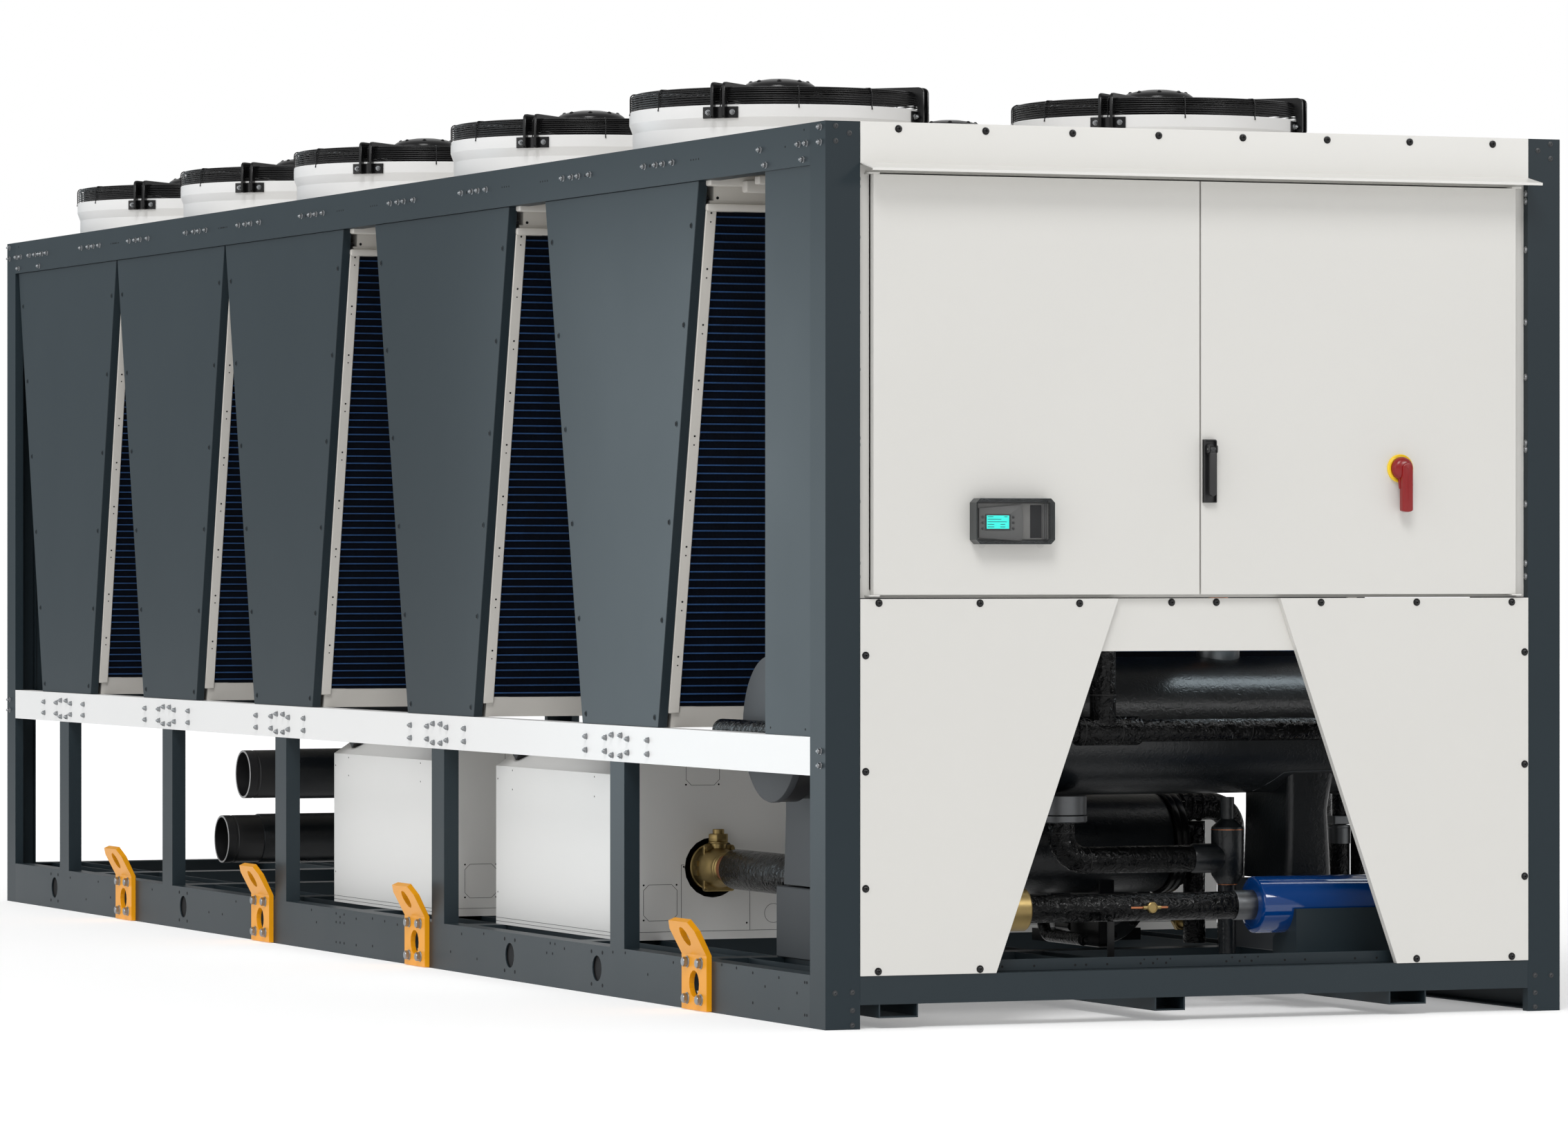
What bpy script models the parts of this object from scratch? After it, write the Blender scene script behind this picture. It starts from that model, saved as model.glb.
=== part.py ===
"""Air-cooled chiller on a folded steel frame.

Five V-shaped coil modules stand between the frame's long sides under ten axial fans. A control cabinet
with two hinged doors closes the front end, and the evaporator, its lines and the compressor enclosures
stand on the base and show through the open bays.

The unit stands on z = 0. X runs across it, Y runs along it from the cabinet end at -Y, and the origin is
at the bottom centre of the whole outline, drip lip included.
"""

import math

import bmesh
import bpy
from mathutils import Matrix, Vector

# Driving dimensions, in metres
WIDTH = 2.25
FRAME_HEIGHT = 2.46
SEAT_GAP = 0.0003
STEEL = 0.004
SHEET = 0.003

POST_WIDTH = 0.102
POST_DEPTH = 0.108
POST_LIP = 0.03

BASE_HEIGHT = 0.144
RAIL_FLANGE = 0.06
MID_RAIL_BOTTOM = 0.686
MID_RAIL_DEPTH = 0.105
MID_RAIL_TOP = MID_RAIL_BOTTOM + MID_RAIL_DEPTH
TOP_RAIL_DEPTH = 0.115
TOP_RAIL_BOTTOM = FRAME_HEIGHT - TOP_RAIL_DEPTH
MID_POST_WIDTH = 0.114
MID_POST_DEPTH = 0.048

MODULE_HALF_TOP = 0.62
FRONT_CLEARANCE = 0.945
FIRST_MODULE = FRONT_CLEARANCE + MODULE_HALF_TOP
NEAR_MODULE_GAP = 0.3125
FAR_MODULE_GAP = 0.0125
NEAR_MODULE_PITCH = 2 * MODULE_HALF_TOP + NEAR_MODULE_GAP
FAR_MODULE_PITCH = 2 * MODULE_HALF_TOP + FAR_MODULE_GAP
MODULE_CENTRES = (
    FIRST_MODULE,
    FIRST_MODULE + NEAR_MODULE_PITCH,
    FIRST_MODULE + 2 * NEAR_MODULE_PITCH,
    FIRST_MODULE + 2 * NEAR_MODULE_PITCH + FAR_MODULE_PITCH,
    FIRST_MODULE + 2 * NEAR_MODULE_PITCH + 2 * FAR_MODULE_PITCH,
)
REAR_CLEARANCE = 0.125
LENGTH = MODULE_CENTRES[-1] + MODULE_HALF_TOP + REAR_CLEARANCE
MODULE_HALF_BOTTOM = 0.305
PANEL_SETBACK = 0.008
PANEL_DEPTH = 0.04

COIL_INSET = 0.005
COIL_THICKNESS = 0.06
COIL_TRAY = 0.03
COIL_HEAD_ROOM = 0.055
COIL_TOP = TOP_RAIL_BOTTOM - COIL_HEAD_ROOM
CORE_RECESS = 0.008
CORE_MARGIN = 0.03
CORE_END_MARGIN = 0.072

DECK_DROP = 0.025
DECK_TOP = FRAME_HEIGHT - DECK_DROP
DECK_SHEET = 0.004
DECK_MARGIN = 0.11
FAN_SIDE_MARGIN = 0.51
FAN_OFFSET = WIDTH / 2 - FAN_SIDE_MARGIN

RING_WALL = 0.005
RING_LOW_RADIUS = 0.43
RING_FLARE = 0.009
RING_TOP_RADIUS = RING_LOW_RADIUS + RING_FLARE
THROAT_CLEARANCE = 0.04
FAN_HOLE_RADIUS = RING_LOW_RADIUS - THROAT_CLEARANCE
RING_STEP_LOW = 0.088
RING_STEP_HIGH = 0.11
RING_HEIGHT = 0.148
RING_SEGMENTS = 16
MOTOR_SEGMENTS = 12
ARM_COUNT = 4
ARM_SHEET = 0.006
ARM_PAIR_GAP = 0.03
ARM_DEPTH = 0.045
ARM_RISE = 0.057
ARM_TOP = RING_HEIGHT + ARM_RISE
ARM_ROOT = 0.08
ARM_OVERHANG = 0.013
ARM_HOOK = RING_LOW_RADIUS - RING_WALL
ARM_REACH = RING_TOP_RADIUS + ARM_OVERHANG
ARM_FOOT = 0.113
MOTOR_RADIUS = 0.108
MOTOR_RISE = 0.045
MOTOR_TOP = ARM_TOP + MOTOR_RISE
MOTOR_DOME = 0.02
HUB_RADIUS = 0.12
HUB_HEIGHT = 0.09
BLADE_COUNT = 5
BLADE_SHEET = 0.006
BLADE_ROOT_RADIUS = 0.11
BLADE_ROOT_CHORD = 0.12
BLADE_ROOT_PITCH = math.radians(32)
BLADE_TIP_RADIUS = RING_LOW_RADIUS - THROAT_CLEARANCE
BLADE_TIP_CHORD = 0.24
BLADE_TIP_PITCH = math.radians(20)

CABINET_DEPTH = 0.405
CABINET_FRONT = 0.0245
CABINET_BOTTOM = 1.1683
JAMB = 0.036
SILL = 0.022
DOOR_FACE = -0.004
DOOR_DEPTH = 0.022
DOOR_SILL_OVERLAP = 0.0133
DOOR_HEAD_OVERLAP = 0.005
DOOR_BOTTOM = CABINET_BOTTOM + SILL - DOOR_SILL_OVERLAP
DOOR_TOP = TOP_RAIL_BOTTOM - SILL - DOOR_HEAD_OVERLAP
DOOR_LEFT_MARGIN = 0.0017
DOOR_RIGHT_MARGIN = 0.0047
DOOR_LEFT_EDGE = POST_WIDTH + SEAT_GAP + JAMB + DOOR_LEFT_MARGIN
DOOR_RIGHT_EDGE = WIDTH - POST_WIDTH - SEAT_GAP - JAMB - DOOR_RIGHT_MARGIN
DOOR_SPLIT = 1.122
DOOR_GAP = 0.005
HINGE_TAB = 0.004
HINGE_TAB_WIDTH = 0.03
HINGE_TAB_REACH = 0.008

FASCIA_SHORTFALL = 0.004
FASCIA_BOTTOM = TOP_RAIL_BOTTOM + FASCIA_SHORTFALL
FASCIA_RETURN = 0.04
LIP_REACH = 0.088
LIP_FALL = 0.018
LIP_RETURN = 0.007

APRON_HEAD_GAP = 0.0023
APRON_TOP = CABINET_BOTTOM - APRON_HEAD_GAP
APRON_DEPTH = 0.02
APRON_TOP_LEFT = 0.873
APRON_TOP_RIGHT = 1.369
APRON_FOOT_LEFT = 0.505
APRON_FOOT_RIGHT = 1.733
HEADER_HEIGHT = 0.145
HEADER_BOTTOM = APRON_TOP - HEADER_HEIGHT
HEADER_OVERLAP = 0.06

# Places along and across the unit are measured from the frame's front left corner
FRONT = -(LENGTH - LIP_REACH) / 2
LEFT = -WIDTH / 2


def across(u):
    """World X of a place u metres from the left side."""
    return LEFT + u


def along(v):
    """World Y of a place v metres behind the front face."""
    return FRONT + v


def clear_scene():
    for thing in list(bpy.data.objects):
        bpy.data.objects.remove(thing)


def finish(name, colour, roughness, metallic=0.0):
    """A painted, plastic or metal surface as a Principled material."""
    surface = bpy.data.materials.new(name)
    surface.use_nodes = True
    shader = surface.node_tree.nodes["Principled BSDF"]
    shader.inputs["Base Color"].default_value = (*colour, 1)
    shader.inputs["Roughness"].default_value = roughness
    shader.inputs["Metallic"].default_value = metallic
    surface.diffuse_color = (*colour, 1)
    return surface


def make_finishes():
    return {
        "anthracite": finish("anthracite_paint", (0.045, 0.06, 0.07), 0.5),
        "cream": finish("cream_paint", (0.73, 0.72, 0.68), 0.45),
        "white": finish("white_paint", (0.85, 0.85, 0.84), 0.4),
        "greige": finish("coil_frame_paint", (0.5, 0.48, 0.44), 0.45),
        "black": finish("black_coating", (0.01, 0.01, 0.012), 0.45),
        "foam": finish("insulation_foam", (0.012, 0.013, 0.015), 0.6),
        "blue": finish("blue_enamel", (0.005, 0.04, 0.25), 0.3),
        "brass": finish("brass", (0.55, 0.38, 0.12), 0.35, 1.0),
        "red": finish("red_plastic", (0.5, 0.01, 0.01), 0.35),
        "grey": finish("grey_plastic", (0.12, 0.13, 0.13), 0.4),
    }


def new_object(name, shape, surface):
    """Turn a bmesh into an object with outward faces."""
    bmesh.ops.recalc_face_normals(shape, faces=shape.faces)
    mesh = bpy.data.meshes.new(name)
    shape.to_mesh(mesh)
    shape.free()
    mesh.materials.append(surface)
    thing = bpy.data.objects.new(name, mesh)
    bpy.context.scene.collection.objects.link(thing)
    return thing


def smooth(thing, degrees=35):
    thing.data.shade_smooth()
    thing.data.set_sharp_from_angle(angle=math.radians(degrees))


def put_origin(thing, point):
    """Move an object's origin to a world point and leave its shape where it is."""
    point = Vector(point)
    thing.data.transform(Matrix.Translation(-point))
    thing.location = point


def baked(thing):
    """Replace an object's mesh by its evaluated one and drop its modifiers."""
    bpy.context.view_layer.update()
    graph = bpy.context.evaluated_depsgraph_get()
    mesh = bpy.data.meshes.new_from_object(thing.evaluated_get(graph))
    thing.modifiers.clear()
    thing.data = mesh
    return thing


def boolean(thing, others, operation):
    """Join the other solids to this one, or cut them out of it, and remove them."""
    group = bpy.data.collections.new("operands")
    bpy.context.scene.collection.children.link(group)
    for other in others:
        group.objects.link(other)
    step = thing.modifiers.new(operation.lower(), "BOOLEAN")
    step.operand_type = "COLLECTION"
    step.collection = group
    step.operation = operation
    step.solver = "EXACT"
    baked(thing)
    for other in others:
        bpy.data.objects.remove(other)
    bpy.data.collections.remove(group)
    return thing


def fuse(thing, *others):
    return boolean(thing, others, "UNION")


def cut(thing, *cutters):
    return boolean(thing, cutters, "DIFFERENCE")


def lift(axis, a, b, c):
    """World point of outline point (a, b) at the distance c along an axis."""
    if axis == "X":
        return (c, a, b)
    if axis == "Y":
        return (a, c, b)
    return (a, b, c)


def prism(name, outline, axis, start, end, surface):
    """A straight bar or plate: a flat outline pushed along an axis."""
    shape = bmesh.new()
    near = [shape.verts.new(lift(axis, a, b, start)) for a, b in outline]
    far = [shape.verts.new(lift(axis, a, b, end)) for a, b in outline]
    shape.faces.new(near)
    shape.faces.new(far)
    for i in range(len(outline)):
        j = (i + 1) % len(outline)
        shape.faces.new((near[i], near[j], far[j], far[i]))
    return new_object(name, shape, surface)


def block(name, low, high, surface):
    outline = [(low[0], low[1]), (high[0], low[1]), (high[0], high[1]), (low[0], high[1])]
    return prism(name, outline, "Z", low[2], high[2], surface)


def inset_outline(outline, distance):
    """The outline moved in by a distance on every side, for a counter-clockwise convex one."""
    points = [Vector(p) for p in outline]
    moved = []
    for i, here in enumerate(points):
        before = (here - points[i - 1]).normalized()
        after = (points[(i + 1) % len(points)] - here).normalized()
        normal_before = Vector((-before.y, before.x))
        normal_after = Vector((-after.y, after.x))
        middle = (normal_before + normal_after).normalized()
        moved.append(tuple(here + middle * distance / middle.dot(normal_before)))
    return moved


def tray(name, outline, axis, face, rim, wall, surface):
    """A folded panel: a flat skin at one side and returned edges all round that reach to the rim."""
    inner = inset_outline(outline, wall)
    floor = face + math.copysign(wall, rim - face)
    shape = bmesh.new()
    rings = [
        [shape.verts.new(lift(axis, a, b, level)) for a, b in points]
        for points, level in ((outline, face), (outline, rim), (inner, rim), (inner, floor))
    ]
    shape.faces.new(rings[0])
    shape.faces.new(rings[-1])
    for one, two in zip(rings, rings[1:]):
        for i in range(len(outline)):
            j = (i + 1) % len(outline)
            shape.faces.new((one[i], one[j], two[j], two[i]))
    return new_object(name, shape, surface)


def folded(path, thickness):
    """Outline of a folded sheet whose outer side follows the path; the sheet lies on the path's left."""
    points = [Vector(p) for p in path]
    inner = []
    for i, here in enumerate(points):
        sides = []
        if i > 0:
            step = (here - points[i - 1]).normalized()
            sides.append(Vector((-step.y, step.x)))
        if i < len(points) - 1:
            step = (points[i + 1] - here).normalized()
            sides.append(Vector((-step.y, step.x)))
        middle = sum(sides, Vector((0, 0))).normalized()
        inner.append(tuple(here + middle * thickness / middle.dot(sides[0])))
    return [tuple(p) for p in points] + inner[::-1]


def channel(web, flange_end, low, high, wall):
    """Outline of a U section with its web at one value of the first coordinate."""
    inside = web + math.copysign(wall, flange_end - web)
    return [
        (web, low),
        (flange_end, low),
        (flange_end, low + wall),
        (inside, low + wall),
        (inside, high - wall),
        (flange_end, high - wall),
        (flange_end, high),
        (web, high),
    ]


def round_bar(name, centre, axis, start, end, radius, surface, segments=16):
    """A solid cylinder along a world axis; centre holds its two other coordinates."""
    outline = [
        (centre[0] + radius * math.cos(turn), centre[1] + radius * math.sin(turn))
        for turn in (2 * math.pi * i / segments for i in range(segments))
    ]
    return prism(name, outline, axis, start, end, surface)


def revolved(name, profile, surface, segments, closed=False):
    """Turn a profile of (radius, z) points about the Z axis; an open one starts and ends on the axis."""
    shape = bmesh.new()
    rings = []
    for radius, z in profile:
        if radius == 0:
            rings.append([shape.verts.new((0, 0, z))])
            continue
        turns = (2 * math.pi * i / segments for i in range(segments))
        rings.append([shape.verts.new((radius * math.cos(t), radius * math.sin(t), z)) for t in turns])
    pairs = list(zip(rings, rings[1:]))
    if closed:
        pairs.append((rings[-1], rings[0]))
    for one, two in pairs:
        for i in range(segments):
            j = (i + 1) % segments
            corners = [one[i % len(one)], one[j % len(one)], two[j % len(two)], two[i % len(two)]]
            shape.faces.new(list(dict.fromkeys(corners)))
    return new_object(name, shape, surface)


def rounded_route(corners, radius, steps=5):
    """Points of a pipe's centre line: straight runs with an arc at each inner corner."""
    corners = [Vector(c) for c in corners]
    points = [corners[0]]
    for before, here, after in zip(corners, corners[1:], corners[2:]):
        to_before = (before - here).normalized()
        to_after = (after - here).normalized()
        reach = radius / math.tan(to_before.angle(to_after) / 2)
        start = here + to_before * reach
        end = here + to_after * reach
        centre = here + (to_before + to_after).normalized() * math.hypot(radius, reach)
        for i in range(steps + 1):
            spoke = (start - centre).lerp(end - centre, i / steps)
            points.append(centre + spoke.normalized() * radius)
    points.append(corners[-1])
    return points


def pipe(name, corners, radius, bend, surface, sides=12):
    """A round pipe swept along straight runs with bends, capped at both ends."""
    route = rounded_route(corners, bend)
    shape = bmesh.new()
    tangents = []
    for i, here in enumerate(route):
        before = route[max(i - 1, 0)]
        after = route[min(i + 1, len(route) - 1)]
        tangents.append((after - before).normalized())
    side = tangents[0].orthogonal().normalized()
    rings = []
    for here, tangent in zip(route, tangents):
        side = (side - tangent * side.dot(tangent)).normalized()
        other = tangent.cross(side)
        turns = (2 * math.pi * i / sides for i in range(sides))
        ring = [shape.verts.new(here + (side * math.cos(t) + other * math.sin(t)) * radius) for t in turns]
        rings.append(ring)
    shape.faces.new(rings[0])
    shape.faces.new(rings[-1])
    for one, two in zip(rings, rings[1:]):
        for i in range(sides):
            j = (i + 1) % sides
            shape.faces.new((one[i], one[j], two[j], two[i]))
    thing = new_object(name, shape, surface)
    smooth(thing)
    return thing


def mirrored(thing, name):
    """The same piece on the other long side."""
    twin = thing.copy()
    twin.data = thing.data.copy()
    twin.name = name
    twin.data.name = name
    twin.data.transform(Matrix.Scale(-1, 4, Vector((1, 0, 0))))
    twin.data.flip_normals()
    bpy.context.scene.collection.objects.link(twin)
    return twin


# The frame
POST_INSIDE = POST_DEPTH + SEAT_GAP
RAIL_START = along(POST_INSIDE)
RAIL_END = along(LENGTH - POST_INSIDE)
PANEL_SEAT = MID_RAIL_TOP + SEAT_GAP
PANEL_CEILING = TOP_RAIL_BOTTOM - SEAT_GAP

RAIL_HOLE_RADIUS = 0.038
RAIL_HOLE_HEIGHT = 0.076
RAIL_HOLES = (1.73, 2.47, 5.74, 7.3)

LUG_PLACES = (0.92, 3.29, 4.84, 6.39)
LUG_WIDTH = 0.19
LUG_SHEET = 0.016
LUG_FOOT = 0.002
LUG_FLAT = 0.158
LUG_LEAN = 0.05
LUG_RISE = 0.095
LUG_CHAMFER = 0.04
LUG_EYE_RADIUS = 0.0275
LUG_EYE_SHARE = 0.55

BEAM_RIGHT_MARGIN = 0.482
BEAM_PLACES = (0.216, 1.032, WIDTH - BEAM_RIGHT_MARGIN)
BEAM_WIDTHS = (0.116, 0.092, 0.116)
BEAM_BOTTOM = 0.029
FRONT_RAIL_BOTTOM = 0.066
CROSS_MEMBERS = 7
CROSS_WIDTH = 0.1
CROSS_BOTTOM = 0.07


def corner_post(name, at_right, at_rear, paint):
    """A post folded from sheet: two outer faces with a short lip at each free edge."""
    path = [
        (POST_WIDTH, POST_LIP),
        (POST_WIDTH, 0),
        (0, 0),
        (0, POST_DEPTH),
        (POST_LIP, POST_DEPTH),
    ]
    outline = folded(path, -STEEL)
    corners = []
    for u, v in outline:
        corners.append((across(WIDTH - u if at_right else u), along(LENGTH - v if at_rear else v)))
    return prism(name, corners, "Z", 0, FRAME_HEIGHT, paint)


def lifting_lug(centre, paint):
    """A thick plate on the outside of the bottom rail: its head leans out and has a shackle eye."""
    back = across(0) + STEEL / 2
    front = across(0) - LUG_SHEET
    side = [
        (back, LUG_FOOT),
        (front, LUG_FOOT),
        (front, LUG_FLAT),
        (front - LUG_LEAN, LUG_FLAT + LUG_RISE),
        (front - LUG_LEAN + LUG_SHEET, LUG_FLAT + LUG_RISE + LUG_SHEET * LUG_LEAN / LUG_RISE),
        (front + LUG_SHEET, LUG_FLAT),
        (back, BASE_HEIGHT - STEEL),
    ]
    plate = prism("lug", side, "Y", along(centre) - LUG_WIDTH / 2, along(centre) + LUG_WIDTH / 2, paint)
    head = LUG_FLAT + LUG_RISE + LUG_SHEET
    cutters = []
    for sign in (-1, 1):
        edge = along(centre) + sign * LUG_WIDTH / 2
        corner = [
            (edge - sign * LUG_CHAMFER, head),
            (edge + sign * LUG_CHAMFER, head),
            (edge + sign * LUG_CHAMFER, head - 2 * LUG_CHAMFER),
        ]
        cutters.append(prism("chamfer", corner, "X", front - 2 * LUG_LEAN, back, paint))
    eye_centre = (along(centre), LUG_FLAT + LUG_RISE * LUG_EYE_SHARE)
    cutters.append(
        round_bar("eye", eye_centre, "X", front - 2 * LUG_LEAN, back, LUG_EYE_RADIUS, paint, 12)
    )
    return cut(plate, *cutters)


def side_frame(paint):
    """The bottom rail of a long side with its round holes, the five short posts on it and four lugs."""
    web = across(0)
    rail_section = channel(web, web + RAIL_FLANGE, 0, BASE_HEIGHT, STEEL)
    rail = prism("side_frame_left", rail_section, "Y", RAIL_START, RAIL_END, paint)
    pieces = [lifting_lug(v, paint) for v in LUG_PLACES]
    for v in MODULE_CENTRES:
        low = along(v - MID_POST_WIDTH / 2)
        high = along(v + MID_POST_WIDTH / 2)
        section = [(b, a) for a, b in channel(low, high, web, web + MID_POST_DEPTH, STEEL)]
        top = MID_RAIL_BOTTOM - SEAT_GAP
        pieces.append(prism("mid_post", section, "Z", BASE_HEIGHT - STEEL / 2, top, paint))
    fuse(rail, *pieces)
    holes = []
    for v in RAIL_HOLES + LUG_PLACES:
        centre = (along(v), RAIL_HOLE_HEIGHT)
        near = web - 2 * LUG_SHEET
        far = web + RAIL_FLANGE / 2
        holes.append(round_bar("hole", centre, "X", near, far, RAIL_HOLE_RADIUS, paint, 16))
    return cut(rail, *holes)


def base_frame(paint):
    """Front and rear rails, three lengthwise beams with open ends and the cross members between the sides."""
    left = across(POST_WIDTH + SEAT_GAP)
    right = across(WIDTH - POST_WIDTH - SEAT_GAP)
    front = channel(along(0), along(RAIL_FLANGE), FRONT_RAIL_BOTTOM, BASE_HEIGHT, STEEL)
    rear = channel(along(LENGTH), along(LENGTH - RAIL_FLANGE), FRONT_RAIL_BOTTOM, BASE_HEIGHT, STEEL)
    frame = prism("base_frame", front, "X", left, right, paint)
    pieces = [prism("rear_rail", rear, "X", left, right, paint)]
    for place, width in zip(BEAM_PLACES, BEAM_WIDTHS):
        low = across(place - width / 2)
        high = across(place + width / 2)
        outline = [(a, b) for b, a in channel(BEAM_BOTTOM, BASE_HEIGHT, low, high, STEEL)]
        pieces.append(prism("beam", outline, "Y", along(STEEL / 2), along(LENGTH - STEEL / 2), paint))
    inner_left = across(RAIL_FLANGE + SEAT_GAP)
    inner_right = across(WIDTH - RAIL_FLANGE - SEAT_GAP)
    spacing = LENGTH / (CROSS_MEMBERS + 1)
    for i in range(CROSS_MEMBERS):
        low = along(spacing * (i + 1)) - CROSS_WIDTH / 2
        corner = (low, BASE_HEIGHT)
        path = [(low, CROSS_BOTTOM), corner, (low + CROSS_WIDTH, BASE_HEIGHT)]
        pieces.append(prism("cross", folded(path, -STEEL), "X", inner_left, inner_right, paint))
    return fuse(frame, *pieces)


def long_rail(name, bottom, top, paint):
    web = across(0)
    section = channel(web, web + RAIL_FLANGE, bottom, top, STEEL)
    return prism(name, section, "Y", RAIL_START, RAIL_END, paint)


REAR_SHEET_SETBACK = 0.012


def rear_frame(paint):
    """The rear end's top and middle cross rails with the sheet that closes it between them."""
    left = across(POST_WIDTH + SEAT_GAP)
    right = across(WIDTH - POST_WIDTH - SEAT_GAP)
    back = along(LENGTH)
    inner = along(LENGTH - RAIL_FLANGE)
    upper = channel(back, inner, TOP_RAIL_BOTTOM, FRAME_HEIGHT, STEEL)
    middle = channel(back, inner, MID_RAIL_BOTTOM, MID_RAIL_TOP, STEEL)
    frame = prism("rear_frame", upper, "X", left, right, paint)
    sheet = block(
        "sheet",
        (left, along(LENGTH - REAR_SHEET_SETBACK - SHEET), MID_RAIL_TOP - STEEL / 2),
        (right, along(LENGTH - REAR_SHEET_SETBACK), TOP_RAIL_BOTTOM + STEEL / 2),
        paint,
    )
    return fuse(frame, prism("middle", middle, "X", left, right, paint), sheet)


def build_frame(paints):
    paint = paints["anthracite"]
    corner_post("corner_post_front_left", False, False, paint)
    corner_post("corner_post_front_right", True, False, paint)
    corner_post("corner_post_rear_left", False, True, paint)
    corner_post("corner_post_rear_right", True, True, paint)
    mirrored(side_frame(paint), "side_frame_right")
    mirrored(long_rail("top_rail_left", TOP_RAIL_BOTTOM, FRAME_HEIGHT, paint), "top_rail_right")
    white = paints["white"]
    mirrored(long_rail("mid_rail_left", MID_RAIL_BOTTOM, MID_RAIL_TOP, white), "mid_rail_right")
    base_frame(paint)
    rear_frame(paint)


# The coil modules and the panels that close their ends
def side_panel(number, centre, paint):
    """A folded trapezium that closes one end of a V module."""
    middle = along(centre)
    outline = [
        (middle - MODULE_HALF_BOTTOM, PANEL_SEAT),
        (middle + MODULE_HALF_BOTTOM, PANEL_SEAT),
        (middle + MODULE_HALF_TOP, PANEL_CEILING),
        (middle - MODULE_HALF_TOP, PANEL_CEILING),
    ]
    face = across(PANEL_SETBACK)
    panel = tray(f"v_panel_left_{number}", outline, "X", face, face + PANEL_DEPTH, SHEET, paint)
    mirrored(panel, f"v_panel_right_{number}")


def module_half_width(z):
    """Half the width of a coil module's outer face at a height."""
    share = (z - PANEL_SEAT) / (PANEL_CEILING - PANEL_SEAT)
    return MODULE_HALF_BOTTOM + (MODULE_HALF_TOP - MODULE_HALF_BOTTOM) * share - COIL_INSET


def coil_module(number, centre, paint):
    """Two leaning coils joined by the tray at their feet, each with its finned core set back in its frame."""
    foot = module_half_width(PANEL_SEAT)
    head = module_half_width(COIL_TOP)
    tray_top = PANEL_SEAT + COIL_TRAY
    middle = along(centre)
    outline = [
        (middle - foot, PANEL_SEAT),
        (middle + foot, PANEL_SEAT),
        (middle + head, COIL_TOP),
        (middle + head - COIL_THICKNESS, COIL_TOP),
        (middle + module_half_width(tray_top) - COIL_THICKNESS, tray_top),
        (middle - module_half_width(tray_top) + COIL_THICKNESS, tray_top),
        (middle - head + COIL_THICKNESS, COIL_TOP),
        (middle - head, COIL_TOP),
    ]
    start = across(PANEL_SETBACK + PANEL_DEPTH + SEAT_GAP)
    end = across(WIDTH - PANEL_SETBACK - PANEL_DEPTH - SEAT_GAP)
    module = prism(f"coil_module_{number}", outline, "X", start, end, paint)
    low = tray_top + CORE_MARGIN
    high = COIL_TOP - CORE_MARGIN
    cores = []
    for sign in (-1, 1):
        outer = 2 * CORE_RECESS
        pocket = [
            (middle + sign * (module_half_width(low) - CORE_RECESS), low),
            (middle + sign * (module_half_width(low) + outer), low),
            (middle + sign * (module_half_width(high) + outer), high),
            (middle + sign * (module_half_width(high) - CORE_RECESS), high),
        ]
        cores.append(prism("core", pocket, "X", start + CORE_END_MARGIN, end - CORE_END_MARGIN, paint))
    return cut(module, *cores)


def fan_deck(paint):
    """The top sheet with ten round openings, and the plenum walls that stand on each module's coils."""
    left = across(RAIL_FLANGE + SEAT_GAP)
    right = across(WIDTH - RAIL_FLANGE - SEAT_GAP)
    low = along(DECK_MARGIN)
    high = along(LENGTH - DECK_MARGIN)
    deck = block("fan_deck", (left, low, DECK_TOP - DECK_SHEET), (right, high, DECK_TOP), paint)
    wall_foot = COIL_TOP + SEAT_GAP
    wall_top = DECK_TOP - DECK_SHEET / 2
    half = module_half_width(COIL_TOP)
    walls = []
    for centre in MODULE_CENTRES:
        outer = [(left, along(centre) - half), (right, along(centre) + half)]
        box = block("plenum", (*outer[0], wall_foot), (*outer[1], wall_top), paint)
        inside = block(
            "inside",
            (outer[0][0] + SHEET, outer[0][1] + SHEET, wall_foot - SHEET),
            (outer[1][0] - SHEET, outer[1][1] - SHEET, wall_top + SHEET),
            paint,
        )
        walls.append(cut(box, inside))
    fuse(deck, *walls)
    holes = []
    for centre in MODULE_CENTRES:
        for sign in (-1, 1):
            place = (sign * FAN_OFFSET, along(centre))
            low_z = DECK_TOP - 2 * DECK_SHEET
            high_z = DECK_TOP + DECK_SHEET
            holes.append(
                round_bar("opening", place, "Z", low_z, high_z, FAN_HOLE_RADIUS, paint, RING_SEGMENTS)
            )
    return cut(deck, *holes)


def build_modules(paints):
    for number, centre in enumerate(MODULE_CENTRES, 1):
        side_panel(number, centre, paints["anthracite"])
        coil_module(number, centre, paints["greige"])
    fan_deck(paints["greige"])


# The fans
def fan_ring(paint):
    """The stepped collar round a fan, turned from its wall's section."""
    low = RING_LOW_RADIUS
    top = RING_TOP_RADIUS
    outer = [(low, 0), (low, RING_STEP_LOW), (top, RING_STEP_HIGH), (top, RING_HEIGHT)]
    inner = [(low - RING_WALL, RING_HEIGHT), (low - RING_WALL, 0)]
    return revolved("fan_ring", outer + inner, paint, RING_SEGMENTS, closed=True)


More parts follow.
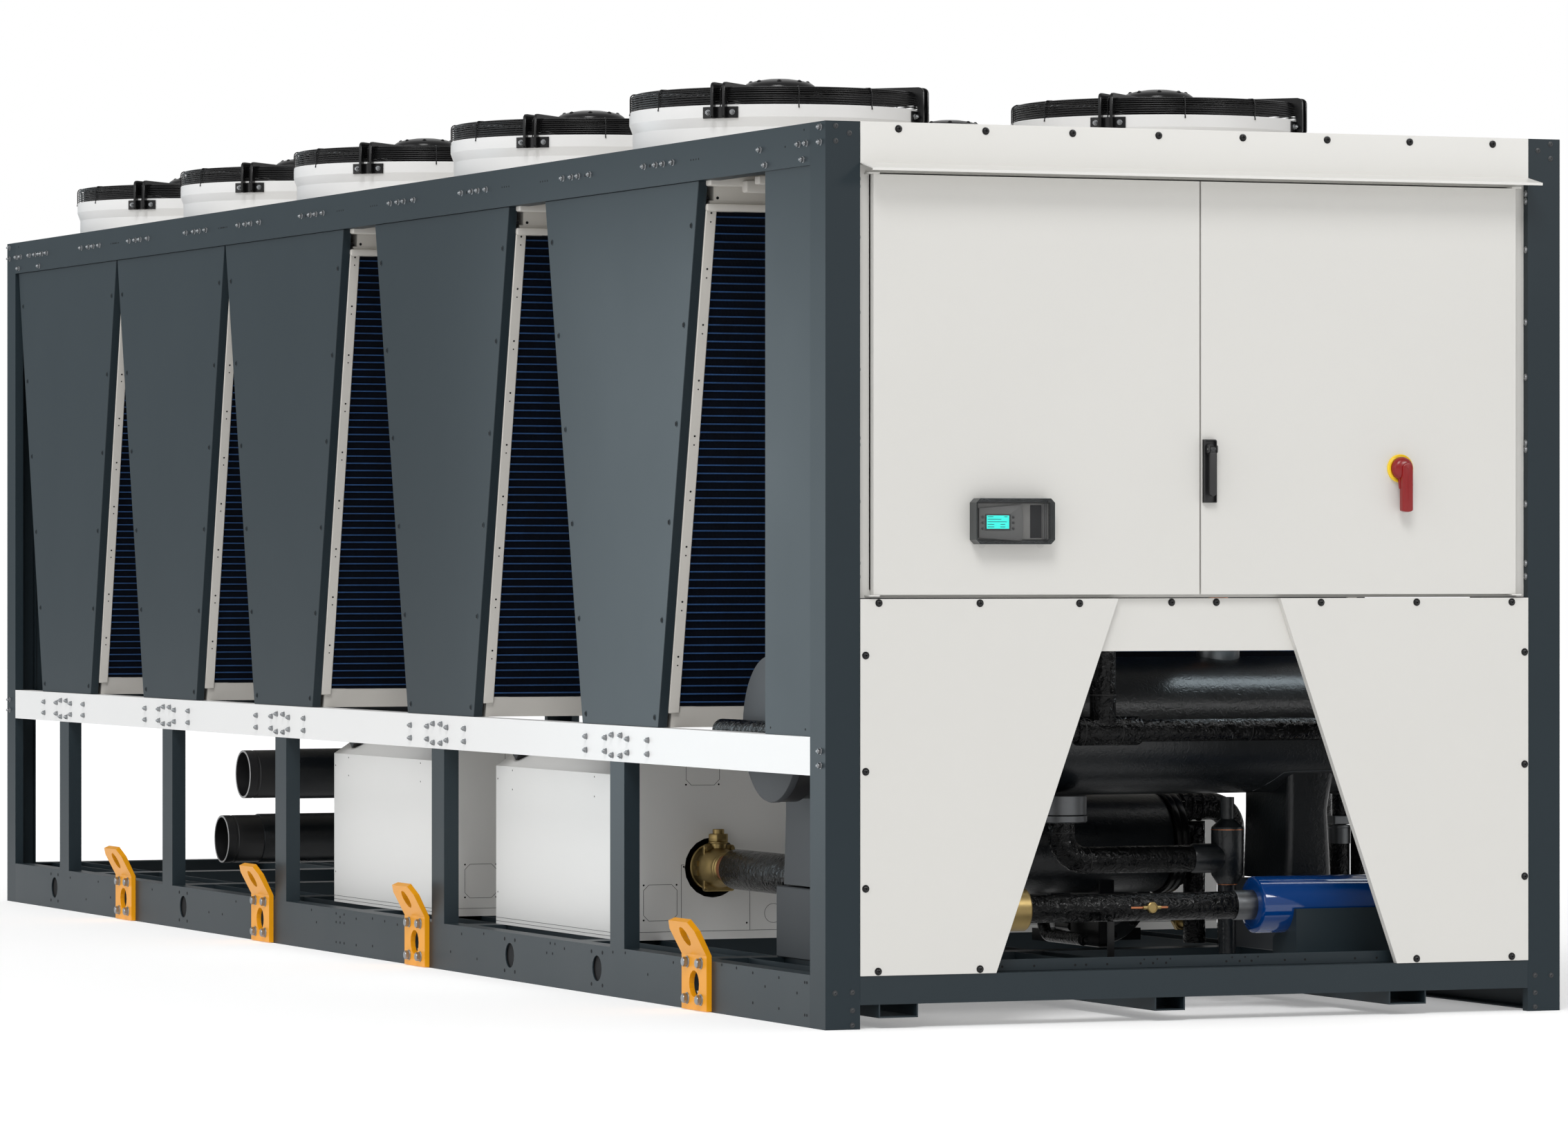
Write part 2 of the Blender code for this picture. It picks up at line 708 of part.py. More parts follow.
def fan_arms(paint):
    """Pairs of plates on the diagonals that carry the motor and hook over the collar's edge."""
    profile = [
        (ARM_ROOT, ARM_TOP - ARM_DEPTH),
        (ARM_HOOK, ARM_TOP - ARM_DEPTH),
        (ARM_HOOK, ARM_FOOT),
        (ARM_REACH, ARM_FOOT),
        (ARM_REACH, ARM_TOP),
        (ARM_ROOT, ARM_TOP),
    ]
    arms = []
    for i in range(ARM_COUNT):
        turn = Matrix.Rotation(math.pi / 4 + 2 * math.pi * i / ARM_COUNT, 4, "Z")
        for sign in (-1, 1):
            middle = sign * (ARM_PAIR_GAP + ARM_SHEET) / 2
            plate = prism("arm", profile, "Y", middle - ARM_SHEET / 2, middle + ARM_SHEET / 2, paint)
            plate.data.transform(turn)
            arms.append(plate)
    return arms


def fan_motor(paint):
    """The motor with its domed cap and the rotor hub under it, turned as one profile."""
    profile = [
        (0, 0.0),
        (HUB_RADIUS, 0.0),
        (HUB_RADIUS, HUB_HEIGHT),
        (MOTOR_RADIUS, HUB_HEIGHT + MOTOR_DOME),
        (MOTOR_RADIUS, MOTOR_TOP - MOTOR_DOME),
        (0, MOTOR_TOP),
    ]
    return revolved("motor", profile, paint, MOTOR_SEGMENTS)


def blade_section(radius, chord, pitch):
    """Corners of a blade's flat section at a radius, pitched about the blade's own axis."""
    reach = math.sqrt(radius**2 - (chord / 2) ** 2)
    corners = []
    for side, face in ((-1, -1), (1, -1), (1, 1), (-1, 1)):
        flat = side * chord / 2
        thick = face * BLADE_SHEET / 2
        y = flat * math.cos(pitch) - thick * math.sin(pitch)
        z = flat * math.sin(pitch) + thick * math.cos(pitch)
        corners.append((reach, y, z + HUB_HEIGHT / 2))
    return corners


def fan_blades(paint):
    """Twisted blades whose roots sink into the hub and whose tips run clear of the collar."""
    blades = []
    for i in range(BLADE_COUNT):
        shape = bmesh.new()
        root = blade_section(BLADE_ROOT_RADIUS, BLADE_ROOT_CHORD, BLADE_ROOT_PITCH)
        tip = blade_section(BLADE_TIP_RADIUS, BLADE_TIP_CHORD, BLADE_TIP_PITCH)
        rows = [[shape.verts.new(corner) for corner in row] for row in (root, tip)]
        shape.faces.new(rows[0])
        shape.faces.new(rows[1])
        for j in range(4):
            k = (j + 1) % 4
            shape.faces.new((rows[0][j], rows[0][k], rows[1][k], rows[1][j]))
        blade = new_object("blade", shape, paint)
        blade.data.transform(Matrix.Rotation(2 * math.pi * i / BLADE_COUNT, 4, "Z"))
        blades.append(blade)
    return blades


def build_fans(paints):
    """One fan assembly, repeated two by two over the modules."""
    black = paints["black"]
    first = fan_ring(paints["white"])
    fuse(first, fan_motor(black), *fan_arms(black), *fan_blades(black))
    smooth(first)
    number = 1
    for centre in MODULE_CENTRES:
        for sign in (-1, 1):
            fan = first if number == 1 else first.copy()
            fan.name = f"fan_{number}"
            fan.location = (sign * FAN_OFFSET, along(centre), DECK_TOP + SEAT_GAP)
            if number > 1:
                bpy.context.scene.collection.objects.link(fan)
            number += 1


# The control cabinet, its doors and the sheets round it
SHELL_LEFT = POST_WIDTH + SEAT_GAP
SHELL_RIGHT = WIDTH - POST_WIDTH - SEAT_GAP

HANDLE_PIVOT_LIFT = 0.401
HANDLE_PIVOT_Z = DOOR_BOTTOM + HANDLE_PIVOT_LIFT
ESCUTCHEON_INSET = 0.006
ESCUTCHEON_WIDTH = 0.038
ESCUTCHEON_DROP = 0.148
ESCUTCHEON_RISE = 0.027
ESCUTCHEON_U = (DOOR_SPLIT + ESCUTCHEON_INSET, DOOR_SPLIT + ESCUTCHEON_INSET + ESCUTCHEON_WIDTH)
ESCUTCHEON_Z = (HANDLE_PIVOT_Z - ESCUTCHEON_DROP, HANDLE_PIVOT_Z + ESCUTCHEON_RISE)
ESCUTCHEON_SHEET = 0.006
HANDLE_HUB_RADIUS = 0.016
HANDLE_HUB_DEPTH = 0.008
HANDLE_EAR = 0.004
HANDLE_EAR_LENGTH = 0.022
LEVER_WIDTH = 0.02
LEVER_DEPTH = 0.014
LEVER_LENGTH = 0.13
LEVER_CLEARANCE = 0.003

SWITCH_INSET = 0.367
SWITCH_U = DOOR_RIGHT_EDGE - SWITCH_INSET
SWITCH_LIFT = 0.351
SWITCH_Z = DOOR_BOTTOM + SWITCH_LIFT
SWITCH_BEZEL_RADIUS = 0.038
SWITCH_BEZEL_DEPTH = 0.008
SWITCH_HUB_RADIUS = 0.032
SWITCH_HUB_DEPTH = 0.03
SWITCH_GRIP_LENGTH = 0.122
SWITCH_GRIP_WIDTH = 0.03
SWITCH_GRIP_DEPTH = 0.024

DISPLAY_INSET = 0.276
DISPLAY_WIDTH = 0.253
DISPLAY_LIFT = 0.113
DISPLAY_HEIGHT = 0.154
DISPLAY_U = (DOOR_LEFT_EDGE + DISPLAY_INSET, DOOR_LEFT_EDGE + DISPLAY_INSET + DISPLAY_WIDTH)
DISPLAY_Z = (DOOR_BOTTOM + DISPLAY_LIFT, DOOR_BOTTOM + DISPLAY_LIFT + DISPLAY_HEIGHT)
DISPLAY_DEPTH = 0.045
DISPLAY_WALL = 0.006
DISPLAY_CHAMFER = 0.012


def rectangle(low_a, high_a, low_b, high_b):
    return [(low_a, low_b), (high_a, low_b), (high_a, high_b), (low_a, high_b)]


def cabinet_shell(paint):
    """A sheet-steel box, open at the front inside a narrow frame, with the tabs that carry the doors."""
    left = across(SHELL_LEFT)
    right = across(SHELL_RIGHT)
    front = along(CABINET_FRONT)
    back = along(CABINET_FRONT + CABINET_DEPTH)
    top = TOP_RAIL_BOTTOM
    shell = block("cabinet_shell", (left, front, CABINET_BOTTOM), (right, back, top), paint)
    inside = block(
        "inside",
        (left + SHEET, front + SHEET, CABINET_BOTTOM + SHEET),
        (right - SHEET, back - SHEET, top - SHEET),
        paint,
    )
    mouth = block(
        "mouth",
        (left + JAMB, front - SHEET, CABINET_BOTTOM + SILL),
        (right - JAMB, front + 2 * SHEET, top - SILL),
        paint,
    )
    cut(shell, inside)
    cut(shell, mouth)
    tabs = []
    for edge in (across(DOOR_LEFT_EDGE), across(DOOR_RIGHT_EDGE)):
        for low in (DOOR_BOTTOM - SEAT_GAP - HINGE_TAB, DOOR_TOP + SEAT_GAP):
            tabs.append(
                block(
                    "tab",
                    (edge - HINGE_TAB_WIDTH / 2, along(DOOR_FACE - HINGE_TAB_REACH), low),
                    (edge + HINGE_TAB_WIDTH / 2, front + SHEET / 2, low + HINGE_TAB),
                    paint,
                )
            )
    return fuse(shell, *tabs)


def door(name, left_edge, right_edge, paint):
    """A door leaf: a folded tray with its skin outwards."""
    outline = rectangle(across(left_edge), across(right_edge), DOOR_BOTTOM, DOOR_TOP)
    face = along(DOOR_FACE)
    return tray(name, outline, "Y", face, face + DOOR_DEPTH, SHEET, paint)


def doors(paint):
    left = door("door_left", DOOR_LEFT_EDGE, DOOR_SPLIT - DOOR_GAP / 2, paint)
    right = door("door_right", DOOR_SPLIT + DOOR_GAP / 2, DOOR_RIGHT_EDGE, paint)
    face = along(DOOR_FACE)
    plate = block(
        "escutcheon",
        (across(ESCUTCHEON_U[0]), face - ESCUTCHEON_SHEET, ESCUTCHEON_Z[0]),
        (across(ESCUTCHEON_U[1]), face + SHEET / 2, ESCUTCHEON_Z[1]),
        paint,
    )
    bezel = round_bar(
        "bezel",
        (across(SWITCH_U), SWITCH_Z),
        "Y",
        face - SWITCH_BEZEL_DEPTH,
        face + SHEET / 2,
        SWITCH_BEZEL_RADIUS,
        paint,
        24,
    )
    fuse(right, plate, bezel)
    put_origin(left, (across(DOOR_LEFT_EDGE), face, 0))
    put_origin(right, (across(DOOR_RIGHT_EDGE), face, 0))


def door_handle(paint):
    """A swing handle: a hub that turns in the door and the lever that pulls out on a pin between its ears."""
    middle = across(sum(ESCUTCHEON_U) / 2)
    back = along(DOOR_FACE) - ESCUTCHEON_SHEET - SEAT_GAP
    hub_front = back - HANDLE_HUB_DEPTH
    pivot_y = hub_front - LEVER_CLEARANCE - LEVER_DEPTH / 2
    hub = round_bar(
        "handle_hub", (middle, HANDLE_PIVOT_Z), "Y", hub_front, back, HANDLE_HUB_RADIUS, paint, 20
    )
    ears = []
    ear_inner = LEVER_WIDTH / 2 + SEAT_GAP
    for sign in (-1, 1):
        low = min(sign * ear_inner, sign * (ear_inner + HANDLE_EAR))
        ears.append(
            block(
                "ear",
                (middle + low, pivot_y - LEVER_DEPTH / 2, HANDLE_PIVOT_Z - HANDLE_EAR_LENGTH / 2),
                (middle + low + HANDLE_EAR, hub_front + SHEET, HANDLE_PIVOT_Z + HANDLE_EAR_LENGTH / 2),
                paint,
            )
        )
    fuse(hub, *ears)
    put_origin(hub, (middle, back, HANDLE_PIVOT_Z))
    half = LEVER_DEPTH / 2
    outline = [
        (pivot_y - half, HANDLE_PIVOT_Z - LEVER_LENGTH),
        (pivot_y + half * 0.4, HANDLE_PIVOT_Z - LEVER_LENGTH),
        (pivot_y + half, HANDLE_PIVOT_Z - LEVER_LENGTH + 2 * half),
    ]
    for i in range(7):
        turn = math.pi * i / 6
        outline.append((pivot_y + half * math.cos(turn), HANDLE_PIVOT_Z + half * math.sin(turn)))
    lever = prism("handle_lever", outline, "X", middle - LEVER_WIDTH / 2, middle + LEVER_WIDTH / 2, paint)
    put_origin(lever, (middle, pivot_y, HANDLE_PIVOT_Z))


def switch_handle(paint):
    """The main switch's pistol grip on its round hub."""
    back = along(DOOR_FACE) - SWITCH_BEZEL_DEPTH - SEAT_GAP
    front = back - SWITCH_HUB_DEPTH
    centre = (across(SWITCH_U), SWITCH_Z)
    hub = round_bar("switch_handle", centre, "Y", front, back, SWITCH_HUB_RADIUS, paint, 20)
    half = SWITCH_GRIP_WIDTH / 2
    grip = [
        (centre[0] - half * 0.8, SWITCH_Z - SWITCH_GRIP_LENGTH),
        (centre[0] + half * 0.8, SWITCH_Z - SWITCH_GRIP_LENGTH),
        (centre[0] + half, SWITCH_Z - SWITCH_GRIP_LENGTH + half * 0.4),
        (centre[0] + half, SWITCH_Z),
        (centre[0] - half, SWITCH_Z),
        (centre[0] - half, SWITCH_Z - SWITCH_GRIP_LENGTH + half * 0.4),
    ]
    fuse(hub, prism("grip", grip, "Y", front - SHEET, front - SHEET + SWITCH_GRIP_DEPTH, paint))
    put_origin(hub, (centre[0], back, SWITCH_Z))


def display_unit(paint):
    """The hooded housing of the display, open to the front."""
    low_u, high_u = DISPLAY_U
    low_z, high_z = DISPLAY_Z
    c = DISPLAY_CHAMFER
    outline = [
        (across(low_u + c), low_z),
        (across(high_u - c), low_z),
        (across(high_u), low_z + c),
        (across(high_u), high_z - c),
        (across(high_u - c), high_z),
        (across(low_u + c), high_z),
        (across(low_u), high_z - c),
        (across(low_u), low_z + c),
    ]
    back = along(DOOR_FACE) - SEAT_GAP
    return tray("display_unit", outline, "Y", back, back - DISPLAY_DEPTH, DISPLAY_WALL, paint)


def fascia(paint):
    """The long sheet over the doors, folded out at its foot into a drip lip."""
    face = along(-SHEET)
    path = [
        (face + FASCIA_RETURN, FRAME_HEIGHT),
        (face, FRAME_HEIGHT),
        (face, FASCIA_BOTTOM),
        (along(-LIP_REACH), FASCIA_BOTTOM - LIP_FALL),
        (along(-LIP_REACH), FASCIA_BOTTOM - LIP_FALL - LIP_RETURN),
    ]
    outline = folded(path, SHEET)
    return prism("fascia", outline, "X", across(SHELL_LEFT), across(SHELL_RIGHT), paint)


def aprons(paint):
    """The two slanted panels under the doors and the set-back header between them."""
    face = along(-SHEET)
    seat = BASE_HEIGHT + SEAT_GAP
    left = [
        (across(SHELL_LEFT), seat),
        (across(APRON_FOOT_LEFT), seat),
        (across(APRON_TOP_LEFT), APRON_TOP),
        (across(SHELL_LEFT), APRON_TOP),
    ]
    right = [
        (across(APRON_FOOT_RIGHT), seat),
        (across(SHELL_RIGHT), seat),
        (across(SHELL_RIGHT), APRON_TOP),
        (across(APRON_TOP_RIGHT), APRON_TOP),
    ]
    rim = face + APRON_DEPTH
    tray("apron_left", left, "Y", face, rim, SHEET, paint)
    tray("apron_right", right, "Y", face, rim, SHEET, paint)
    low = across(APRON_TOP_LEFT - HEADER_OVERLAP)
    high = across(APRON_TOP_RIGHT + HEADER_OVERLAP)
    header_face = rim + SEAT_GAP
    outline = rectangle(low, high, HEADER_BOTTOM, APRON_TOP)
    tray("apron_header", outline, "Y", header_face, header_face + APRON_DEPTH, SHEET, paint)


CLOSING_WIDTH = 0.34


def closing_panel(paint):
    """The narrow sheet beside the front post that closes the cabinet's side."""
    start = along(POST_INSIDE)
    outline = rectangle(start, start + CLOSING_WIDTH, PANEL_SEAT, PANEL_CEILING)
    face = across(PANEL_SETBACK)
    panel = tray("closing_panel_left", outline, "X", face, face + PANEL_DEPTH, SHEET, paint)
    mirrored(panel, "closing_panel_right")


def build_cabinet(paints):
    cabinet_shell(paints["cream"])
    doors(paints["cream"])
    door_handle(paints["black"])
    switch_handle(paints["red"])
    display_unit(paints["grey"])
    fascia(paints["cream"])
    aprons(paints["cream"])
    closing_panel(paints["anthracite"])


# What stands on the base and shows through the open bays
FLOOR = BASE_HEIGHT + SEAT_GAP

LINE_RADIUS = 0.0375
HEADER_LINE_V = CABINET_FRONT + CABINET_DEPTH + SEAT_GAP + LINE_RADIUS

VESSEL_RADIUS = 0.197
VESSEL_CLEARANCE = 0.0582
VESSEL_V = HEADER_LINE_V + LINE_RADIUS + VESSEL_CLEARANCE + VESSEL_RADIUS
VESSEL_Z = 0.797
VESSEL_MARGINS = (0.165, 0.27)
VESSEL_U = (VESSEL_MARGINS[0], WIDTH - VESSEL_MARGINS[1])
END_DISC_RADIUS = 0.207
END_DISC_DEPTH = 0.03
COLUMNS_U = ((0.27, 0.5), (1.55, 1.8))
COLUMN_DEPTH = 0.28
COLUMN_FOOT_MARGIN = 0.012
COLUMN_FOOT_TOP = 0.4
DRAIN_U = (0.95, 1.45)
DRAIN_SETBACK = 0.06
DRAIN_V = VESSEL_V - DRAIN_SETBACK
DRAIN_Z = 0.43
DRAIN_RADIUS = 0.044
DRAIN_BEND = 0.07
DRAIN_CAP = (0.0475, 0.52, 0.63)
DRAIN_VALVE = (0.055, 0.49, 0.56)

SEPARATOR_RADIUS = 0.15
SEPARATOR_V = 1.14
SEPARATOR_Z = 0.46
SEPARATOR_U = (0.62, 1.24)
SEPARATOR_FLANGE = 0.04
SEPARATOR_FEET_U = (0.74, 1.0)
SEPARATOR_FOOT_WIDTH = 0.06

LINE_BEND = 0.06
COLLAR = 0.006
HEADER_LINE_Z = 0.775
HEADER_LINE_U = (0.103, 1.9)
HEADER_LINE_END = 1.0
TEE_U = 1.03
TEE_REACH = 0.09
RISER_LENGTH = 0.65

LIQUID_LINE_U = 0.8
UNION_RADIUS = 0.06
UNION_LENGTH = 0.08
CLAMP_U = 1.03
CLAMP_WIDTH = 0.06

DRIER_RADIUS = 0.079
DRIER_U = (1.43, 1.98)
DRIER_V = 0.36
DRIER_Z = 0.3
CRADLE_U = (1.66, 1.93)
CRADLE_WIDTH = 0.19

ENCLOSURE_MARGIN = 0.15
ENCLOSURE_U = (ENCLOSURE_MARGIN, WIDTH - ENCLOSURE_MARGIN)
ENCLOSURE_TOP = 0.69
ENCLOSURE_SLOPE_RISE = 0.055
ENCLOSURE_SLOPE_RUN = 0.085
ENCLOSURES_V = ((1.9, 3.0), (3.46, 4.56))
VALVE_U = 0.434
VALVE_Z = 0.358
VALVE_HOLE_RADIUS = 0.09
VALVE_HOLE_DEPTH = 0.12
VALVE_RADIUS = 0.075
VALVE_LENGTH = 0.16
SUCTION_RADIUS = 0.0575

WATER_RADIUS = 0.084
WATER_WALL = 0.008
WATER_MOUTH_DEPTH = 0.15
WATER_MOUTH_U = 0.2
WATER_UPPER = (5.69, 0.533)
WATER_LOWER = (5.93, 0.3)
EVAPORATOR_U = (0.9, 1.65)
EVAPORATOR_V = (5.45, 6.06)
EVAPORATOR_TOP = 0.66
EVAPORATOR_CHAMFER = 0.05


def refrigerant_vessel(surface):
    """The horizontal vessel with its two columns and the U-shaped line under it."""
    centre = (along(VESSEL_V), VESSEL_Z)
    low_x, high_x = across(VESSEL_U[0]), across(VESSEL_U[1])
    vessel = round_bar("refrigerant_vessel", centre, "X", low_x, high_x, VESSEL_RADIUS, surface, 28)
    pieces = []
    for x in (low_x - END_DISC_DEPTH / 2, high_x - END_DISC_DEPTH / 2):
        pieces.append(round_bar("disc", centre, "X", x, x + END_DISC_DEPTH, END_DISC_RADIUS, surface, 28))
    for low_u, high_u in COLUMNS_U:
        low = (across(low_u), along(VESSEL_V - COLUMN_DEPTH / 2), FLOOR)
        high = (across(high_u), along(VESSEL_V + COLUMN_DEPTH / 2), VESSEL_Z)
        pieces.append(block("column", low, high, surface))
        margin = COLUMN_FOOT_MARGIN
        foot_low = (low[0] - margin, low[1] - margin, FLOOR)
        foot_high = (high[0] + margin, high[1] + margin, COLUMN_FOOT_TOP)
        pieces.append(block("foot", foot_low, foot_high, surface))
    fuse(vessel, *pieces)
    y = along(DRAIN_V)
    left, right = across(DRAIN_U[0]), across(DRAIN_U[1])
    corners = [(left, y, VESSEL_Z), (left, y, DRAIN_Z), (right, y, DRAIN_Z), (right, y, VESSEL_Z)]
    line = pipe("drain", corners, DRAIN_RADIUS, DRAIN_BEND, surface)
    fittings = []
    for x, (radius, low, high) in ((left, DRAIN_CAP), (right, DRAIN_VALVE)):
        fittings.append(round_bar("fitting", (x, y), "Z", low, high, radius, surface, 16))
    fuse(vessel, line, *fittings)
    smooth(vessel)
    return vessel


def oil_separator(surface):
    """A short horizontal drum behind the front opening, with a bolted flange and two feet."""
    centre = (along(SEPARATOR_V), SEPARATOR_Z)
    low_x, high_x = across(SEPARATOR_U[0]), across(SEPARATOR_U[1])
    drum = round_bar("oil_separator", centre, "X", low_x, high_x, SEPARATOR_RADIUS, surface, 24)
    flange_x = high_x - 1.5 * SEPARATOR_FLANGE
    rim = SEPARATOR_RADIUS + SEPARATOR_FLANGE / 2
    pieces = [round_bar("flange", centre, "X", flange_x, flange_x + SEPARATOR_FLANGE, rim, surface, 24)]
    for u in SEPARATOR_FEET_U:
        low = (across(u), centre[0] - SEPARATOR_RADIUS * 0.7, FLOOR)
        high = (across(u + SEPARATOR_FOOT_WIDTH), centre[0] + SEPARATOR_RADIUS * 0.7, SEPARATOR_Z)
        pieces.append(block("foot", low, high, surface))
    fuse(drum, *pieces)
    smooth(drum)
    return drum


def header_line(surface):
    """The insulated line in front of the vessel: its riser runs up the back of the cabinet."""
    z = HEADER_LINE_Z
    y = along(HEADER_LINE_V)
    corners = [
        (across(HEADER_LINE_U[1]), y, z),
        (across(HEADER_LINE_U[0]), y, z),
        (across(HEADER_LINE_U[0]), along(HEADER_LINE_END), z),
    ]
    line = pipe("header_line", corners, LINE_RADIUS, LINE_BEND, surface)
    riser = round_bar("riser", (across(TEE_U), y), "Z", z, z + RISER_LENGTH, LINE_RADIUS, surface, 12)
    tee_low, tee_high = across(TEE_U) - TEE_REACH, across(TEE_U) + TEE_REACH
    collar = round_bar("collar", (y, z), "X", tee_low, tee_high, LINE_RADIUS + COLLAR, surface, 12)
    fuse(line, riser, collar)
    smooth(line)
    return line


def suction_line(surface):
    """The thick insulated line and its valve between the near enclosure and the vessel's column."""
    centre = (across(VALVE_U), VALVE_Z)
    valve_end = along(ENCLOSURES_V[0][0] + VALVE_HOLE_DEPTH) - SEAT_GAP
    valve_start = valve_end - VALVE_LENGTH
    start = along(VESSEL_V + COLUMN_DEPTH / 2 + COLUMN_FOOT_MARGIN) + SEAT_GAP
    line = round_bar(
        "suction_line", centre, "Y", start, valve_end - VALVE_LENGTH / 2, SUCTION_RADIUS, surface, 16
    )
    valve = round_bar("valve", centre, "Y", valve_start, valve_end, VALVE_RADIUS, surface, 16)
    fuse(line, valve)
    smooth(line)
    return line


def liquid_line(surface):
    """The low insulated line from its union to the filter drier, held by a clamp on the middle beam."""
    y = along(DRIER_V)
    start = across(LIQUID_LINE_U)
    end = across(DRIER_U[0]) - SEAT_GAP
    line = round_bar("liquid_line", (y, DRIER_Z), "X", start, end, LINE_RADIUS, surface, 16)
    union_start = start - UNION_LENGTH / 2
    union_end = start + UNION_LENGTH / 2
    union = round_bar("union", (y, DRIER_Z), "X", union_start, union_end, UNION_RADIUS, surface, 20)
    half = CLAMP_WIDTH / 2
    clamp_x = across(CLAMP_U)
    clamp = block("clamp", (clamp_x - half, y - half, FLOOR), (clamp_x + half, y + half, DRIER_Z), surface)
    fuse(line, union, clamp)
    smooth(line)
    return line


def filter_drier(surface):
    """The blue drum in its cradle."""
    y = along(DRIER_V)
    low, high = across(DRIER_U[0]), across(DRIER_U[1])
    drum = round_bar("filter_drier", (y, DRIER_Z), "X", low, high, DRIER_RADIUS, surface, 24)
    cradle_low = (across(CRADLE_U[0]), y - CRADLE_WIDTH / 2, FLOOR)
    cradle_high = (across(CRADLE_U[1]), y + CRADLE_WIDTH / 2, DRIER_Z - DRIER_RADIUS / 4)
    fuse(drum, block("cradle", cradle_low, cradle_high, surface))
    smooth(drum)
    return drum


def enclosure(number, start, end, paint):
    """A compressor's sheet-steel enclosure with sloped shoulders."""
    low, high = across(ENCLOSURE_U[0]), across(ENCLOSURE_U[1])
    shoulder = ENCLOSURE_TOP - ENCLOSURE_SLOPE_RISE
    outline = [
        (low, FLOOR),
        (high, FLOOR),
        (high, shoulder),
        (high - ENCLOSURE_SLOPE_RUN, ENCLOSURE_TOP),
        (low + ENCLOSURE_SLOPE_RUN, ENCLOSURE_TOP),
        (low, shoulder),
    ]
    box = prism(f"compressor_enclosure_{number}", outline, "Y", along(start), along(end), paint)
    if number == 1:
        near = along(start)
        hole = round_bar(
            "hole",
            (across(VALVE_U), VALVE_Z),
            "Y",
            near - STEEL,
            near + VALVE_HOLE_DEPTH,
            VALVE_HOLE_RADIUS,
            paint,
            20,
        )
        cut(box, hole)
    return box


def evaporator(surface):
    """The insulated evaporator block with its two open water pipes towards the left side."""
    low_u, high_u = EVAPORATOR_U
    low_v, high_v = EVAPORATOR_V
    c = EVAPORATOR_CHAMFER
    outline = [
        (across(low_u + c), along(low_v)),
        (across(high_u - c), along(low_v)),
        (across(high_u), along(low_v + c)),
        (across(high_u), along(high_v - c)),
        (across(high_u - c), along(high_v)),
        (across(low_u + c), along(high_v)),
        (across(low_u), along(high_v - c)),
        (across(low_u), along(low_v + c)),
    ]
    body = prism("evaporator", outline, "Z", FLOOR, EVAPORATOR_TOP, surface)
    mouth = across(WATER_MOUTH_U)
    tubes = []
    bores = []
    for v, z in (WATER_UPPER, WATER_LOWER):
        centre = (along(v), z)
        tubes.append(round_bar("tube", centre, "X", mouth, across(low_u + c), WATER_RADIUS, surface, 20))
        bore_end = mouth + WATER_MOUTH_DEPTH
        bore = WATER_RADIUS - WATER_WALL
        bores.append(round_bar("bore", centre, "X", mouth - STEEL, bore_end, bore, surface, 20))
    fuse(body, *tubes)
    cut(body, *bores)
    smooth(body)
    return body


def build_machinery(paints):
    refrigerant_vessel(paints["foam"])
    oil_separator(paints["foam"])
    header_line(paints["foam"])
    suction_line(paints["foam"])
    liquid_line(paints["foam"])
    filter_drier(paints["blue"])
    for number, (start, end) in enumerate(ENCLOSURES_V, 1):
        enclosure(number, start, end, paints["cream"])
    evaporator(paints["foam"])


def main():
    clear_scene()
    paints = make_finishes()
    build_frame(paints)
    build_modules(paints)
    build_fans(paints)
    build_cabinet(paints)
    build_machinery(paints)


main()
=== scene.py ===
# %% [markdown]
# # Dressing an air-cooled chiller
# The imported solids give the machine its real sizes: a folded steel frame, five V-shaped coil modules
# under ten fans, a control cabinet and the machinery on the base. They could be rebuilt here from
# nothing, but then the looks and the solids would drift apart. So they are loaded once as a fixed frame.
# Each keeps its place, gets its real finish, and carries the parts that are too fine for a solid.

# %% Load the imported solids
import math

import bmesh
import bpy
from mathutils import Matrix, Vector


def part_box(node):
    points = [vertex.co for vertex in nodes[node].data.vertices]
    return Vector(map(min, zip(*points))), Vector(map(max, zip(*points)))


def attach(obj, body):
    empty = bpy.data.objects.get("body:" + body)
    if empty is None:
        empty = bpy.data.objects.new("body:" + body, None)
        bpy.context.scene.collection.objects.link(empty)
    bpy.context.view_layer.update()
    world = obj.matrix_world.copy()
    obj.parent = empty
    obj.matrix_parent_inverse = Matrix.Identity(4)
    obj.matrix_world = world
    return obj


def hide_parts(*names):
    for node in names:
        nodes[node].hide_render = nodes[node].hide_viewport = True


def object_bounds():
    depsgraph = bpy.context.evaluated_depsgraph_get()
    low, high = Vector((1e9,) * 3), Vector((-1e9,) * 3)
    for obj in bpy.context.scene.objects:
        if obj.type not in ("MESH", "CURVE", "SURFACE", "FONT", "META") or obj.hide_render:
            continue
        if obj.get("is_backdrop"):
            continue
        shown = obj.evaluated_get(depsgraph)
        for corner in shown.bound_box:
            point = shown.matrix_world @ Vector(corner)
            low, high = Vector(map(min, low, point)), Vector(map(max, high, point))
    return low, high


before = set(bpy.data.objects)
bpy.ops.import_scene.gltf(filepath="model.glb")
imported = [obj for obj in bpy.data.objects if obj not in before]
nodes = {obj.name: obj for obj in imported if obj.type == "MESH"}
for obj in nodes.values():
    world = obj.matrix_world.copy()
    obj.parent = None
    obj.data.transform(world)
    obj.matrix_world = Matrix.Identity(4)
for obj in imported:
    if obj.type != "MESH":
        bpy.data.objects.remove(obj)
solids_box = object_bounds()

# %% [markdown]
# ## Where things are
# A maker's drawing measures a frame from one corner. Places here are metres across from the left face and
# along from the front face of the steel frame, read from the solids, so a change of size there moves the
# details too.

# %% Places measured from the frame's front left corner
def low(name):
    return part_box(name)[0]


def high(name):
    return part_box(name)[1]


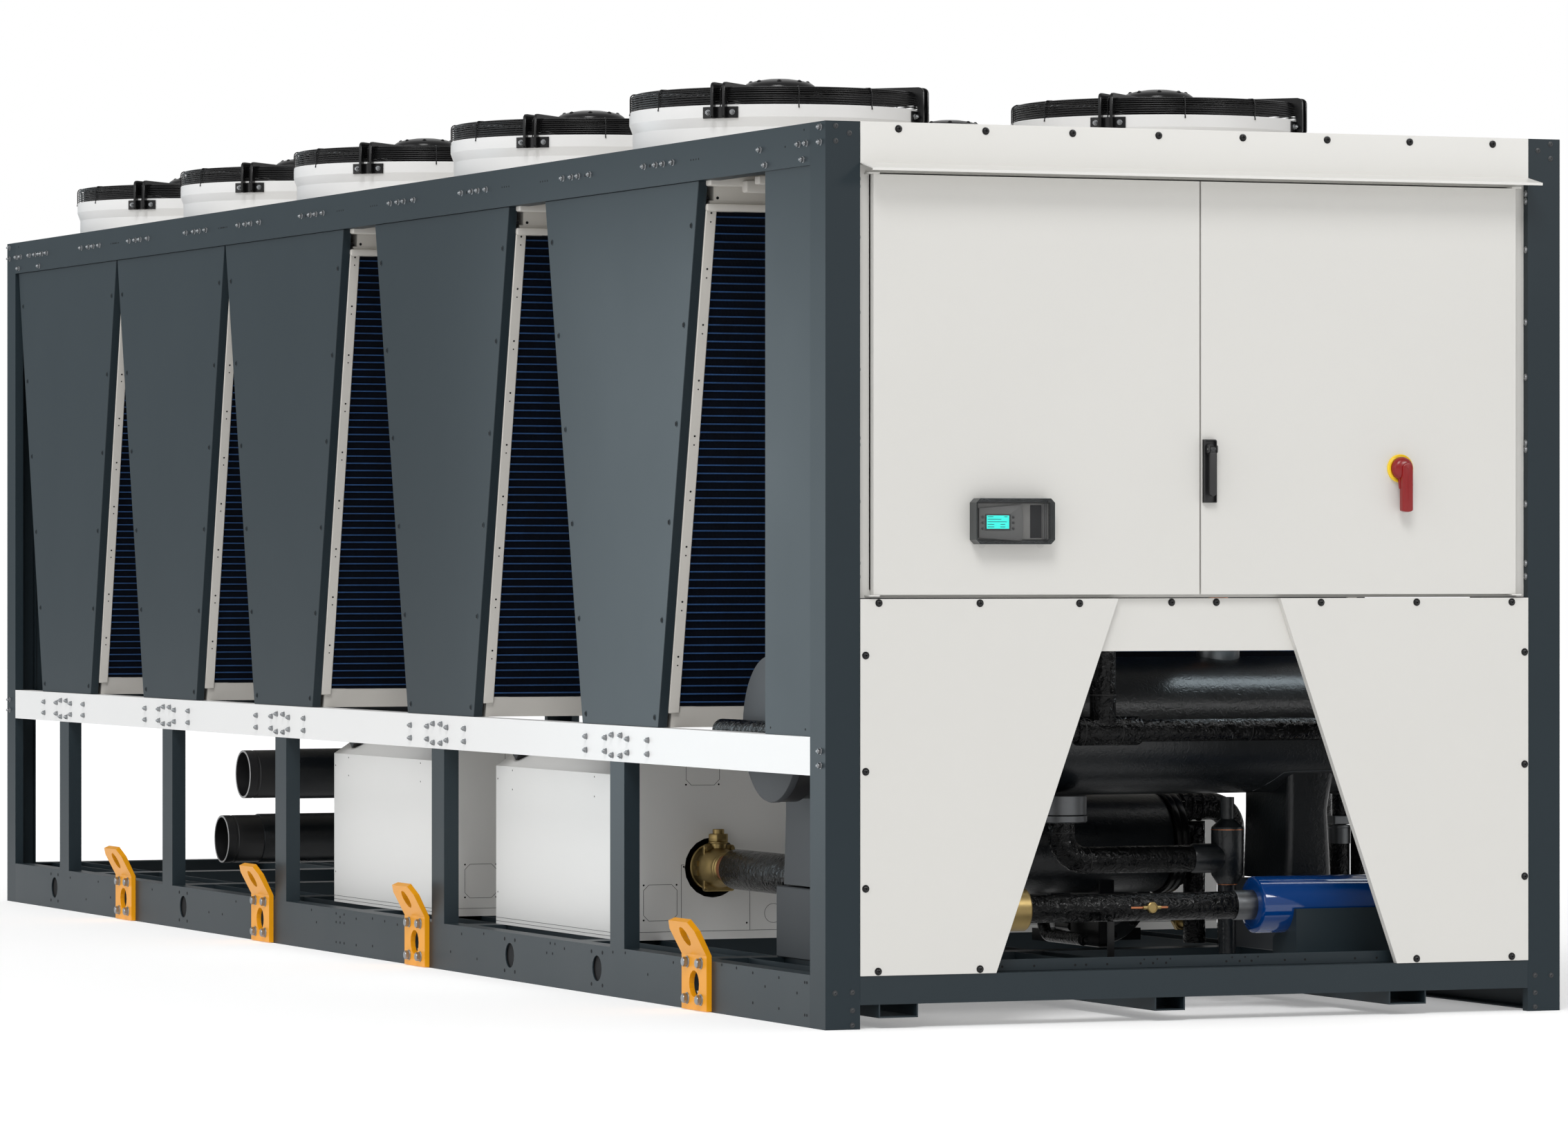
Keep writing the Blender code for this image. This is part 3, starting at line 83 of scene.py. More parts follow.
LEFT = low("top_rail_left").x
RIGHT = high("top_rail_right").x
FRONT = low("corner_post_front_left").y
REAR = high("corner_post_rear_left").y


def across(u):
    return LEFT + u


def along(v):
    return FRONT + v


MODULE_COUNT = 5
module_centres = []
for number in range(1, MODULE_COUNT + 1):
    module_centres.append((low(f"coil_module_{number}").y + high(f"coil_module_{number}").y) / 2)
print("coil modules at", [round(y - FRONT, 3) for y in module_centres], "m from the front")

# %% [markdown]
# ## Camera, light and floor
# A catalogue picture of a machine eight metres long is taken from far away with a long lens, so that the
# far end stays large. The camera stands level, a little over a metre high, to the left of the cabinet
# end. Nothing has to be tilted, so all the uprights stay upright in the picture.

# %% The camera
camera_data = bpy.data.cameras.new("camera")
camera_data.lens = 160.97
camera_data.sensor_width = 36
camera_data.clip_end = 200
camera = bpy.data.objects.new("camera", camera_data)
bpy.context.scene.collection.objects.link(camera)
camera.location = (-8.459, -21.389, 1.2595)
view_direction = Vector((0.3816, 0.9244, 0))
camera.rotation_euler = view_direction.to_track_quat("-Z", "Y").to_euler()
bpy.context.scene.camera = camera
print("camera", [round(c, 2) for c in camera.location], "lens", camera_data.lens)

# %% [markdown]
# Studio light for a white machine on white is mostly a bright room, which gives soft shade in the open
# bays. A broad key lamp from the upper left draws the lip's shadow on the doors, and a broader side lamp
# brings up the long side. A single hard lamp would leave the machinery black. The world is white for the
# camera and dimmer as a light, so that white paint keeps its shape against the background.

# %% The room
ROOM_LIGHT = 0.55

world = bpy.data.worlds.new("white_room")
bpy.context.scene.world = world
world.use_nodes = True
tree = world.node_tree
background = tree.nodes["Background"]
background.inputs["Color"].default_value = (1, 1, 1, 1)
light_path = tree.nodes.new("ShaderNodeLightPath")
strength = tree.nodes.new("ShaderNodeMapRange")
strength.inputs["To Min"].default_value = ROOM_LIGHT
strength.inputs["To Max"].default_value = 1.0
tree.links.new(light_path.outputs["Is Camera Ray"], strength.inputs["Value"])
tree.links.new(strength.outputs["Result"], background.inputs["Strength"])
print("room light", ROOM_LIGHT)

# %% The key lamp and the side lamp
KEY_LIGHT = 1.35
KEY_SPREAD = 24
KEY_DIRECTION = Vector((0.34, 0.6, -0.74))
SIDE_LIGHT = 0.58
SIDE_SPREAD = 50
SIDE_DIRECTION = Vector((1, 0.1, -0.35))


def broad_lamp(name, energy, spread, direction):
    lamp_data = bpy.data.lights.new(name, "SUN")
    lamp_data.energy = energy
    lamp_data.angle = math.radians(spread)
    lamp = bpy.data.objects.new(name, lamp_data)
    lamp.rotation_euler = direction.to_track_quat("-Z", "Y").to_euler()
    bpy.context.scene.collection.objects.link(lamp)


broad_lamp("key_lamp", KEY_LIGHT, KEY_SPREAD, KEY_DIRECTION)
broad_lamp("side_lamp", SIDE_LIGHT, SIDE_SPREAD, SIDE_DIRECTION)
print("key lamp", KEY_LIGHT, "side lamp", SIDE_LIGHT)

# %% A white floor
FLOOR_SIZE = 120
floor_mesh = bpy.data.meshes.new("floor")
half = FLOOR_SIZE / 2
floor_mesh.from_pydata(
    [(-half, -half, 0), (half, -half, 0), (half, half, 0), (-half, half, 0)], [], [(0, 1, 2, 3)]
)
floor = bpy.data.objects.new("floor", floor_mesh)
bpy.context.scene.collection.objects.link(floor)
floor_paint = bpy.data.materials.new("floor_white")
floor_paint.use_nodes = True
floor_shader = floor_paint.node_tree.nodes["Principled BSDF"]
floor_shader.inputs["Base Color"].default_value = (0.9, 0.9, 0.9, 1)
floor_shader.inputs["Roughness"].default_value = 1.0
floor_shader.inputs["Specular IOR Level"].default_value = 0.0
floor_shader.inputs["Emission Color"].default_value = (1, 1, 1, 1)
floor_shader.inputs["Emission Strength"].default_value = 0.25
floor_mesh.materials.append(floor_paint)
floor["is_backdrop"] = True
bpy.context.scene.view_settings.view_transform = "Standard"
print("floor", FLOOR_SIZE, "m square")

# %% [markdown]
# Dark glossy paint has hardly any colour of its own from the side. It takes the colour of what it
# mirrors. A studio puts cards there: here a large dim blue-grey one past the far end for the long side, a
# brighter low one near it, one in front that gives the creased foam its glints, and two strips over the
# vessel and the lines for their long glints. Only reflections see the cards, so they can stand anywhere.

# %% Cards for the reflections
def card(name, centre, toward, width, height, colour, strength):
    turn = Vector(toward).to_track_quat("Z", "Y").to_matrix().to_4x4()
    place = Matrix.Translation(centre) @ turn
    corners = [
        (-width / 2, -height / 2), (width / 2, -height / 2), (width / 2, height / 2),
        (-width / 2, height / 2)
    ]
    mesh = bpy.data.meshes.new(name)
    mesh.from_pydata([place @ Vector((a, b, 0)) for a, b in corners], [], [(0, 1, 2, 3)])
    glow = bpy.data.materials.new(name)
    glow.use_nodes = True
    shader = glow.node_tree.nodes["Principled BSDF"]
    shader.inputs["Base Color"].default_value = (0, 0, 0, 1)
    shader.inputs["Specular IOR Level"].default_value = 0.0
    shader.inputs["Emission Color"].default_value = (*colour, 1)
    shader.inputs["Emission Strength"].default_value = strength
    mesh.materials.append(glow)
    piece = bpy.data.objects.new(name, mesh)
    bpy.context.scene.collection.objects.link(piece)
    for kind in ("camera", "diffuse", "transmission", "volume_scatter", "shadow"):
        setattr(piece, "visible_" + kind, False)
    piece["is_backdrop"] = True


COOL = (0.8, 0.93, 1.0)
card("far_side_card", (-6.5, 12.9, 3.5), (0.38, -0.92, 0), 16, 7, COOL, 0.45)
card("near_side_card", (-2.6, -0.4, 1.3), (0.38, -0.92, 0), 1.5, 2.2, COOL, 2.15)
card("front_card", (3.0, -8.8, 4.4), (-0.38, 0.75, -0.55), 2.5, 1.2, (1, 1, 1), 14)
card("vessel_card", (0.75, -3.33, 1.02), (0, 0, -1), 1.0, 0.05, COOL, 6)
card("line_card", (0.6, -3.55, 1.0), (0, 0, -1), 1.6, 0.03, (1, 1, 1), 7)

# %% [markdown]
# ## Effects for the finishes
# Every painted sheet here has the same powder coat, only in another colour, and the black lines share one
# crinkled foam wrap. Copying nodes into each material would hide that. Each effect is a node group
# instead, with named inputs, built once and placed in a material with its own values. A group only works
# out colours, masks and heights. The shader stays in the material.

# %% Make a node group and wire its nodes
FINISH_OUTPUTS = (("Colour", "Color"), ("Roughness", "Float"), ("Height", "Float"))


def start_group(name, inputs, outputs=FINISH_OUTPUTS):
    """Start an effect group: inputs are (label, kind, value), outputs are (label, kind)."""
    group = bpy.data.node_groups.new(name, "ShaderNodeTree")
    for label, kind, value in inputs:
        socket = group.interface.new_socket(label, in_out="INPUT", socket_type="NodeSocket" + kind)
        socket.default_value = value
    for label, kind in outputs:
        group.interface.new_socket(label, in_out="OUTPUT", socket_type="NodeSocket" + kind)
    return group, group.nodes.new("NodeGroupInput").outputs, group.nodes.new("NodeGroupOutput").inputs


def feed(tree, socket, value):
    """Give a socket a value, or wire it to another node's output."""
    if isinstance(value, bpy.types.NodeSocket):
        tree.links.new(value, socket)
    else:
        socket.default_value = value


def calculate(tree, operation, *values):
    node = tree.nodes.new("ShaderNodeMath")
    node.operation = operation
    for socket, value in zip(node.inputs, values):
        feed(tree, socket, value)
    return node.outputs[0]


def scale_colour(tree, colour, factor):
    node = tree.nodes.new("ShaderNodeVectorMath")
    node.operation = "SCALE"
    feed(tree, node.inputs[0], colour)
    feed(tree, node.inputs["Scale"], factor)
    return node.outputs[0]


print("node helpers ready")

# %% Noise, and a finish that varies with it
def object_place(tree):
    return tree.nodes.new("ShaderNodeTexCoord").outputs["Object"]


def one_over(tree, size):
    """One divided by a number, or by what a socket gives."""
    if isinstance(size, bpy.types.NodeSocket):
        return calculate(tree, "DIVIDE", 1.0, size)
    return 1 / size


def noise(tree, size, detail=2.0, distortion=0.0, place=None):
    """Noise whose patches are about this many metres across."""
    node = tree.nodes.new("ShaderNodeTexNoise")
    tree.links.new(place or object_place(tree), node.inputs["Vector"])
    feed(tree, node.inputs["Scale"], one_over(tree, size))
    node.inputs["Detail"].default_value = detail
    node.inputs["Distortion"].default_value = distortion
    return node.outputs["Fac"]


def vary(tree, given, result, pattern, shade_by, shade_from, gloss_by):
    """Let a pattern shift the shade of the colour and the roughness."""
    shade = calculate(tree, "MULTIPLY_ADD", pattern, shade_by, shade_from)
    feed(tree, result["Colour"], scale_colour(tree, given["Colour"], shade))
    feed(tree, result["Roughness"], calculate(tree, "MULTIPLY_ADD", pattern, gloss_by, given["Roughness"]))


print("finish outputs:", [label for label, kind in FINISH_OUTPUTS])

# %% [markdown]
# Powder coat is dry paint melted onto the sheet. Close up it has a fine orange-peel grain, and over a
# metre its shade drifts a little where the coat is thicker. Two noises give both: a coarse one for shade
# and gloss, and one of a millimetre for the relief.

# %% Powder coat
GRAIN_SIZE = 0.0012
DRIFT_SIZE = 0.55

powder_coat, given, result = start_group(
    "powder_coat",
    [("Colour", "Color", (0.5, 0.5, 0.5, 1)), ("Drift", "Float", 0.04), ("Gloss Spread", "Float", 0.1),
     ("Roughness", "Float", 0.45)],
)
drift = calculate(powder_coat, "SUBTRACT", noise(powder_coat, DRIFT_SIZE, 4), 0.5)
shade = calculate(powder_coat, "MULTIPLY_ADD", drift, given["Drift"], 1.0)
grain = noise(powder_coat, GRAIN_SIZE)
speckle = calculate(powder_coat, "MULTIPLY_ADD", grain, 0.06, 0.97)
shade = calculate(powder_coat, "MULTIPLY", shade, speckle)
feed(powder_coat, result["Colour"], scale_colour(powder_coat, given["Colour"], shade))
gloss = calculate(powder_coat, "MULTIPLY_ADD", drift, given["Gloss Spread"], given["Roughness"])
feed(powder_coat, result["Roughness"], gloss)
feed(powder_coat, result["Height"], grain)
print("powder_coat has", len(powder_coat.nodes), "nodes")

# %% [markdown]
# The lines and the vessel are wrapped in black elastomeric foam. Its skin is glossy and crinkles where it
# is pulled round a pipe, in short creases that catch the light. A distorted noise makes creases without a
# direction, which also holds on the bends.

# %% Foam wrap
foam_wrap, given, result = start_group(
    "foam_wrap",
    [
        ("Colour", "Color", (0.01, 0.01, 0.01, 1)), ("Crease Size", "Float", 0.012),
        ("Roughness", "Float", 0.3)
    ],
)
creases = noise(foam_wrap, given["Crease Size"], 3, 1.4)
worn = noise(foam_wrap, 0.15, 3)
vary(foam_wrap, given, result, worn, 0.8, 0.6, 0.16)
feed(foam_wrap, result["Height"], creases)
print("foam_wrap has", len(foam_wrap.nodes), "nodes")

# %% [markdown]
# Bolts are zinc plated, the valves are brass castings and the rings by the valves are copper. All three
# are bare metal that dulls in blotches, so one effect serves them: blotches that shift the shade and the
# roughness.

# %% Bare metal
bare_metal, given, result = start_group(
    "bare_metal",
    [("Colour", "Color", (0.6, 0.6, 0.6, 1)), ("Blotch Size", "Float", 0.02), ("Roughness", "Float", 0.3)],
)
vary(bare_metal, given, result, noise(bare_metal, given["Blotch Size"], 4), 0.35, 0.82, 0.25)
feed(bare_metal, result["Height"], noise(bare_metal, 0.0018, 3))
print("bare_metal has", len(bare_metal.nodes), "nodes")

# %% [markdown]
# Moulded plastic has no drift, only the even fine texture that was etched into its mould.

# %% Moulded plastic
moulded, given, result = start_group(
    "moulded_plastic",
    [("Colour", "Color", (0.1, 0.1, 0.1, 1)), ("Texture Size", "Float", 0.0008), ("Roughness", "Float", 0.4)],
)
etch = noise(moulded, given["Texture Size"])
vary(moulded, given, result, etch, 0.16, 0.92, 0.1)
feed(moulded, result["Height"], etch)
print("moulded_plastic has", len(moulded.nodes), "nodes")

# %% [markdown]
# A coil is a pack of thin upright fins pushed onto rows of flat tubes. Two hundred fins on each of ten
# faces would be a heavy mesh for something that reads as a fine dark grille. The fins are a stripe
# pattern across the unit, with dark gaps of painted shade between bright edges, and only the tubes get
# real shapes.

# %% Fin pack
FIN_PITCH = 0.0052

fin_pack, given, result = start_group(
    "fin_pack",
    # The gap colour is painted shade: the dark that the narrow gaps between the fins would hold.
    [("Gap Colour", "Color", (0.002, 0.003, 0.006, 1)), ("Fin Colour", "Color", (0.01, 0.02, 0.05, 1)),
     ("Roughness", "Float", 0.35)],
)
split = fin_pack.nodes.new("ShaderNodeSeparateXYZ")
fin_pack.links.new(object_place(fin_pack), split.inputs[0])
turns = calculate(fin_pack, "MULTIPLY", split.outputs["X"], 2 * math.pi / FIN_PITCH)
ridge = calculate(fin_pack, "POWER", calculate(fin_pack, "ABSOLUTE", calculate(fin_pack, "SINE", turns)), 3.0)
uneven = noise(fin_pack, 0.06, 3)
edge = calculate(fin_pack, "MULTIPLY", ridge, uneven)
fins = fin_pack.nodes.new("ShaderNodeMix")
fins.data_type = "RGBA"
feed(fin_pack, fins.inputs[0], edge)
feed(fin_pack, fins.inputs[6], given["Gap Colour"])
feed(fin_pack, fins.inputs[7], given["Fin Colour"])
feed(fin_pack, result["Colour"], fins.outputs[2])
feed(fin_pack, result["Roughness"], calculate(fin_pack, "MULTIPLY_ADD", uneven, 0.3, given["Roughness"]))
feed(fin_pack, result["Height"], ridge)
print("effects:", [group.name for group in bpy.data.node_groups])

# %% [markdown]
# Some solids are one body on the machine but carry two finishes, such as the anthracite bottom rail with
# its yellow lugs. Their mesh may not be changed, so the second finish is chosen by place: a mask that is
# one inside a box and nothing outside it.

# %% A mask for the part of a solid inside a box
inside_box, given, result = start_group(
    "inside_box",
    [("Low Corner", "Vector", (0, 0, 0)), ("High Corner", "Vector", (1, 1, 1))],
    [("Mask", "Float")],
)
parts = []
for source in (object_place(inside_box), given["Low Corner"], given["High Corner"]):
    split = inside_box.nodes.new("ShaderNodeSeparateXYZ")
    inside_box.links.new(source, split.inputs[0])
    parts.append(split.outputs)
mask = 1.0
for axis in range(3):
    above = calculate(inside_box, "GREATER_THAN", parts[0][axis], parts[1][axis])
    below = calculate(inside_box, "LESS_THAN", parts[0][axis], parts[2][axis])
    mask = calculate(inside_box, "MULTIPLY", mask, calculate(inside_box, "MULTIPLY", above, below))
feed(inside_box, result["Mask"], mask)
print("inside_box has", len(inside_box.nodes), "nodes")

# %% [markdown]
# ## The finishes
# A finish is an effect with its values, the depth of its relief and the shader's own constants. It is
# written once as a recipe, because a material with two finishes places two of them and mixes what they
# give.

# %% What a recipe holds
def recipe(effect, relief, metallic=0.0, **values):
    labelled = {label.replace("_", " "): value for label, value in values.items()}
    return {"effect": effect, "relief": relief, "metallic": metallic, "values": labelled}


def mix(tree, kind, mask, first, second):
    node = tree.nodes.new("ShaderNodeMix")
    node.data_type = kind
    first_socket, output = {"FLOAT": (2, 0), "RGBA": (6, 2)}[kind]
    feed(tree, node.inputs[0], mask)
    feed(tree, node.inputs[first_socket], first)
    feed(tree, node.inputs[first_socket + 1], second)
    return node.outputs[output]


print("recipe and mix ready")

# %% Turn a recipe into a material
def make_material(name, base, regions=(), **constants):
    """A material from a recipe, with other recipes inside boxes given as (low, high, recipe)."""
    material = bpy.data.materials.new(name)
    material.use_nodes = True
    tree = material.node_tree
    shader = tree.nodes["Principled BSDF"]

    def placed(finish):
        node = tree.nodes.new("ShaderNodeGroup")
        node.node_tree = finish["effect"]
        for label, value in finish["values"].items():
            node.inputs[label].default_value = value
        height = calculate(tree, "MULTIPLY", node.outputs["Height"], finish["relief"])
        return node.outputs["Colour"], node.outputs["Roughness"], height, finish["metallic"]

    colour, roughness, height, metallic = placed(base)
    for low_corner, high_corner, finish in regions:
        area = tree.nodes.new("ShaderNodeGroup")
        area.node_tree = inside_box
        area.inputs["Low Corner"].default_value = low_corner
        area.inputs["High Corner"].default_value = high_corner
        mask = area.outputs["Mask"]
        other = placed(finish)
        colour = mix(tree, "RGBA", mask, colour, other[0])
        roughness = mix(tree, "FLOAT", mask, roughness, other[1])
        height = mix(tree, "FLOAT", mask, height, other[2])
        if other[3] != metallic:
            metallic = mix(tree, "FLOAT", mask, metallic, other[3])
    bump = tree.nodes.new("ShaderNodeBump")
    bump.inputs["Distance"].default_value = 1.0
    feed(tree, bump.inputs["Height"], height)
    feed(tree, shader.inputs["Base Color"], colour)
    feed(tree, shader.inputs["Roughness"], roughness)
    feed(tree, shader.inputs["Metallic"], metallic)
    feed(tree, shader.inputs["Normal"], bump.outputs["Normal"])
    for label, value in constants.items():
        shader.inputs[label.replace("_", " ")].default_value = value
    return material


print("make_material ready")

# %% Recipes for paint
def paint(red, green, blue):
    return (red, green, blue, 1)


anthracite = recipe(powder_coat, 0.00005, Colour=paint(0.0165, 0.0262, 0.0325), Drift=0.12, Roughness=0.42)
signal_yellow = recipe(powder_coat, 0.00005, Colour=paint(0.82, 0.34, 0.004), Drift=0.05, Roughness=0.34)
cream = recipe(powder_coat, 0.00005, Colour=paint(0.66, 0.65, 0.62), Drift=0.03, Roughness=0.42)
bright_cream = recipe(powder_coat, 0.00004, Colour=paint(0.74, 0.73, 0.7), Drift=0.02, Roughness=0.4)
satin_white = recipe(powder_coat, 0.00003, Colour=paint(0.81, 0.81, 0.805), Drift=0.02, Roughness=0.38)
enclosure_paint = recipe(powder_coat, 0.00004, Colour=paint(0.8, 0.8, 0.785), Drift=0.03, Roughness=0.42)
greige = recipe(powder_coat, 0.00003, Colour=paint(0.66, 0.635, 0.59), Drift=0.04, Roughness=0.4)
black_coat = recipe(powder_coat, 0.00003, Colour=paint(0.004, 0.004, 0.0045), Drift=0.1, Roughness=0.22)
print("frame paint", anthracite["values"]["Colour"][:3])

# %% Recipes for foam, metal, plastic and fins
foam = recipe(foam_wrap, 0.007, Colour=paint(0.002, 0.0022, 0.0025), Crease_Size=0.024, Roughness=0.06)
smooth_foam = recipe(foam_wrap, 0.001, Colour=paint(0.006, 0.008, 0.01), Crease_Size=0.014, Roughness=0.22)
grey_foam = recipe(powder_coat, 0.0001, Colour=paint(0.045, 0.05, 0.056), Drift=0.1, Roughness=0.6)
zinc = recipe(bare_metal, 0.00002, 1.0, Colour=paint(0.33, 0.34, 0.35), Roughness=0.28)
brass = recipe(bare_metal, 0.0001, 1.0, Colour=paint(0.34, 0.25, 0.105), Blotch_Size=0.04, Roughness=0.3)
copper = recipe(bare_metal, 0.00003, 1.0, Colour=paint(0.5, 0.2, 0.1), Roughness=0.3)
dull_steel = recipe(bare_metal, 0.00003, 1.0, Colour=paint(0.13, 0.135, 0.14), Roughness=0.3)
blue_enamel = recipe(powder_coat, 0.00001, Colour=paint(0.0002, 0.04, 0.19), Drift=0.05, Roughness=0.1)
black_plastic = recipe(moulded, 0.00004, Colour=paint(0.014, 0.014, 0.015), Roughness=0.38)
red_plastic = recipe(moulded, 0.00002, Colour=paint(0.24, 0.001, 0.002), Roughness=0.24)
yellow_plastic = recipe(moulded, 0.00002, Colour=paint(0.9, 0.62, 0.01), Roughness=0.3)
# In both fin recipes the gap colour is painted shade between the fins.
coil_fins = recipe(
    fin_pack, 0.0015, Gap_Colour=paint(0.0004, 0.001, 0.003), Fin_Colour=paint(0.003, 0.011, 0.034),
    Roughness=0.55
)
tube_blue = recipe(
    fin_pack, 0.0002, Gap_Colour=paint(0.008, 0.03, 0.09), Fin_Colour=paint(0.05, 0.17, 0.44),
    Roughness=0.45
)
print("foam", foam["values"]["Colour"][:3])

# %% Materials from the recipes
ANTHRACITE = make_material("anthracite_powder_coat", anthracite, Specular_IOR_Level=0.3)
POST_PAINT = make_material("matt_anthracite_powder_coat", anthracite, Specular_IOR_Level=0.22)
CREAM = make_material("cream_powder_coat", cream)
BRIGHT_CREAM = make_material("bright_cream_powder_coat", bright_cream)
WHITE = make_material(
    "satin_white_paint", satin_white, Specular_IOR_Level=0.35, Coat_Weight=0.1, Coat_Roughness=0.15
)
ENCLOSURE = make_material("light_grey_sheet_paint", enclosure_paint)
GREIGE = make_material("greige_sheet_paint", greige)
BLACK_COAT = make_material("black_coated_steel", black_coat, Specular_IOR_Level=0.35)
YELLOW = make_material("yellow_plastic", yellow_plastic)
FOAM = make_material("crinkled_foam_wrap", foam, Specular_IOR_Level=0.2)
SMOOTH_FOAM = make_material("smooth_foam_skin", smooth_foam)
GREY_FOAM = make_material("grey_foam_board", grey_foam)
ZINC = make_material("zinc_plated_steel", zinc)
BRASS = make_material("cast_brass", brass)
COPPER = make_material("copper_ring", copper)
DULL_STEEL = make_material("dull_steel", dull_steel)
BLUE = make_material("blue_enamel", blue_enamel, Specular_IOR_Level=0.3, Coat_Weight=0.8, Coat_Roughness=0.02)
BLACK_PLASTIC = make_material("black_plastic", black_plastic)
RED_PLASTIC = make_material("red_plastic", red_plastic)
COIL_FINS = make_material("coil_fin_pack", coil_fins, Specular_IOR_Level=0.1)
TUBE_BLUE = make_material("coated_tube_edge", tube_blue, Specular_IOR_Level=0.3)
print(len(bpy.data.materials), "materials so far")

# %% [markdown]
# The lugs stand outside the web of the bottom rail, so a box just outside it holds them and nothing else.
# The door's lock plate and the switch's disc stand in front of the door skin in the same way.

# %% Solids with two finishes
REACH = 10.0
SKIN = 0.0005
door_face = low("door_left").y
lock_low = Vector((across(1.127), -REACH, low("handle_lever").z - 0.05))
lock_high = Vector((across(1.167), door_face - SKIN, high("handle_lever").z + 0.05))
bezel_low = Vector((low("switch_handle").x - 0.02, -REACH, 0))
bezel_high = Vector((high("switch_handle").x + 0.02, door_face - SKIN, REACH))

LEFT_RAIL = make_material(
    "left_rail_and_lugs",
    anthracite,
    [((-REACH, -REACH, 0), (LEFT - SKIN, REACH, REACH), signal_yellow)],
    Specular_IOR_Level=0.3,
)
RIGHT_RAIL = make_material(
    "right_rail_and_lugs",
    anthracite,
    [((RIGHT + SKIN, -REACH, 0), (REACH, REACH, REACH), signal_yellow)],
    Specular_IOR_Level=0.3,
)
RIGHT_DOOR = make_material(
    "door_with_lock_plate",
    cream,
    [(lock_low, lock_high, black_plastic), (bezel_low, bezel_high, yellow_plastic)],
)
print("two finishes in", LEFT_RAIL.name, RIGHT_RAIL.name, RIGHT_DOOR.name)

# %% Give every solid its finish
finish_of = {
    POST_PAINT: ["corner_post"],
    ANTHRACITE: ["base_frame", "rear_frame", "top_rail", "closing_panel", "v_panel"],
    LEFT_RAIL: ["side_frame_left"],
    RIGHT_RAIL: ["side_frame_right"],
    WHITE: ["mid_rail", "fan_"],
    GREIGE: ["coil_module", "fan_deck"],
    CREAM: ["cabinet_shell", "door_left", "apron"],
    ENCLOSURE: ["compressor_enclosure"],
    BRIGHT_CREAM: ["fascia"],
    RIGHT_DOOR: ["door_right"],
    BLACK_PLASTIC: ["handle", "display_unit"],
    RED_PLASTIC: ["switch_handle"],
    SMOOTH_FOAM: ["refrigerant_vessel", "oil_separator", "evaporator"],
    FOAM: ["header_line", "suction_line", "liquid_line"],
    BLUE: ["filter_drier"],
}
for material, starts in finish_of.items():
    for name, node in nodes.items():
        if name.startswith(tuple(starts)) and not (material is WHITE and name == "fan_deck"):
            node.data.materials.clear()
            node.data.materials.append(material)
bare = [name for name, node in nodes.items() if not node.data.materials[0].name.islower()]
print("solids dressed:", len(nodes), "left bare:", bare)

# %% [markdown]
# ## Shapes made from points
# Small hardware repeats hundreds of times, so it is made as plain lists of points and faces that can be
# copied, turned and joined cheaply, and become one mesh at the end. Three ways of making them cover
# nearly everything: turning a section about an axis, pushing an outline through, and sweeping a round
# section along a route.

# %% Turn a section
def lathe(section, segments=32, closed=False):
    """Turn a section of (radius, height) points about Z."""
    points, rings, faces = [], [], []
    for radius, height in section:
        if radius < 1e-7:
            rings.append([len(points)] * segments)
            points.append(Vector((0, 0, height)))
        else:
            rings.append(range(len(points), len(points) + segments))
            for i in range(segments):
                turn = 2 * math.pi * i / segments
                points.append(Vector((radius * math.cos(turn), radius * math.sin(turn), height)))
    pairs = list(zip(rings, rings[1:])) + ([(rings[-1], rings[0])] if closed else [])
    for lower, upper in pairs:
        for i in range(segments):
            j = (i + 1) % segments
            face = list(dict.fromkeys((lower[i], lower[j], upper[j], upper[i])))
            if len(face) > 2:
                faces.append(face)
    return points, faces


print("one line turned gives", len(lathe([(1, 0), (1, 1)])[1]), "faces")

# %% Push an outline through
def push(outline, axis, start, end):
    """Push a flat outline through along an axis; its points are in the order of the other two axes."""
    order = {"X": (2, 0, 1), "Y": (0, 2, 1), "Z": (0, 1, 2)}[axis]
    count = len(outline)
    points = []
    for level in (start, end):
        for a, b in outline:
            values = (a, b, level)
            points.append(Vector([values[i] for i in order]))
    faces = [list(range(count))[::-1], list(range(count, 2 * count))]
    for i in range(count):
        j = (i + 1) % count
        faces.append([i, j, count + j, count + i])
    return points, faces


def block(low_corner, high_corner):
    (x0, y0, z0), (x1, y1, z1) = low_corner, high_corner
    return push([(x0, y0), (x1, y0), (x1, y1), (x0, y1)], "Z", z0, z1)


print("a block has", len(block((0, 0, 0), (1, 1, 1))[1]), "faces")

# %% Sweep along a route
def sweep(route, radius, sides=8, loop=False):
    """Sweep a round section along a route without twisting it."""
    route = [Vector(point) for point in route]
    count = len(route)
    points, faces = [], []
    side = None
    for i, point in enumerate(route):
        before = route[i - 1] if i or loop else point
        after = route[(i + 1) % count] if i < count - 1 or loop else point
        ahead = (after - before).normalized()
        if side is None:
            side = Vector((0, 0, 1)) if abs(ahead.z) < 0.9 else Vector((1, 0, 0))
        side = (side - ahead * side.dot(ahead)).normalized()
        up = ahead.cross(side)
        for j in range(sides):
            turn = 2 * math.pi * j / sides
            points.append(point + (side * math.cos(turn) + up * math.sin(turn)) * radius)
    for i in range(count if loop else count - 1):
        for j in range(sides):
            k = (j + 1) % sides
            a, b = i * sides, (i + 1) % count * sides
            faces.append([a + j, a + k, b + k, b + j])
    if not loop:
        faces += [list(range(sides))[::-1], list(range((count - 1) * sides, count * sides))]
    return points, faces


print("a straight sweep has", len(sweep([(0, 0, 0), (0, 0, 1)], 1)[1]), "faces")

# %% Move, join and mirror shapes
def moved(shape, matrix):
    return [matrix @ point for point in shape[0]], shape[1]


def joined(shapes):
    points, faces = [], []
    for more_points, more_faces in shapes:
        start = len(points)
        points += more_points
        faces += [[i + start for i in face] for face in more_faces]
    return points, faces


def mirrored(shape):
    """The same shape on the other side of the unit."""
    return [Vector((-point.x, point.y, point.z)) for point in shape[0]], [face[::-1] for face in shape[1]]


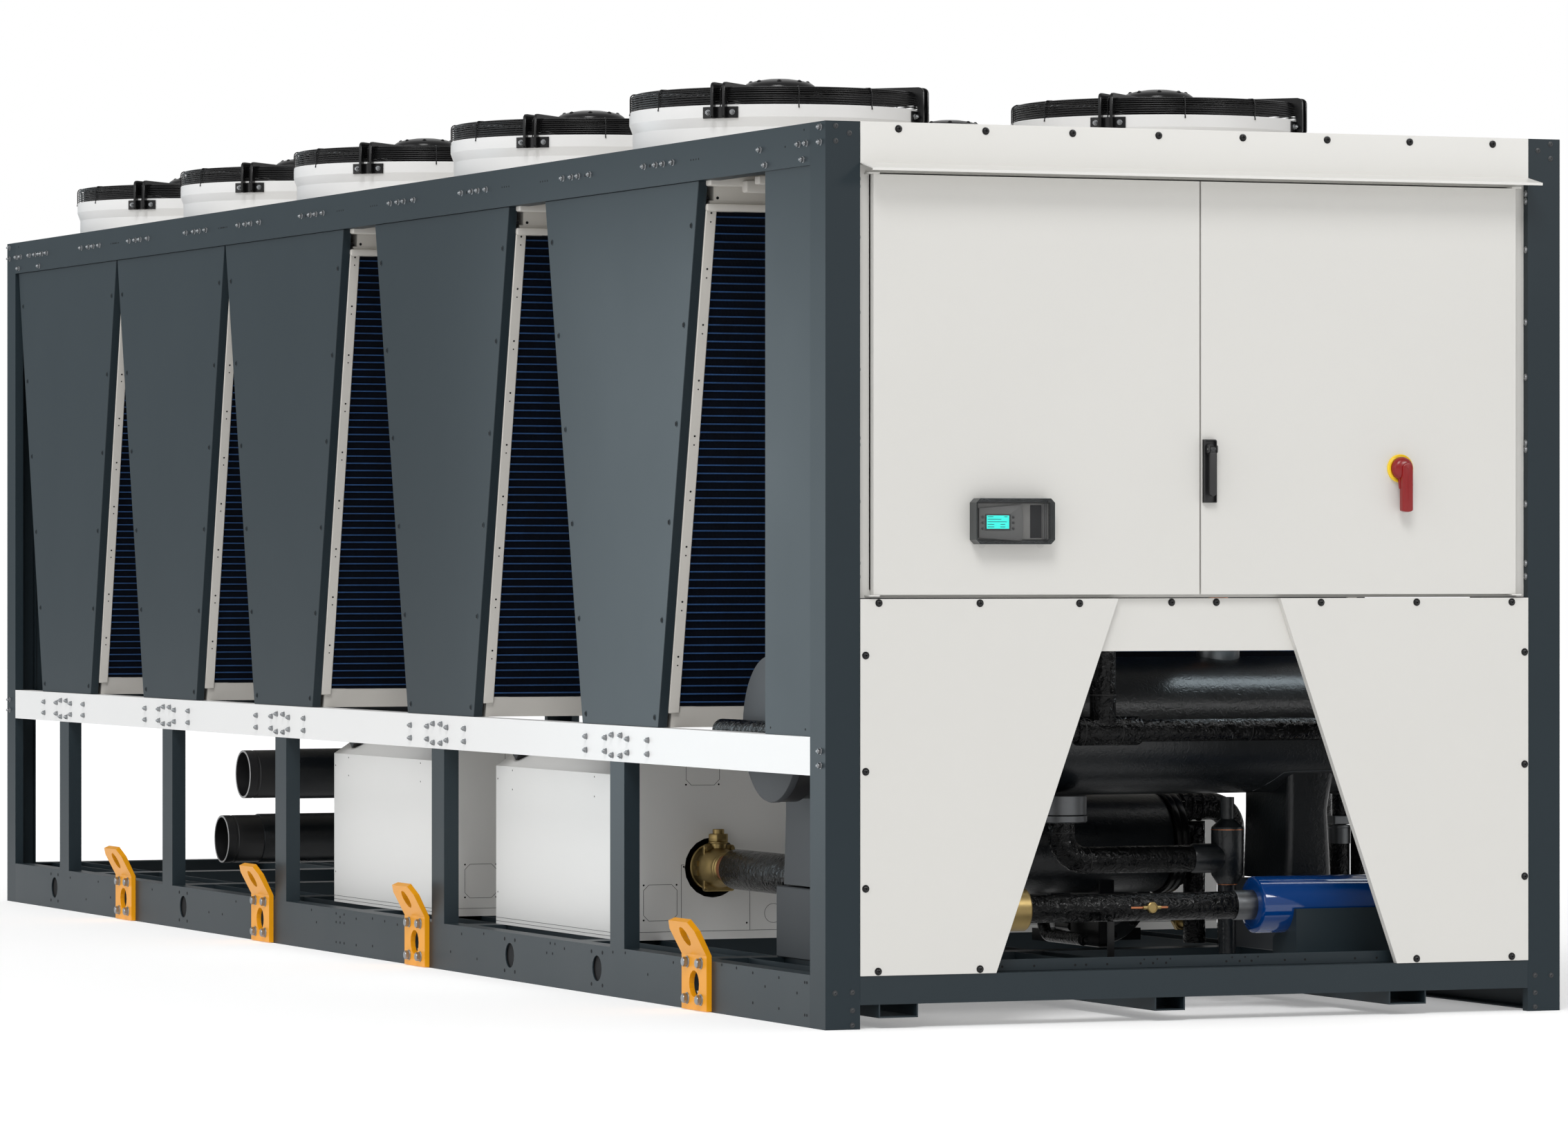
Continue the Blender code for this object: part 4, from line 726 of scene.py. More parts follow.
print("shapes can be moved, joined and mirrored")

# %% [markdown]
# Folded sheet and moulded parts have small round edges, and those edges are what catches the light.
# Blender's bevel, run on the points before they become a piece, gives them without a modifier.

# %% Round the edges
def softened(shape, width, steps=2):
    """Round every sharp edge of a shape."""
    work = bmesh.new()
    points = [work.verts.new(point) for point in shape[0]]
    for face in shape[1]:
        work.faces.new([points[i] for i in face])
    bmesh.ops.recalc_face_normals(work, faces=work.faces)
    sharp = [edge for edge in work.edges if edge.calc_face_angle(0) > math.radians(30)]
    bmesh.ops.bevel(
        work, geom=sharp, offset=width, segments=steps, profile=0.5, affect="EDGES", clamp_overlap=True
    )
    work.verts.index_update()
    result = [point.co.copy() for point in work.verts], [[v.index for v in face.verts] for face in work.faces]
    work.free()
    return result


print("softened ready")

# %% One mesh with several finishes
def make_mesh(name, parts, crease=35):
    """One mesh from (shape, material) parts, with smooth shading up to the crease angle."""
    points, faces, numbers, finishes = [], [], [], []
    for shape, material in parts:
        if material not in finishes:
            finishes.append(material)
        start = len(points)
        points += shape[0]
        faces += [[i + start for i in face] for face in shape[1]]
        numbers += [finishes.index(material)] * len(shape[1])
    mesh = bpy.data.meshes.new(name)
    mesh.from_pydata(points, [], faces)
    for material in finishes:
        mesh.materials.append(material)
    mesh.polygons.foreach_set("material_index", numbers)
    mesh.polygons.foreach_set("use_smooth", [True] * len(faces))
    work = bmesh.new()
    work.from_mesh(mesh)
    bmesh.ops.recalc_face_normals(work, faces=work.faces)
    work.to_mesh(mesh)
    work.free()
    mesh.set_sharp_from_angle(angle=math.radians(crease))
    return mesh


print("make_mesh ready")

# %% Put a piece on its body
def place(mesh, name, slot, body="frame", location=(0, 0, 0), replaces=()):
    """Put a mesh in the scene on a body, and hide the solids it stands for. The slot is not used."""
    piece = bpy.data.objects.new(name, mesh)
    bpy.context.scene.collection.objects.link(piece)
    piece.location = location
    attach(piece, body)
    if replaces:
        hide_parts(*replaces)
    return piece


def make_piece(name, parts, slot, body="frame", replaces=(), crease=35):
    mesh = make_mesh(name, parts, crease)
    mesh.calc_loop_triangles()
    print(name, len(mesh.loop_triangles), "triangles")
    return place(mesh, name, slot, body, replaces=replaces)


print("make_piece ready")

# %% The ways a face can look
FACING = {
    "up": Matrix.Identity(4),
    "left": Matrix.Rotation(-math.pi / 2, 4, "Y"),
    "right": Matrix.Rotation(math.pi / 2, 4, "Y"),
    "front": Matrix.Rotation(math.pi / 2, 4, "X"),
    "rear": Matrix.Rotation(-math.pi / 2, 4, "X"),
}


def spread(shape, places, facing):
    """Copies of a shape that was made standing up on z = 0, at places on a face that looks the given way."""
    return joined([moved(shape, Matrix.Translation(point) @ FACING[facing]) for point in places])


print("faces look", sorted(FACING))

# %% [markdown]
# ## The fans
# A fan is a stepped sheet collar bolted to the deck, with a wire guard over it. Four arms of paired
# plates hook over the collar and carry the motor, and the blades hang under it. The collar is turned from
# its section with a foot flange and a rolled rim. All ten fans share their meshes, as ten bought-in fans
# would be the same.

# %% The collar
FAN_COUNT = 10
fan_centres = []
for number in range(1, FAN_COUNT + 1):
    fan_low, fan_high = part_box(f"fan_{number}")
    fan_centres.append(Vector(((fan_low.x + fan_high.x) / 2, (fan_low.y + fan_high.y) / 2, fan_low.z)))

collar_section = [
    (0.446, 0.0), (0.446, 0.003), (0.435, 0.005), (0.431, 0.01), (0.4305, 0.084), (0.4325, 0.09),
    (0.4385, 0.106), (0.4405, 0.112), (0.4405, 0.1455), (0.4385, 0.148), (0.4275, 0.148), (0.425, 0.145),
    (0.4245, 0.03), (0.4, 0.0),
]
COLLAR_SIDES = 96
collar_mesh = make_mesh("fan_collar", [(lathe(collar_section, COLLAR_SIDES, closed=True), WHITE)], crease=12)
for number, centre in enumerate(fan_centres, 1):
    place(collar_mesh, f"fan_collar_{number}", "white_paint", location=centre, replaces=[f"fan_{number}"])
print("collars", len(fan_centres))

# %% [markdown]
# The guard is welded from coated wire: rings in a flat spiral over the top, a stack of rings down the
# side, and radial wires that bend over the shoulder and hook outside the collar. Each wire is a sweep,
# and a ring is a closed one. Five sides are enough for a wire four millimetres thick.

# %% The wire guard
WIRE = 0.0021
WIRE_SIDES = 5
RING_STEPS = 72
GUARD_RADIUS = 0.436
GUARD_TOP = 0.198
SHOULDER = 0.013
SIDE_RINGS = 6
SIDE_PITCH = 0.0066
TOP_PITCH = 0.0165
TOP_INNER = 0.125
TIES = 12


def ring_route(radius, height):
    steps = [2 * math.pi * i / RING_STEPS for i in range(RING_STEPS)]
    return [(radius * math.cos(turn), radius * math.sin(turn), height) for turn in steps]


def guard_wires():
    wires = []
    for i in range(SIDE_RINGS):
        wires.append(sweep(ring_route(GUARD_RADIUS, 0.1535 + i * SIDE_PITCH), WIRE, WIRE_SIDES, loop=True))
    for turn in (30, 65):
        bend = math.radians(turn)
        radius = GUARD_RADIUS - SHOULDER * (1 - math.cos(bend))
        height = GUARD_TOP - SHOULDER * (1 - math.sin(bend))
        wires.append(sweep(ring_route(radius, height), WIRE, WIRE_SIDES, loop=True))
    radius = GUARD_RADIUS - SHOULDER
    while radius > TOP_INNER:
        wires.append(sweep(ring_route(radius, GUARD_TOP), WIRE, WIRE_SIDES, loop=True))
        radius -= TOP_PITCH
    outside = GUARD_RADIUS + 2 * WIRE
    under = GUARD_TOP - 2 * WIRE
    for i in range(TIES):
        turn = 2 * math.pi * (i + 0.5) / TIES
        bends = [
            (outside - 0.012, 0.139), (outside + 0.003, 0.139), (outside, 0.146), (outside, 0.165),
            (outside, GUARD_TOP - SHOULDER)
        ]
        for degrees in (25, 50, 75):
            bend = math.radians(degrees)
            reach = outside - SHOULDER * (1 - math.cos(bend))
            bends.append((reach, GUARD_TOP + WIRE - SHOULDER * (1 - math.sin(bend))))
        bends += [(GUARD_RADIUS - SHOULDER - 0.01, GUARD_TOP + WIRE), (0.38, under), (TOP_INNER, under)]
        route = [(r * math.cos(turn), r * math.sin(turn), z) for r, z in bends]
        wires.append(sweep(route, WIRE, WIRE_SIDES))
    return joined(wires)


print("side rings", SIDE_RINGS, "ties", TIES)

# %% The guard, placed ten times
guard_mesh = make_mesh("fan_guard", [(guard_wires(), BLACK_COAT)], crease=80)
for number, centre in enumerate(fan_centres, 1):
    place(guard_mesh, f"fan_guard_{number}", "black_plastic", location=centre)
print("guard faces", len(guard_mesh.polygons))

# %% [markdown]
# Everything on the unit is held by a few kinds of fastener: domed screws, nuts on studs and hexagon bolts
# on washers. Each is turned or pushed once, with a low count of sides, because hundreds of them show only
# a few pixels high. Each shape is made once here and copied later to its places.

# %% Bolts and screws
def hexagon(width):
    radius = width / math.sqrt(3)
    return [(radius * math.cos(math.pi * i / 3), radius * math.sin(math.pi * i / 3)) for i in range(6)]


def washer(radius, thickness=0.0018):
    section = [(0, 0), (radius, 0), (radius, thickness * 0.7), (radius - thickness * 0.3, thickness)]
    return lathe(section + [(0, thickness)], 20)


def hex_head(width, height, start):
    """A hexagon head whose top corners are turned off."""
    flat = width / 2
    body = push(hexagon(width), "Z", start, start + height * 0.86)
    cap = lathe([(flat, start + height * 0.8), (flat * 0.9, start + height), (0, start + height)], 18)
    return joined([body, cap])


def nut_on_stud(width):
    """The end of a bolt that comes through a rail: washer, nut and a little thread."""
    stud = lathe(
        [(width * 0.3, 0), (width * 0.3, width * 0.95), (width * 0.24, width * 1.05), (0, width * 1.05)], 12
    )
    return joined([washer(width * 0.72), hex_head(width, width * 0.6, 0.0018), stud])


def dome_screw(radius):
    """A button head with a hexagon socket on its washer."""
    section = [(radius * 1.35, 0), (radius * 1.35, 0.0012), (radius * 1.05, 0.0016)]
    for i in range(6):
        bend = math.pi / 2 * i / 6
        section.append(
            (radius * math.cos(bend) * 0.98 + radius * 0.02, 0.0016 + radius * 0.62 * math.sin(bend))
        )
    section += [
        (radius * 0.38, 0.0016 + radius * 0.6), (radius * 0.34, 0.0016 + radius * 0.2),
        (0, 0.0016 + radius * 0.2)
    ]
    return lathe(section, 18)


rail_bolt = nut_on_stud(0.013)
lug_bolt = joined([washer(0.0165, 0.003), hex_head(0.024, 0.013, 0.003)])
panel_screw = dome_screw(0.0078)
small_screw = dome_screw(0.0055)
print("bolt faces", len(rail_bolt[1]), "screw faces", len(panel_screw[1]))

# %% [markdown]
# The motor hangs on arms: pairs of plates cut with a hook that clears the rim, each pair ending in a
# curved foot plate with two bolts. The arms are flat sheet, so one outline pushed through its thickness
# is truer than a bent tube. The foot plate is a thin arc around the collar, pushed upward.

# %% Arms and foot plates
ARM_SHEET = 0.009
ARM_MIDDLE = 0.018
ARM_LOW, ARM_TOP = 0.162, 0.213
ARM_ROOT = 0.075
HOOK_IN, HOOK_OUT = 0.4215, 0.4635
FOOT_LOW, FOOT_HIGH = 0.108, 0.143
FOOT_HALF_ANGLE = 0.125


def arm_pair():
    corners = [
        (ARM_ROOT, ARM_LOW), (HOOK_IN, ARM_LOW), (HOOK_IN + 0.022, ARM_LOW - 0.006),
        (HOOK_IN + 0.022, FOOT_LOW), (HOOK_OUT - 0.004, FOOT_LOW), (HOOK_OUT, FOOT_LOW + 0.006)
    ]
    for degrees in (0, 30, 60, 90):
        bend = math.radians(degrees)
        corners.append((HOOK_OUT - 0.016 * (1 - math.cos(bend)), ARM_TOP - 0.016 * (1 - math.sin(bend))))
    corners.append((ARM_ROOT, ARM_TOP))
    plates = []
    for side in (-1, 1):
        middle = side * ARM_MIDDLE
        plates.append(softened(push(corners, "Y", middle - ARM_SHEET / 2, middle + ARM_SHEET / 2), 0.0012, 1))
    plates.append(block((ARM_ROOT + 0.02, -ARM_MIDDLE, ARM_LOW), (0.17, ARM_MIDDLE, ARM_LOW + 0.004)))
    return plates


def foot_plate():
    inner, outer = 0.4412, 0.4442
    steps = [FOOT_HALF_ANGLE * (i / 4 - 1) for i in range(9)]
    outline = [(inner * math.cos(t), inner * math.sin(t)) for t in steps]
    outline += [(outer * math.cos(t), outer * math.sin(t)) for t in reversed(steps)]
    return softened(push(outline, "Z", FOOT_LOW + 0.001, FOOT_HIGH - 0.001), 0.0008, 1)


print("arms reach", HOOK_OUT, "m out")

# %% Four arms around the motor
arms, feet, foot_bolts = [], [], []
small_bolt = nut_on_stud(0.0115)
for i in range(4):
    turn = Matrix.Rotation(math.pi / 4 + math.pi / 2 * i, 4, "Z")
    arms += [moved(plate, turn) for plate in arm_pair()]
    feet.append(moved(foot_plate(), turn))
    for side in (-1, 1):
        swing = turn @ Matrix.Rotation(side * 0.085, 4, "Z")
        stand = swing @ Matrix.Translation((0.4442, 0, 0.126)) @ FACING["right"]
        foot_bolts.append(moved(small_bolt, stand))
print("arm plates", len(arms), "foot bolts", len(foot_bolts))

# %% [markdown]
# The motor is a turned body with a domed cap, a ring of screws and a cable gland, and its wide foot is
# the hub. Each blade is a curved, twisted surface with a rounded nose. A blade can't be pushed or turned,
# so it is lofted from sections between hub and tip, each one a little flatter than the last.

# %% Motor
motor_section = [
    (0, 0.0), (0.112, 0.0), (0.119, 0.006), (0.12, 0.084), (0.114, 0.09), (0.1, 0.094), (0.098, 0.112),
    (0.106, 0.118), (0.108, 0.126), (0.108, 0.222), (0.104, 0.229), (0.094, 0.236), (0.07, 0.243),
    (0.035, 0.2485), (0, 0.25),
]
motor = [lathe(motor_section, 48)]
for i in range(8):
    turn = math.pi / 4 * (i + 0.5)
    motor.append(
        moved(small_screw, Matrix.Translation((0.083 * math.cos(turn), 0.083 * math.sin(turn), 0.2385)))
    )
for level in (0.14, 0.152, 0.2115):
    bead = [(0.1075, level), (0.111, level + 0.001), (0.111, level + 0.0035), (0.1075, level + 0.0045)]
    motor.append(lathe(bead, 48))
gland = lathe([(0.011, 0), (0.011, 0.014), (0.009, 0.016), (0.009, 0.024), (0.006, 0.027), (0, 0.027)], 12)
motor.append(
    moved(gland, Matrix.Rotation(0.5, 4, "Z") @ Matrix.Translation((0.104, 0, 0.218)) @ FACING["right"])
)
print("motor parts", len(motor))

# %% A curved, twisted blade
BLADES = 5
SPAN_STEPS = 8
CHORD_STEPS = 8
ROOT, TIP = 0.108, 0.388
ROOT_CHORD, TIP_CHORD = 0.13, 0.235
ROOT_PITCH, TIP_PITCH = math.radians(34), math.radians(19)
CAMBER = 0.08
BLADE_HEIGHT = 0.045


def blade():
    points = []
    for i in range(SPAN_STEPS + 1):
        share = i / SPAN_STEPS
        radius = ROOT + (TIP - ROOT) * share
        chord = ROOT_CHORD + (TIP_CHORD - ROOT_CHORD) * share
        pitch = ROOT_PITCH + (TIP_PITCH - ROOT_PITCH) * share
        sweep_back = 0.06 * share * share
        loop = [(j / CHORD_STEPS, 1) for j in range(CHORD_STEPS + 1)]
        loop += [(j / CHORD_STEPS, -1) for j in range(CHORD_STEPS - 1, 0, -1)]
        for part, face in loop:
            flat = (part - 0.5) * chord
            bow = CAMBER * chord * (1 - (2 * part - 1) ** 2)
            thick = face * 0.0035 * math.sqrt(max(0.0, 1 - (2 * part - 1) ** 2))
            y = flat * math.cos(pitch) - (bow + thick) * math.sin(pitch)
            z = flat * math.sin(pitch) + (bow + thick) * math.cos(pitch)
            turn = (y - sweep_back * chord) / max(radius, 0.2)
            points.append(Vector((radius * math.cos(turn), radius * math.sin(turn), z + BLADE_HEIGHT)))
    count = 2 * CHORD_STEPS
    faces = [list(range(count))[::-1], list(range(SPAN_STEPS * count, (SPAN_STEPS + 1) * count))]
    for i in range(SPAN_STEPS):
        for j in range(count):
            k = (j + 1) % count
            faces.append([i * count + j, i * count + k, (i + 1) * count + k, (i + 1) * count + j])
    return points, faces


print("blades reach", TIP, "m out")

# %% The drive, placed ten times
blades = [moved(blade(), Matrix.Rotation(2 * math.pi * i / BLADES, 4, "Z")) for i in range(BLADES)]
drive_parts = [(joined(motor + arms + feet + blades), BLACK_COAT), (joined(foot_bolts), ZINC)]
drive_mesh = make_mesh("fan_drive", drive_parts)
for number, centre in enumerate(fan_centres, 1):
    place(drive_mesh, f"fan_drive_{number}", "black_plastic", location=centre)
print("drive faces", len(drive_mesh.polygons))

# %% [markdown]
# ## The coils
# Each leaning face of a coil module is a fin pack that goes dark between the fins, crossed by the edges
# of some sixty flat tubes. The solid's own core is set back, so a sheet with the fin finish lies in
# front of it, and each tube is a thin six-sided bar on the sheet. Bars catch the light from every side,
# which drawn stripes can't. Frame strips a little thicker than the bars make the core look sunk.

# %% Where a coil leans
CORE_HALF = 1.056
CORE_LOW, CORE_HIGH = 0.8525, 2.2585
TUBE_PITCH = 0.0234
TUBE_HEIGHT = 0.0042
FIN_LIFT = 0.001
PANEL_SEAT = low("v_panel_left_1").z
PANEL_CEILING = high("v_panel_left_1").z
COIL_INSET = 0.005
panel_half_top = (high("v_panel_left_1").y - low("v_panel_left_1").y) / 2
COIL_TOP = high("coil_module_1").z
panel_half_bottom = 0.305


def coil_half_width(z):
    """Half the width of a module's outer face at a height."""
    share = (z - PANEL_SEAT) / (PANEL_CEILING - PANEL_SEAT)
    return panel_half_bottom + (panel_half_top - panel_half_bottom) * share - COIL_INSET


print("half width at the foot", round(coil_half_width(PANEL_SEAT), 3))

# %% Fin sheet and tube bars of a leaning face
def coil_core(middle, sign):
    """The fin sheet and the tube bars of one leaning face."""
    depth = -FIN_LIFT
    corners = []
    for z in (CORE_LOW, CORE_HIGH):
        y = middle + sign * (coil_half_width(z) - depth)
        corners.append((y, z))
    behind = [(y - sign * 0.0006, z) for y, z in reversed(corners)]
    sheet = push(corners + behind, "X", -CORE_HALF, CORE_HALF)
    bars = []
    z = CORE_LOW + TUBE_PITCH / 2
    while z < CORE_HIGH - TUBE_HEIGHT:
        base = middle + sign * (coil_half_width(z) - depth)
        nose = base + sign * 0.0045
        half = TUBE_HEIGHT / 2
        outline = [
            (base, z - half), (nose - sign * 0.001, z - half), (nose, z - half * 0.4),
            (nose, z + half * 0.4), (nose - sign * 0.001, z + half), (base, z + half)
        ]
        bars.append(push(outline, "X", -CORE_HALF, CORE_HALF))
        z += TUBE_PITCH
    return sheet, joined(bars)


for number, middle in enumerate(module_centres, 1):
    parts = []
    for sign in (-1, 1):
        sheet, bars = coil_core(middle, sign)
        parts += [(sheet, COIL_FINS), (bars, TUBE_BLUE)]
    make_piece(f"coil_core_{number}", parts, "coil_frame_paint", crease=20)

# %% [markdown]
# Each leaning coil hangs in a folded greige frame. Its end strips have pairs of pierced holes all the way
# up, and a rounded flange closes the gap between the core and the fan deck. The holes are thin black
# discs on the strip, painted shade for the dark inside a hole: at this size a real hole and a disc look
# the same, and the solid stays whole.

# %% Holes as discs on a leaning face
# A near-black finish for panel gaps, and painted shade where it stands for holes: the dark seen in and
# through them.
HOLE = make_material("dark_hole", recipe(moulded, 0.0, Colour=paint(0.003, 0.003, 0.004), Roughness=0.9))
DISC = 0.0004
STRIP_INNER = 1.056
PANEL_RETURN = 0.0285
strip_outer = -low("v_panel_left_1").x - PANEL_RETURN
STRIP_X = (STRIP_INNER + strip_outer) / 2
STRIP_LIFT = 0.0085
RAIL_UNDER = low("top_rail_left").z
STRIP_PAIR = 0.025
STRIP_PITCH = 0.1575
STRIP_START = 0.995


def hole_disc(radius, sides=12):
    return lathe([(radius, 0), (radius, DISC), (0, DISC)], sides)


def leaning(middle, sign, x, z, lift=0.0):
    """Stands a shape on the leaning face of a coil, at a distance from the unit's middle and a height."""
    slope = (panel_half_top - panel_half_bottom) / (PANEL_CEILING - PANEL_SEAT)
    spot = Matrix.Translation((x, middle + sign * (coil_half_width(z) + lift), z))
    facing = FACING["rear"] if sign > 0 else FACING["front"]
    tilt = Matrix.Rotation(sign * math.atan(slope) * -1, 4, "X")
    return spot @ tilt @ facing


print("strips from", STRIP_INNER, "to", round(strip_outer, 3))

# %% Strips and flanges of each coil frame
# Half length, near and far distance from the leaning face, foot and top, edge radius.
LIPS = (
    (1.09, -0.004, 0.016, COIL_TOP - 0.03, COIL_TOP - 0.009, 0.005),
    (1.094, -0.002, 0.05, RAIL_UNDER - 0.015, RAIL_UNDER + 0.015, 0.006),
    (1.0, 0.05, 0.09, RAIL_UNDER - 0.034, RAIL_UNDER, 0.006),
    (0.99, 0.12, 0.16, RAIL_UNDER - 0.014, RAIL_UNDER + 0.01, 0.005),
)

for number, middle in enumerate(module_centres, 1):
    holes, flanges = [], []
    for sign in (-1, 1):
        for side in (-1, 1):
            z = STRIP_START
            while z < CORE_HIGH:
                for step in (0, STRIP_PAIR):
                    spot = leaning(middle, sign, side * STRIP_X, z - step, STRIP_LIFT)
                    holes.append(moved(hole_disc(0.0024 if step else 0.0032, 8), spot))
                z += STRIP_PITCH
        for side in (-1, 1):
            section = []
            for z in (CORE_LOW - 0.02, COIL_TOP - 0.02):
                section.append((middle + sign * coil_half_width(z), z))
            section += [(y + sign * STRIP_LIFT, z) for y, z in reversed(section)]
            inner, outer = sorted((side * STRIP_INNER, side * strip_outer))
            flanges.append(softened(push(section, "X", inner, outer), 0.002, 1))
        edge = middle + sign * coil_half_width(COIL_TOP)
        for x, start, end, z_low, z_high, radius in LIPS:
            low_y, high_y = sorted((edge + sign * start, edge + sign * end))
            if high_y > low("rear_frame").y:
                continue
            flanges.append(softened(block((-x, low_y, z_low), (x, high_y, z_high)), radius))
        for side in (-1, 1):
            for x in (1.053, 1.083):
                spot = Matrix.Translation((side * x, edge + sign * 0.0002, COIL_TOP + 0.008))
                holes.append(moved(hole_disc(0.0045), spot @ FACING["rear" if sign > 0 else "front"]))
    make_piece(
        f"coil_frame_trim_{number}", [(joined(holes), HOLE), (joined(flanges), GREIGE)], "coil_frame_paint"
    )

# %% [markdown]
# The trapezium panels are sheet with a folded edge under three centimetres deep, shallower than in their
# solids. They are made again from the same outline, so that the coil's strips show beside them as they do
# on the machine.

# %% Trapezium panels with a shallow fold
for side, sign in (("left", 1), ("right", -1)):
    sheets, names = [], []
    for number, middle in enumerate(module_centres, 1):
        outline = [
            (middle - panel_half_bottom, PANEL_SEAT), (middle + panel_half_bottom, PANEL_SEAT),
            (middle + panel_half_top, PANEL_CEILING), (middle - panel_half_top, PANEL_CEILING)
        ]
        face = low("v_panel_left_1").x
        sheet = softened(push(outline, "X", face, face + PANEL_RETURN), 0.0015, 1)
        sheets.append(sheet if sign > 0 else mirrored(sheet))
        names.append(f"v_panel_{side}_{number}")
    make_piece(f"v_panel_sheets_{side}", [(joined(sheets), ANTHRACITE)], "anthracite_paint", replaces=names)

# %% [markdown]
# ## Bolts and holes on the long sides
# Nuts and studs hold the fan deck to the top rail and the middle rail to its posts. They stand in groups
# that repeat with the modules, so they are listed once as distances from a module's centre. The rear ends
# repeat the front ends, and the right side mirrors the left.

# %% Where the side's bolts are
TOP_BOLT_Z = 2.405
DECK_BOLTS = (0.22, 0.313, 0.37, 0.444)
POST_BOLTS = ((0.25, 0.754), (0.09, 0.754), (0.0355, 0.763), (0.25, 0.714), (0.09, 0.714), (0.0355, 0.704))
CORNER_BOLTS = (
    (0.464, 2.405), (0.424, 2.361), (0.184, 2.405), (0.132, 2.405), (0.156, 2.362), (0.033, 2.444),
    (0.033, 2.403), (0.033, 0.754), (0.033, 0.715),
)
LUGS = (0.92, 3.29, 4.84, 6.39)
LUG_BOLT_OFFSET = 0.052
LUG_BOLT_Z = (0.033, 0.136)
LUG_FACE = 0.016
RAIL_EYES = (1.73, 2.47, 5.74, 7.3)
EYE_BOLT_OFFSET = (0.045, 0.048)
EYE_Z = 0.076
UNIT_LENGTH = REAR - FRONT
module_v = [y - FRONT for y in module_centres]

side_bolts = []
for v in module_v:
    for sign in (-1, 1):
        side_bolts += [(v + sign * step, TOP_BOLT_Z) for step in DECK_BOLTS]
        side_bolts += [(v + sign * step, z) for step, z in POST_BOLTS]
for v, z in CORNER_BOLTS:
    side_bolts += [(v, z), (UNIT_LENGTH - v, z)]
bolts = spread(rail_bolt, [(LEFT, along(v), z) for v, z in side_bolts], "left")
lug_places = []
for v in LUGS:
    for sign in (-1, 1):
        lug_places += [(LEFT - LUG_FACE, along(v + sign * LUG_BOLT_OFFSET), z) for z in LUG_BOLT_Z]
lug_bolts = spread(lug_bolt, lug_places, "left")
for name, turn in (("left", lambda shape: shape), ("right", mirrored)):
    make_piece(f"side_bolts_{name}", [(turn(bolts), ZINC), (turn(lug_bolts), ZINC)], "anthracite_paint")

# %% [markdown]
# The rails are punched for parts that some versions of the machine carry, so they are full of small
# holes. The trapezium panels are held by screws that sit in oval slots along both leaning edges, and the
# slot's lower edge shines a little.

# %% Where the rails are punched
SLOT_START, SLOT_PITCH, SLOT_COUNT = 0.82, 0.28, 6
SLOT_INSET = 0.033
PANEL_FACE = low("v_panel_left_1").x
RAIL_PUNCHES = (
    (0.13, 0.122), (0.13, 0.033), (0.145, 0.122), (0.145, 0.033), (0.2, 0.09), (0.33, 0.125),
    (0.33, 0.04), (0.43, 0.095), (0.52, 0.128), (0.52, 0.045), (0.64, 0.135), (0.75, 0.138),
    (1.12, 0.125), (1.32, 0.08), (1.5, 0.133), (1.6, 0.13), (2.0, 0.12), (2.08, 0.13), (2.12, 0.13),
    (2.1, 0.1), (2.15, 0.1), (2.7, 0.13), (2.76, 0.05), (2.9, 0.12), (3.0, 0.06), (3.5, 0.12),
    (3.62, 0.125), (3.74, 0.128), (3.74, 0.04), (3.9, 0.12), (3.9, 0.035), (4.02, 0.128), (4.06, 0.118),
    (4.1, 0.128), (4.02, 0.1), (4.06, 0.1), (4.1, 0.1), (4.02, 0.035), (4.06, 0.035), (4.1, 0.035),
    (4.3, 0.09), (4.35, 0.128), (5.15, 0.12), (5.3, 0.07), (5.45, 0.07), (6.1, 0.12), (6.6, 0.07),
    (6.75, 0.12), (6.9, 0.05), (7.1, 0.12),
)
TOP_PUNCHES = (0.58, 0.6, 0.62, 0.64)

punches = [((LEFT, along(v), z), 0.0042) for v, z in RAIL_PUNCHES]
for v in RAIL_EYES:
    for a in (-1, 1):
        for b in (-1, 1):
            spot = (LEFT, along(v + a * EYE_BOLT_OFFSET[0]), EYE_Z + b * EYE_BOLT_OFFSET[1])
            punches.append((spot, 0.0058))
for v in module_v:
    for sign in (-1, 1):
        punches += [((LEFT, along(v + sign * step), TOP_BOLT_Z), 0.0026) for step in TOP_PUNCHES]
        punches.append(((LEFT, along(v + sign * 0.262), TOP_BOLT_Z), 0.005))
for v, z in ((0.285, 2.404), (0.15, 2.443)):
    punches += [((LEFT, along(v), z), 0.003), ((LEFT, along(UNIT_LENGTH - v), z), 0.003)]
closing_face = low("closing_panel_left").x
punches += [((closing_face, along(v), 0.81), 0.0032) for v in (0.16, 0.41)]
print("punched holes on a side", len(punches))

# %% Screws in slots along the panels
slots = []
for middle in module_centres:
    for step in range(SLOT_COUNT):
        z = SLOT_START + step * SLOT_PITCH
        half = coil_half_width(z) + COIL_INSET - SLOT_INSET
        slots += [(PANEL_FACE, middle + sign * half, z) for sign in (-1, 1)]
slot_rim = lathe([(0.0088, 0), (0.0088, 0.0012), (0.0072, 0.0016), (0.0062, 0.0006), (0.0062, 0)], 16)
# The slot is a dark disc of painted shade, with a dark screw head on it.
slot_screw = joined([hole_disc(0.0064, 14), lathe([(0.0034, 0), (0.0034, 0.0012), (0, 0.0018)], 10)])
# Each punched hole is a black disc, painted shade for the dark behind it, and a wide black disc just inside
# each eye of the rail is painted shade seen through the opening.
holes = [moved(hole_disc(radius), Matrix.Translation(spot) @ FACING["left"]) for spot, radius in punches]
holes += [
    moved(hole_disc(0.06, 24), Matrix.Translation((LEFT + 0.008, along(v), EYE_Z)) @ FACING["left"])
    for v in RAIL_EYES
]
holes = joined(holes)
for name, turn in (("left", lambda shape: shape), ("right", mirrored)):
    parts = [
        (turn(holes), HOLE), (turn(spread(slot_screw, slots, "left")), HOLE),
        (turn(spread(slot_rim, slots, "left")), ANTHRACITE)
    ]
    make_piece(f"side_holes_{name}", parts, "anthracite_paint")

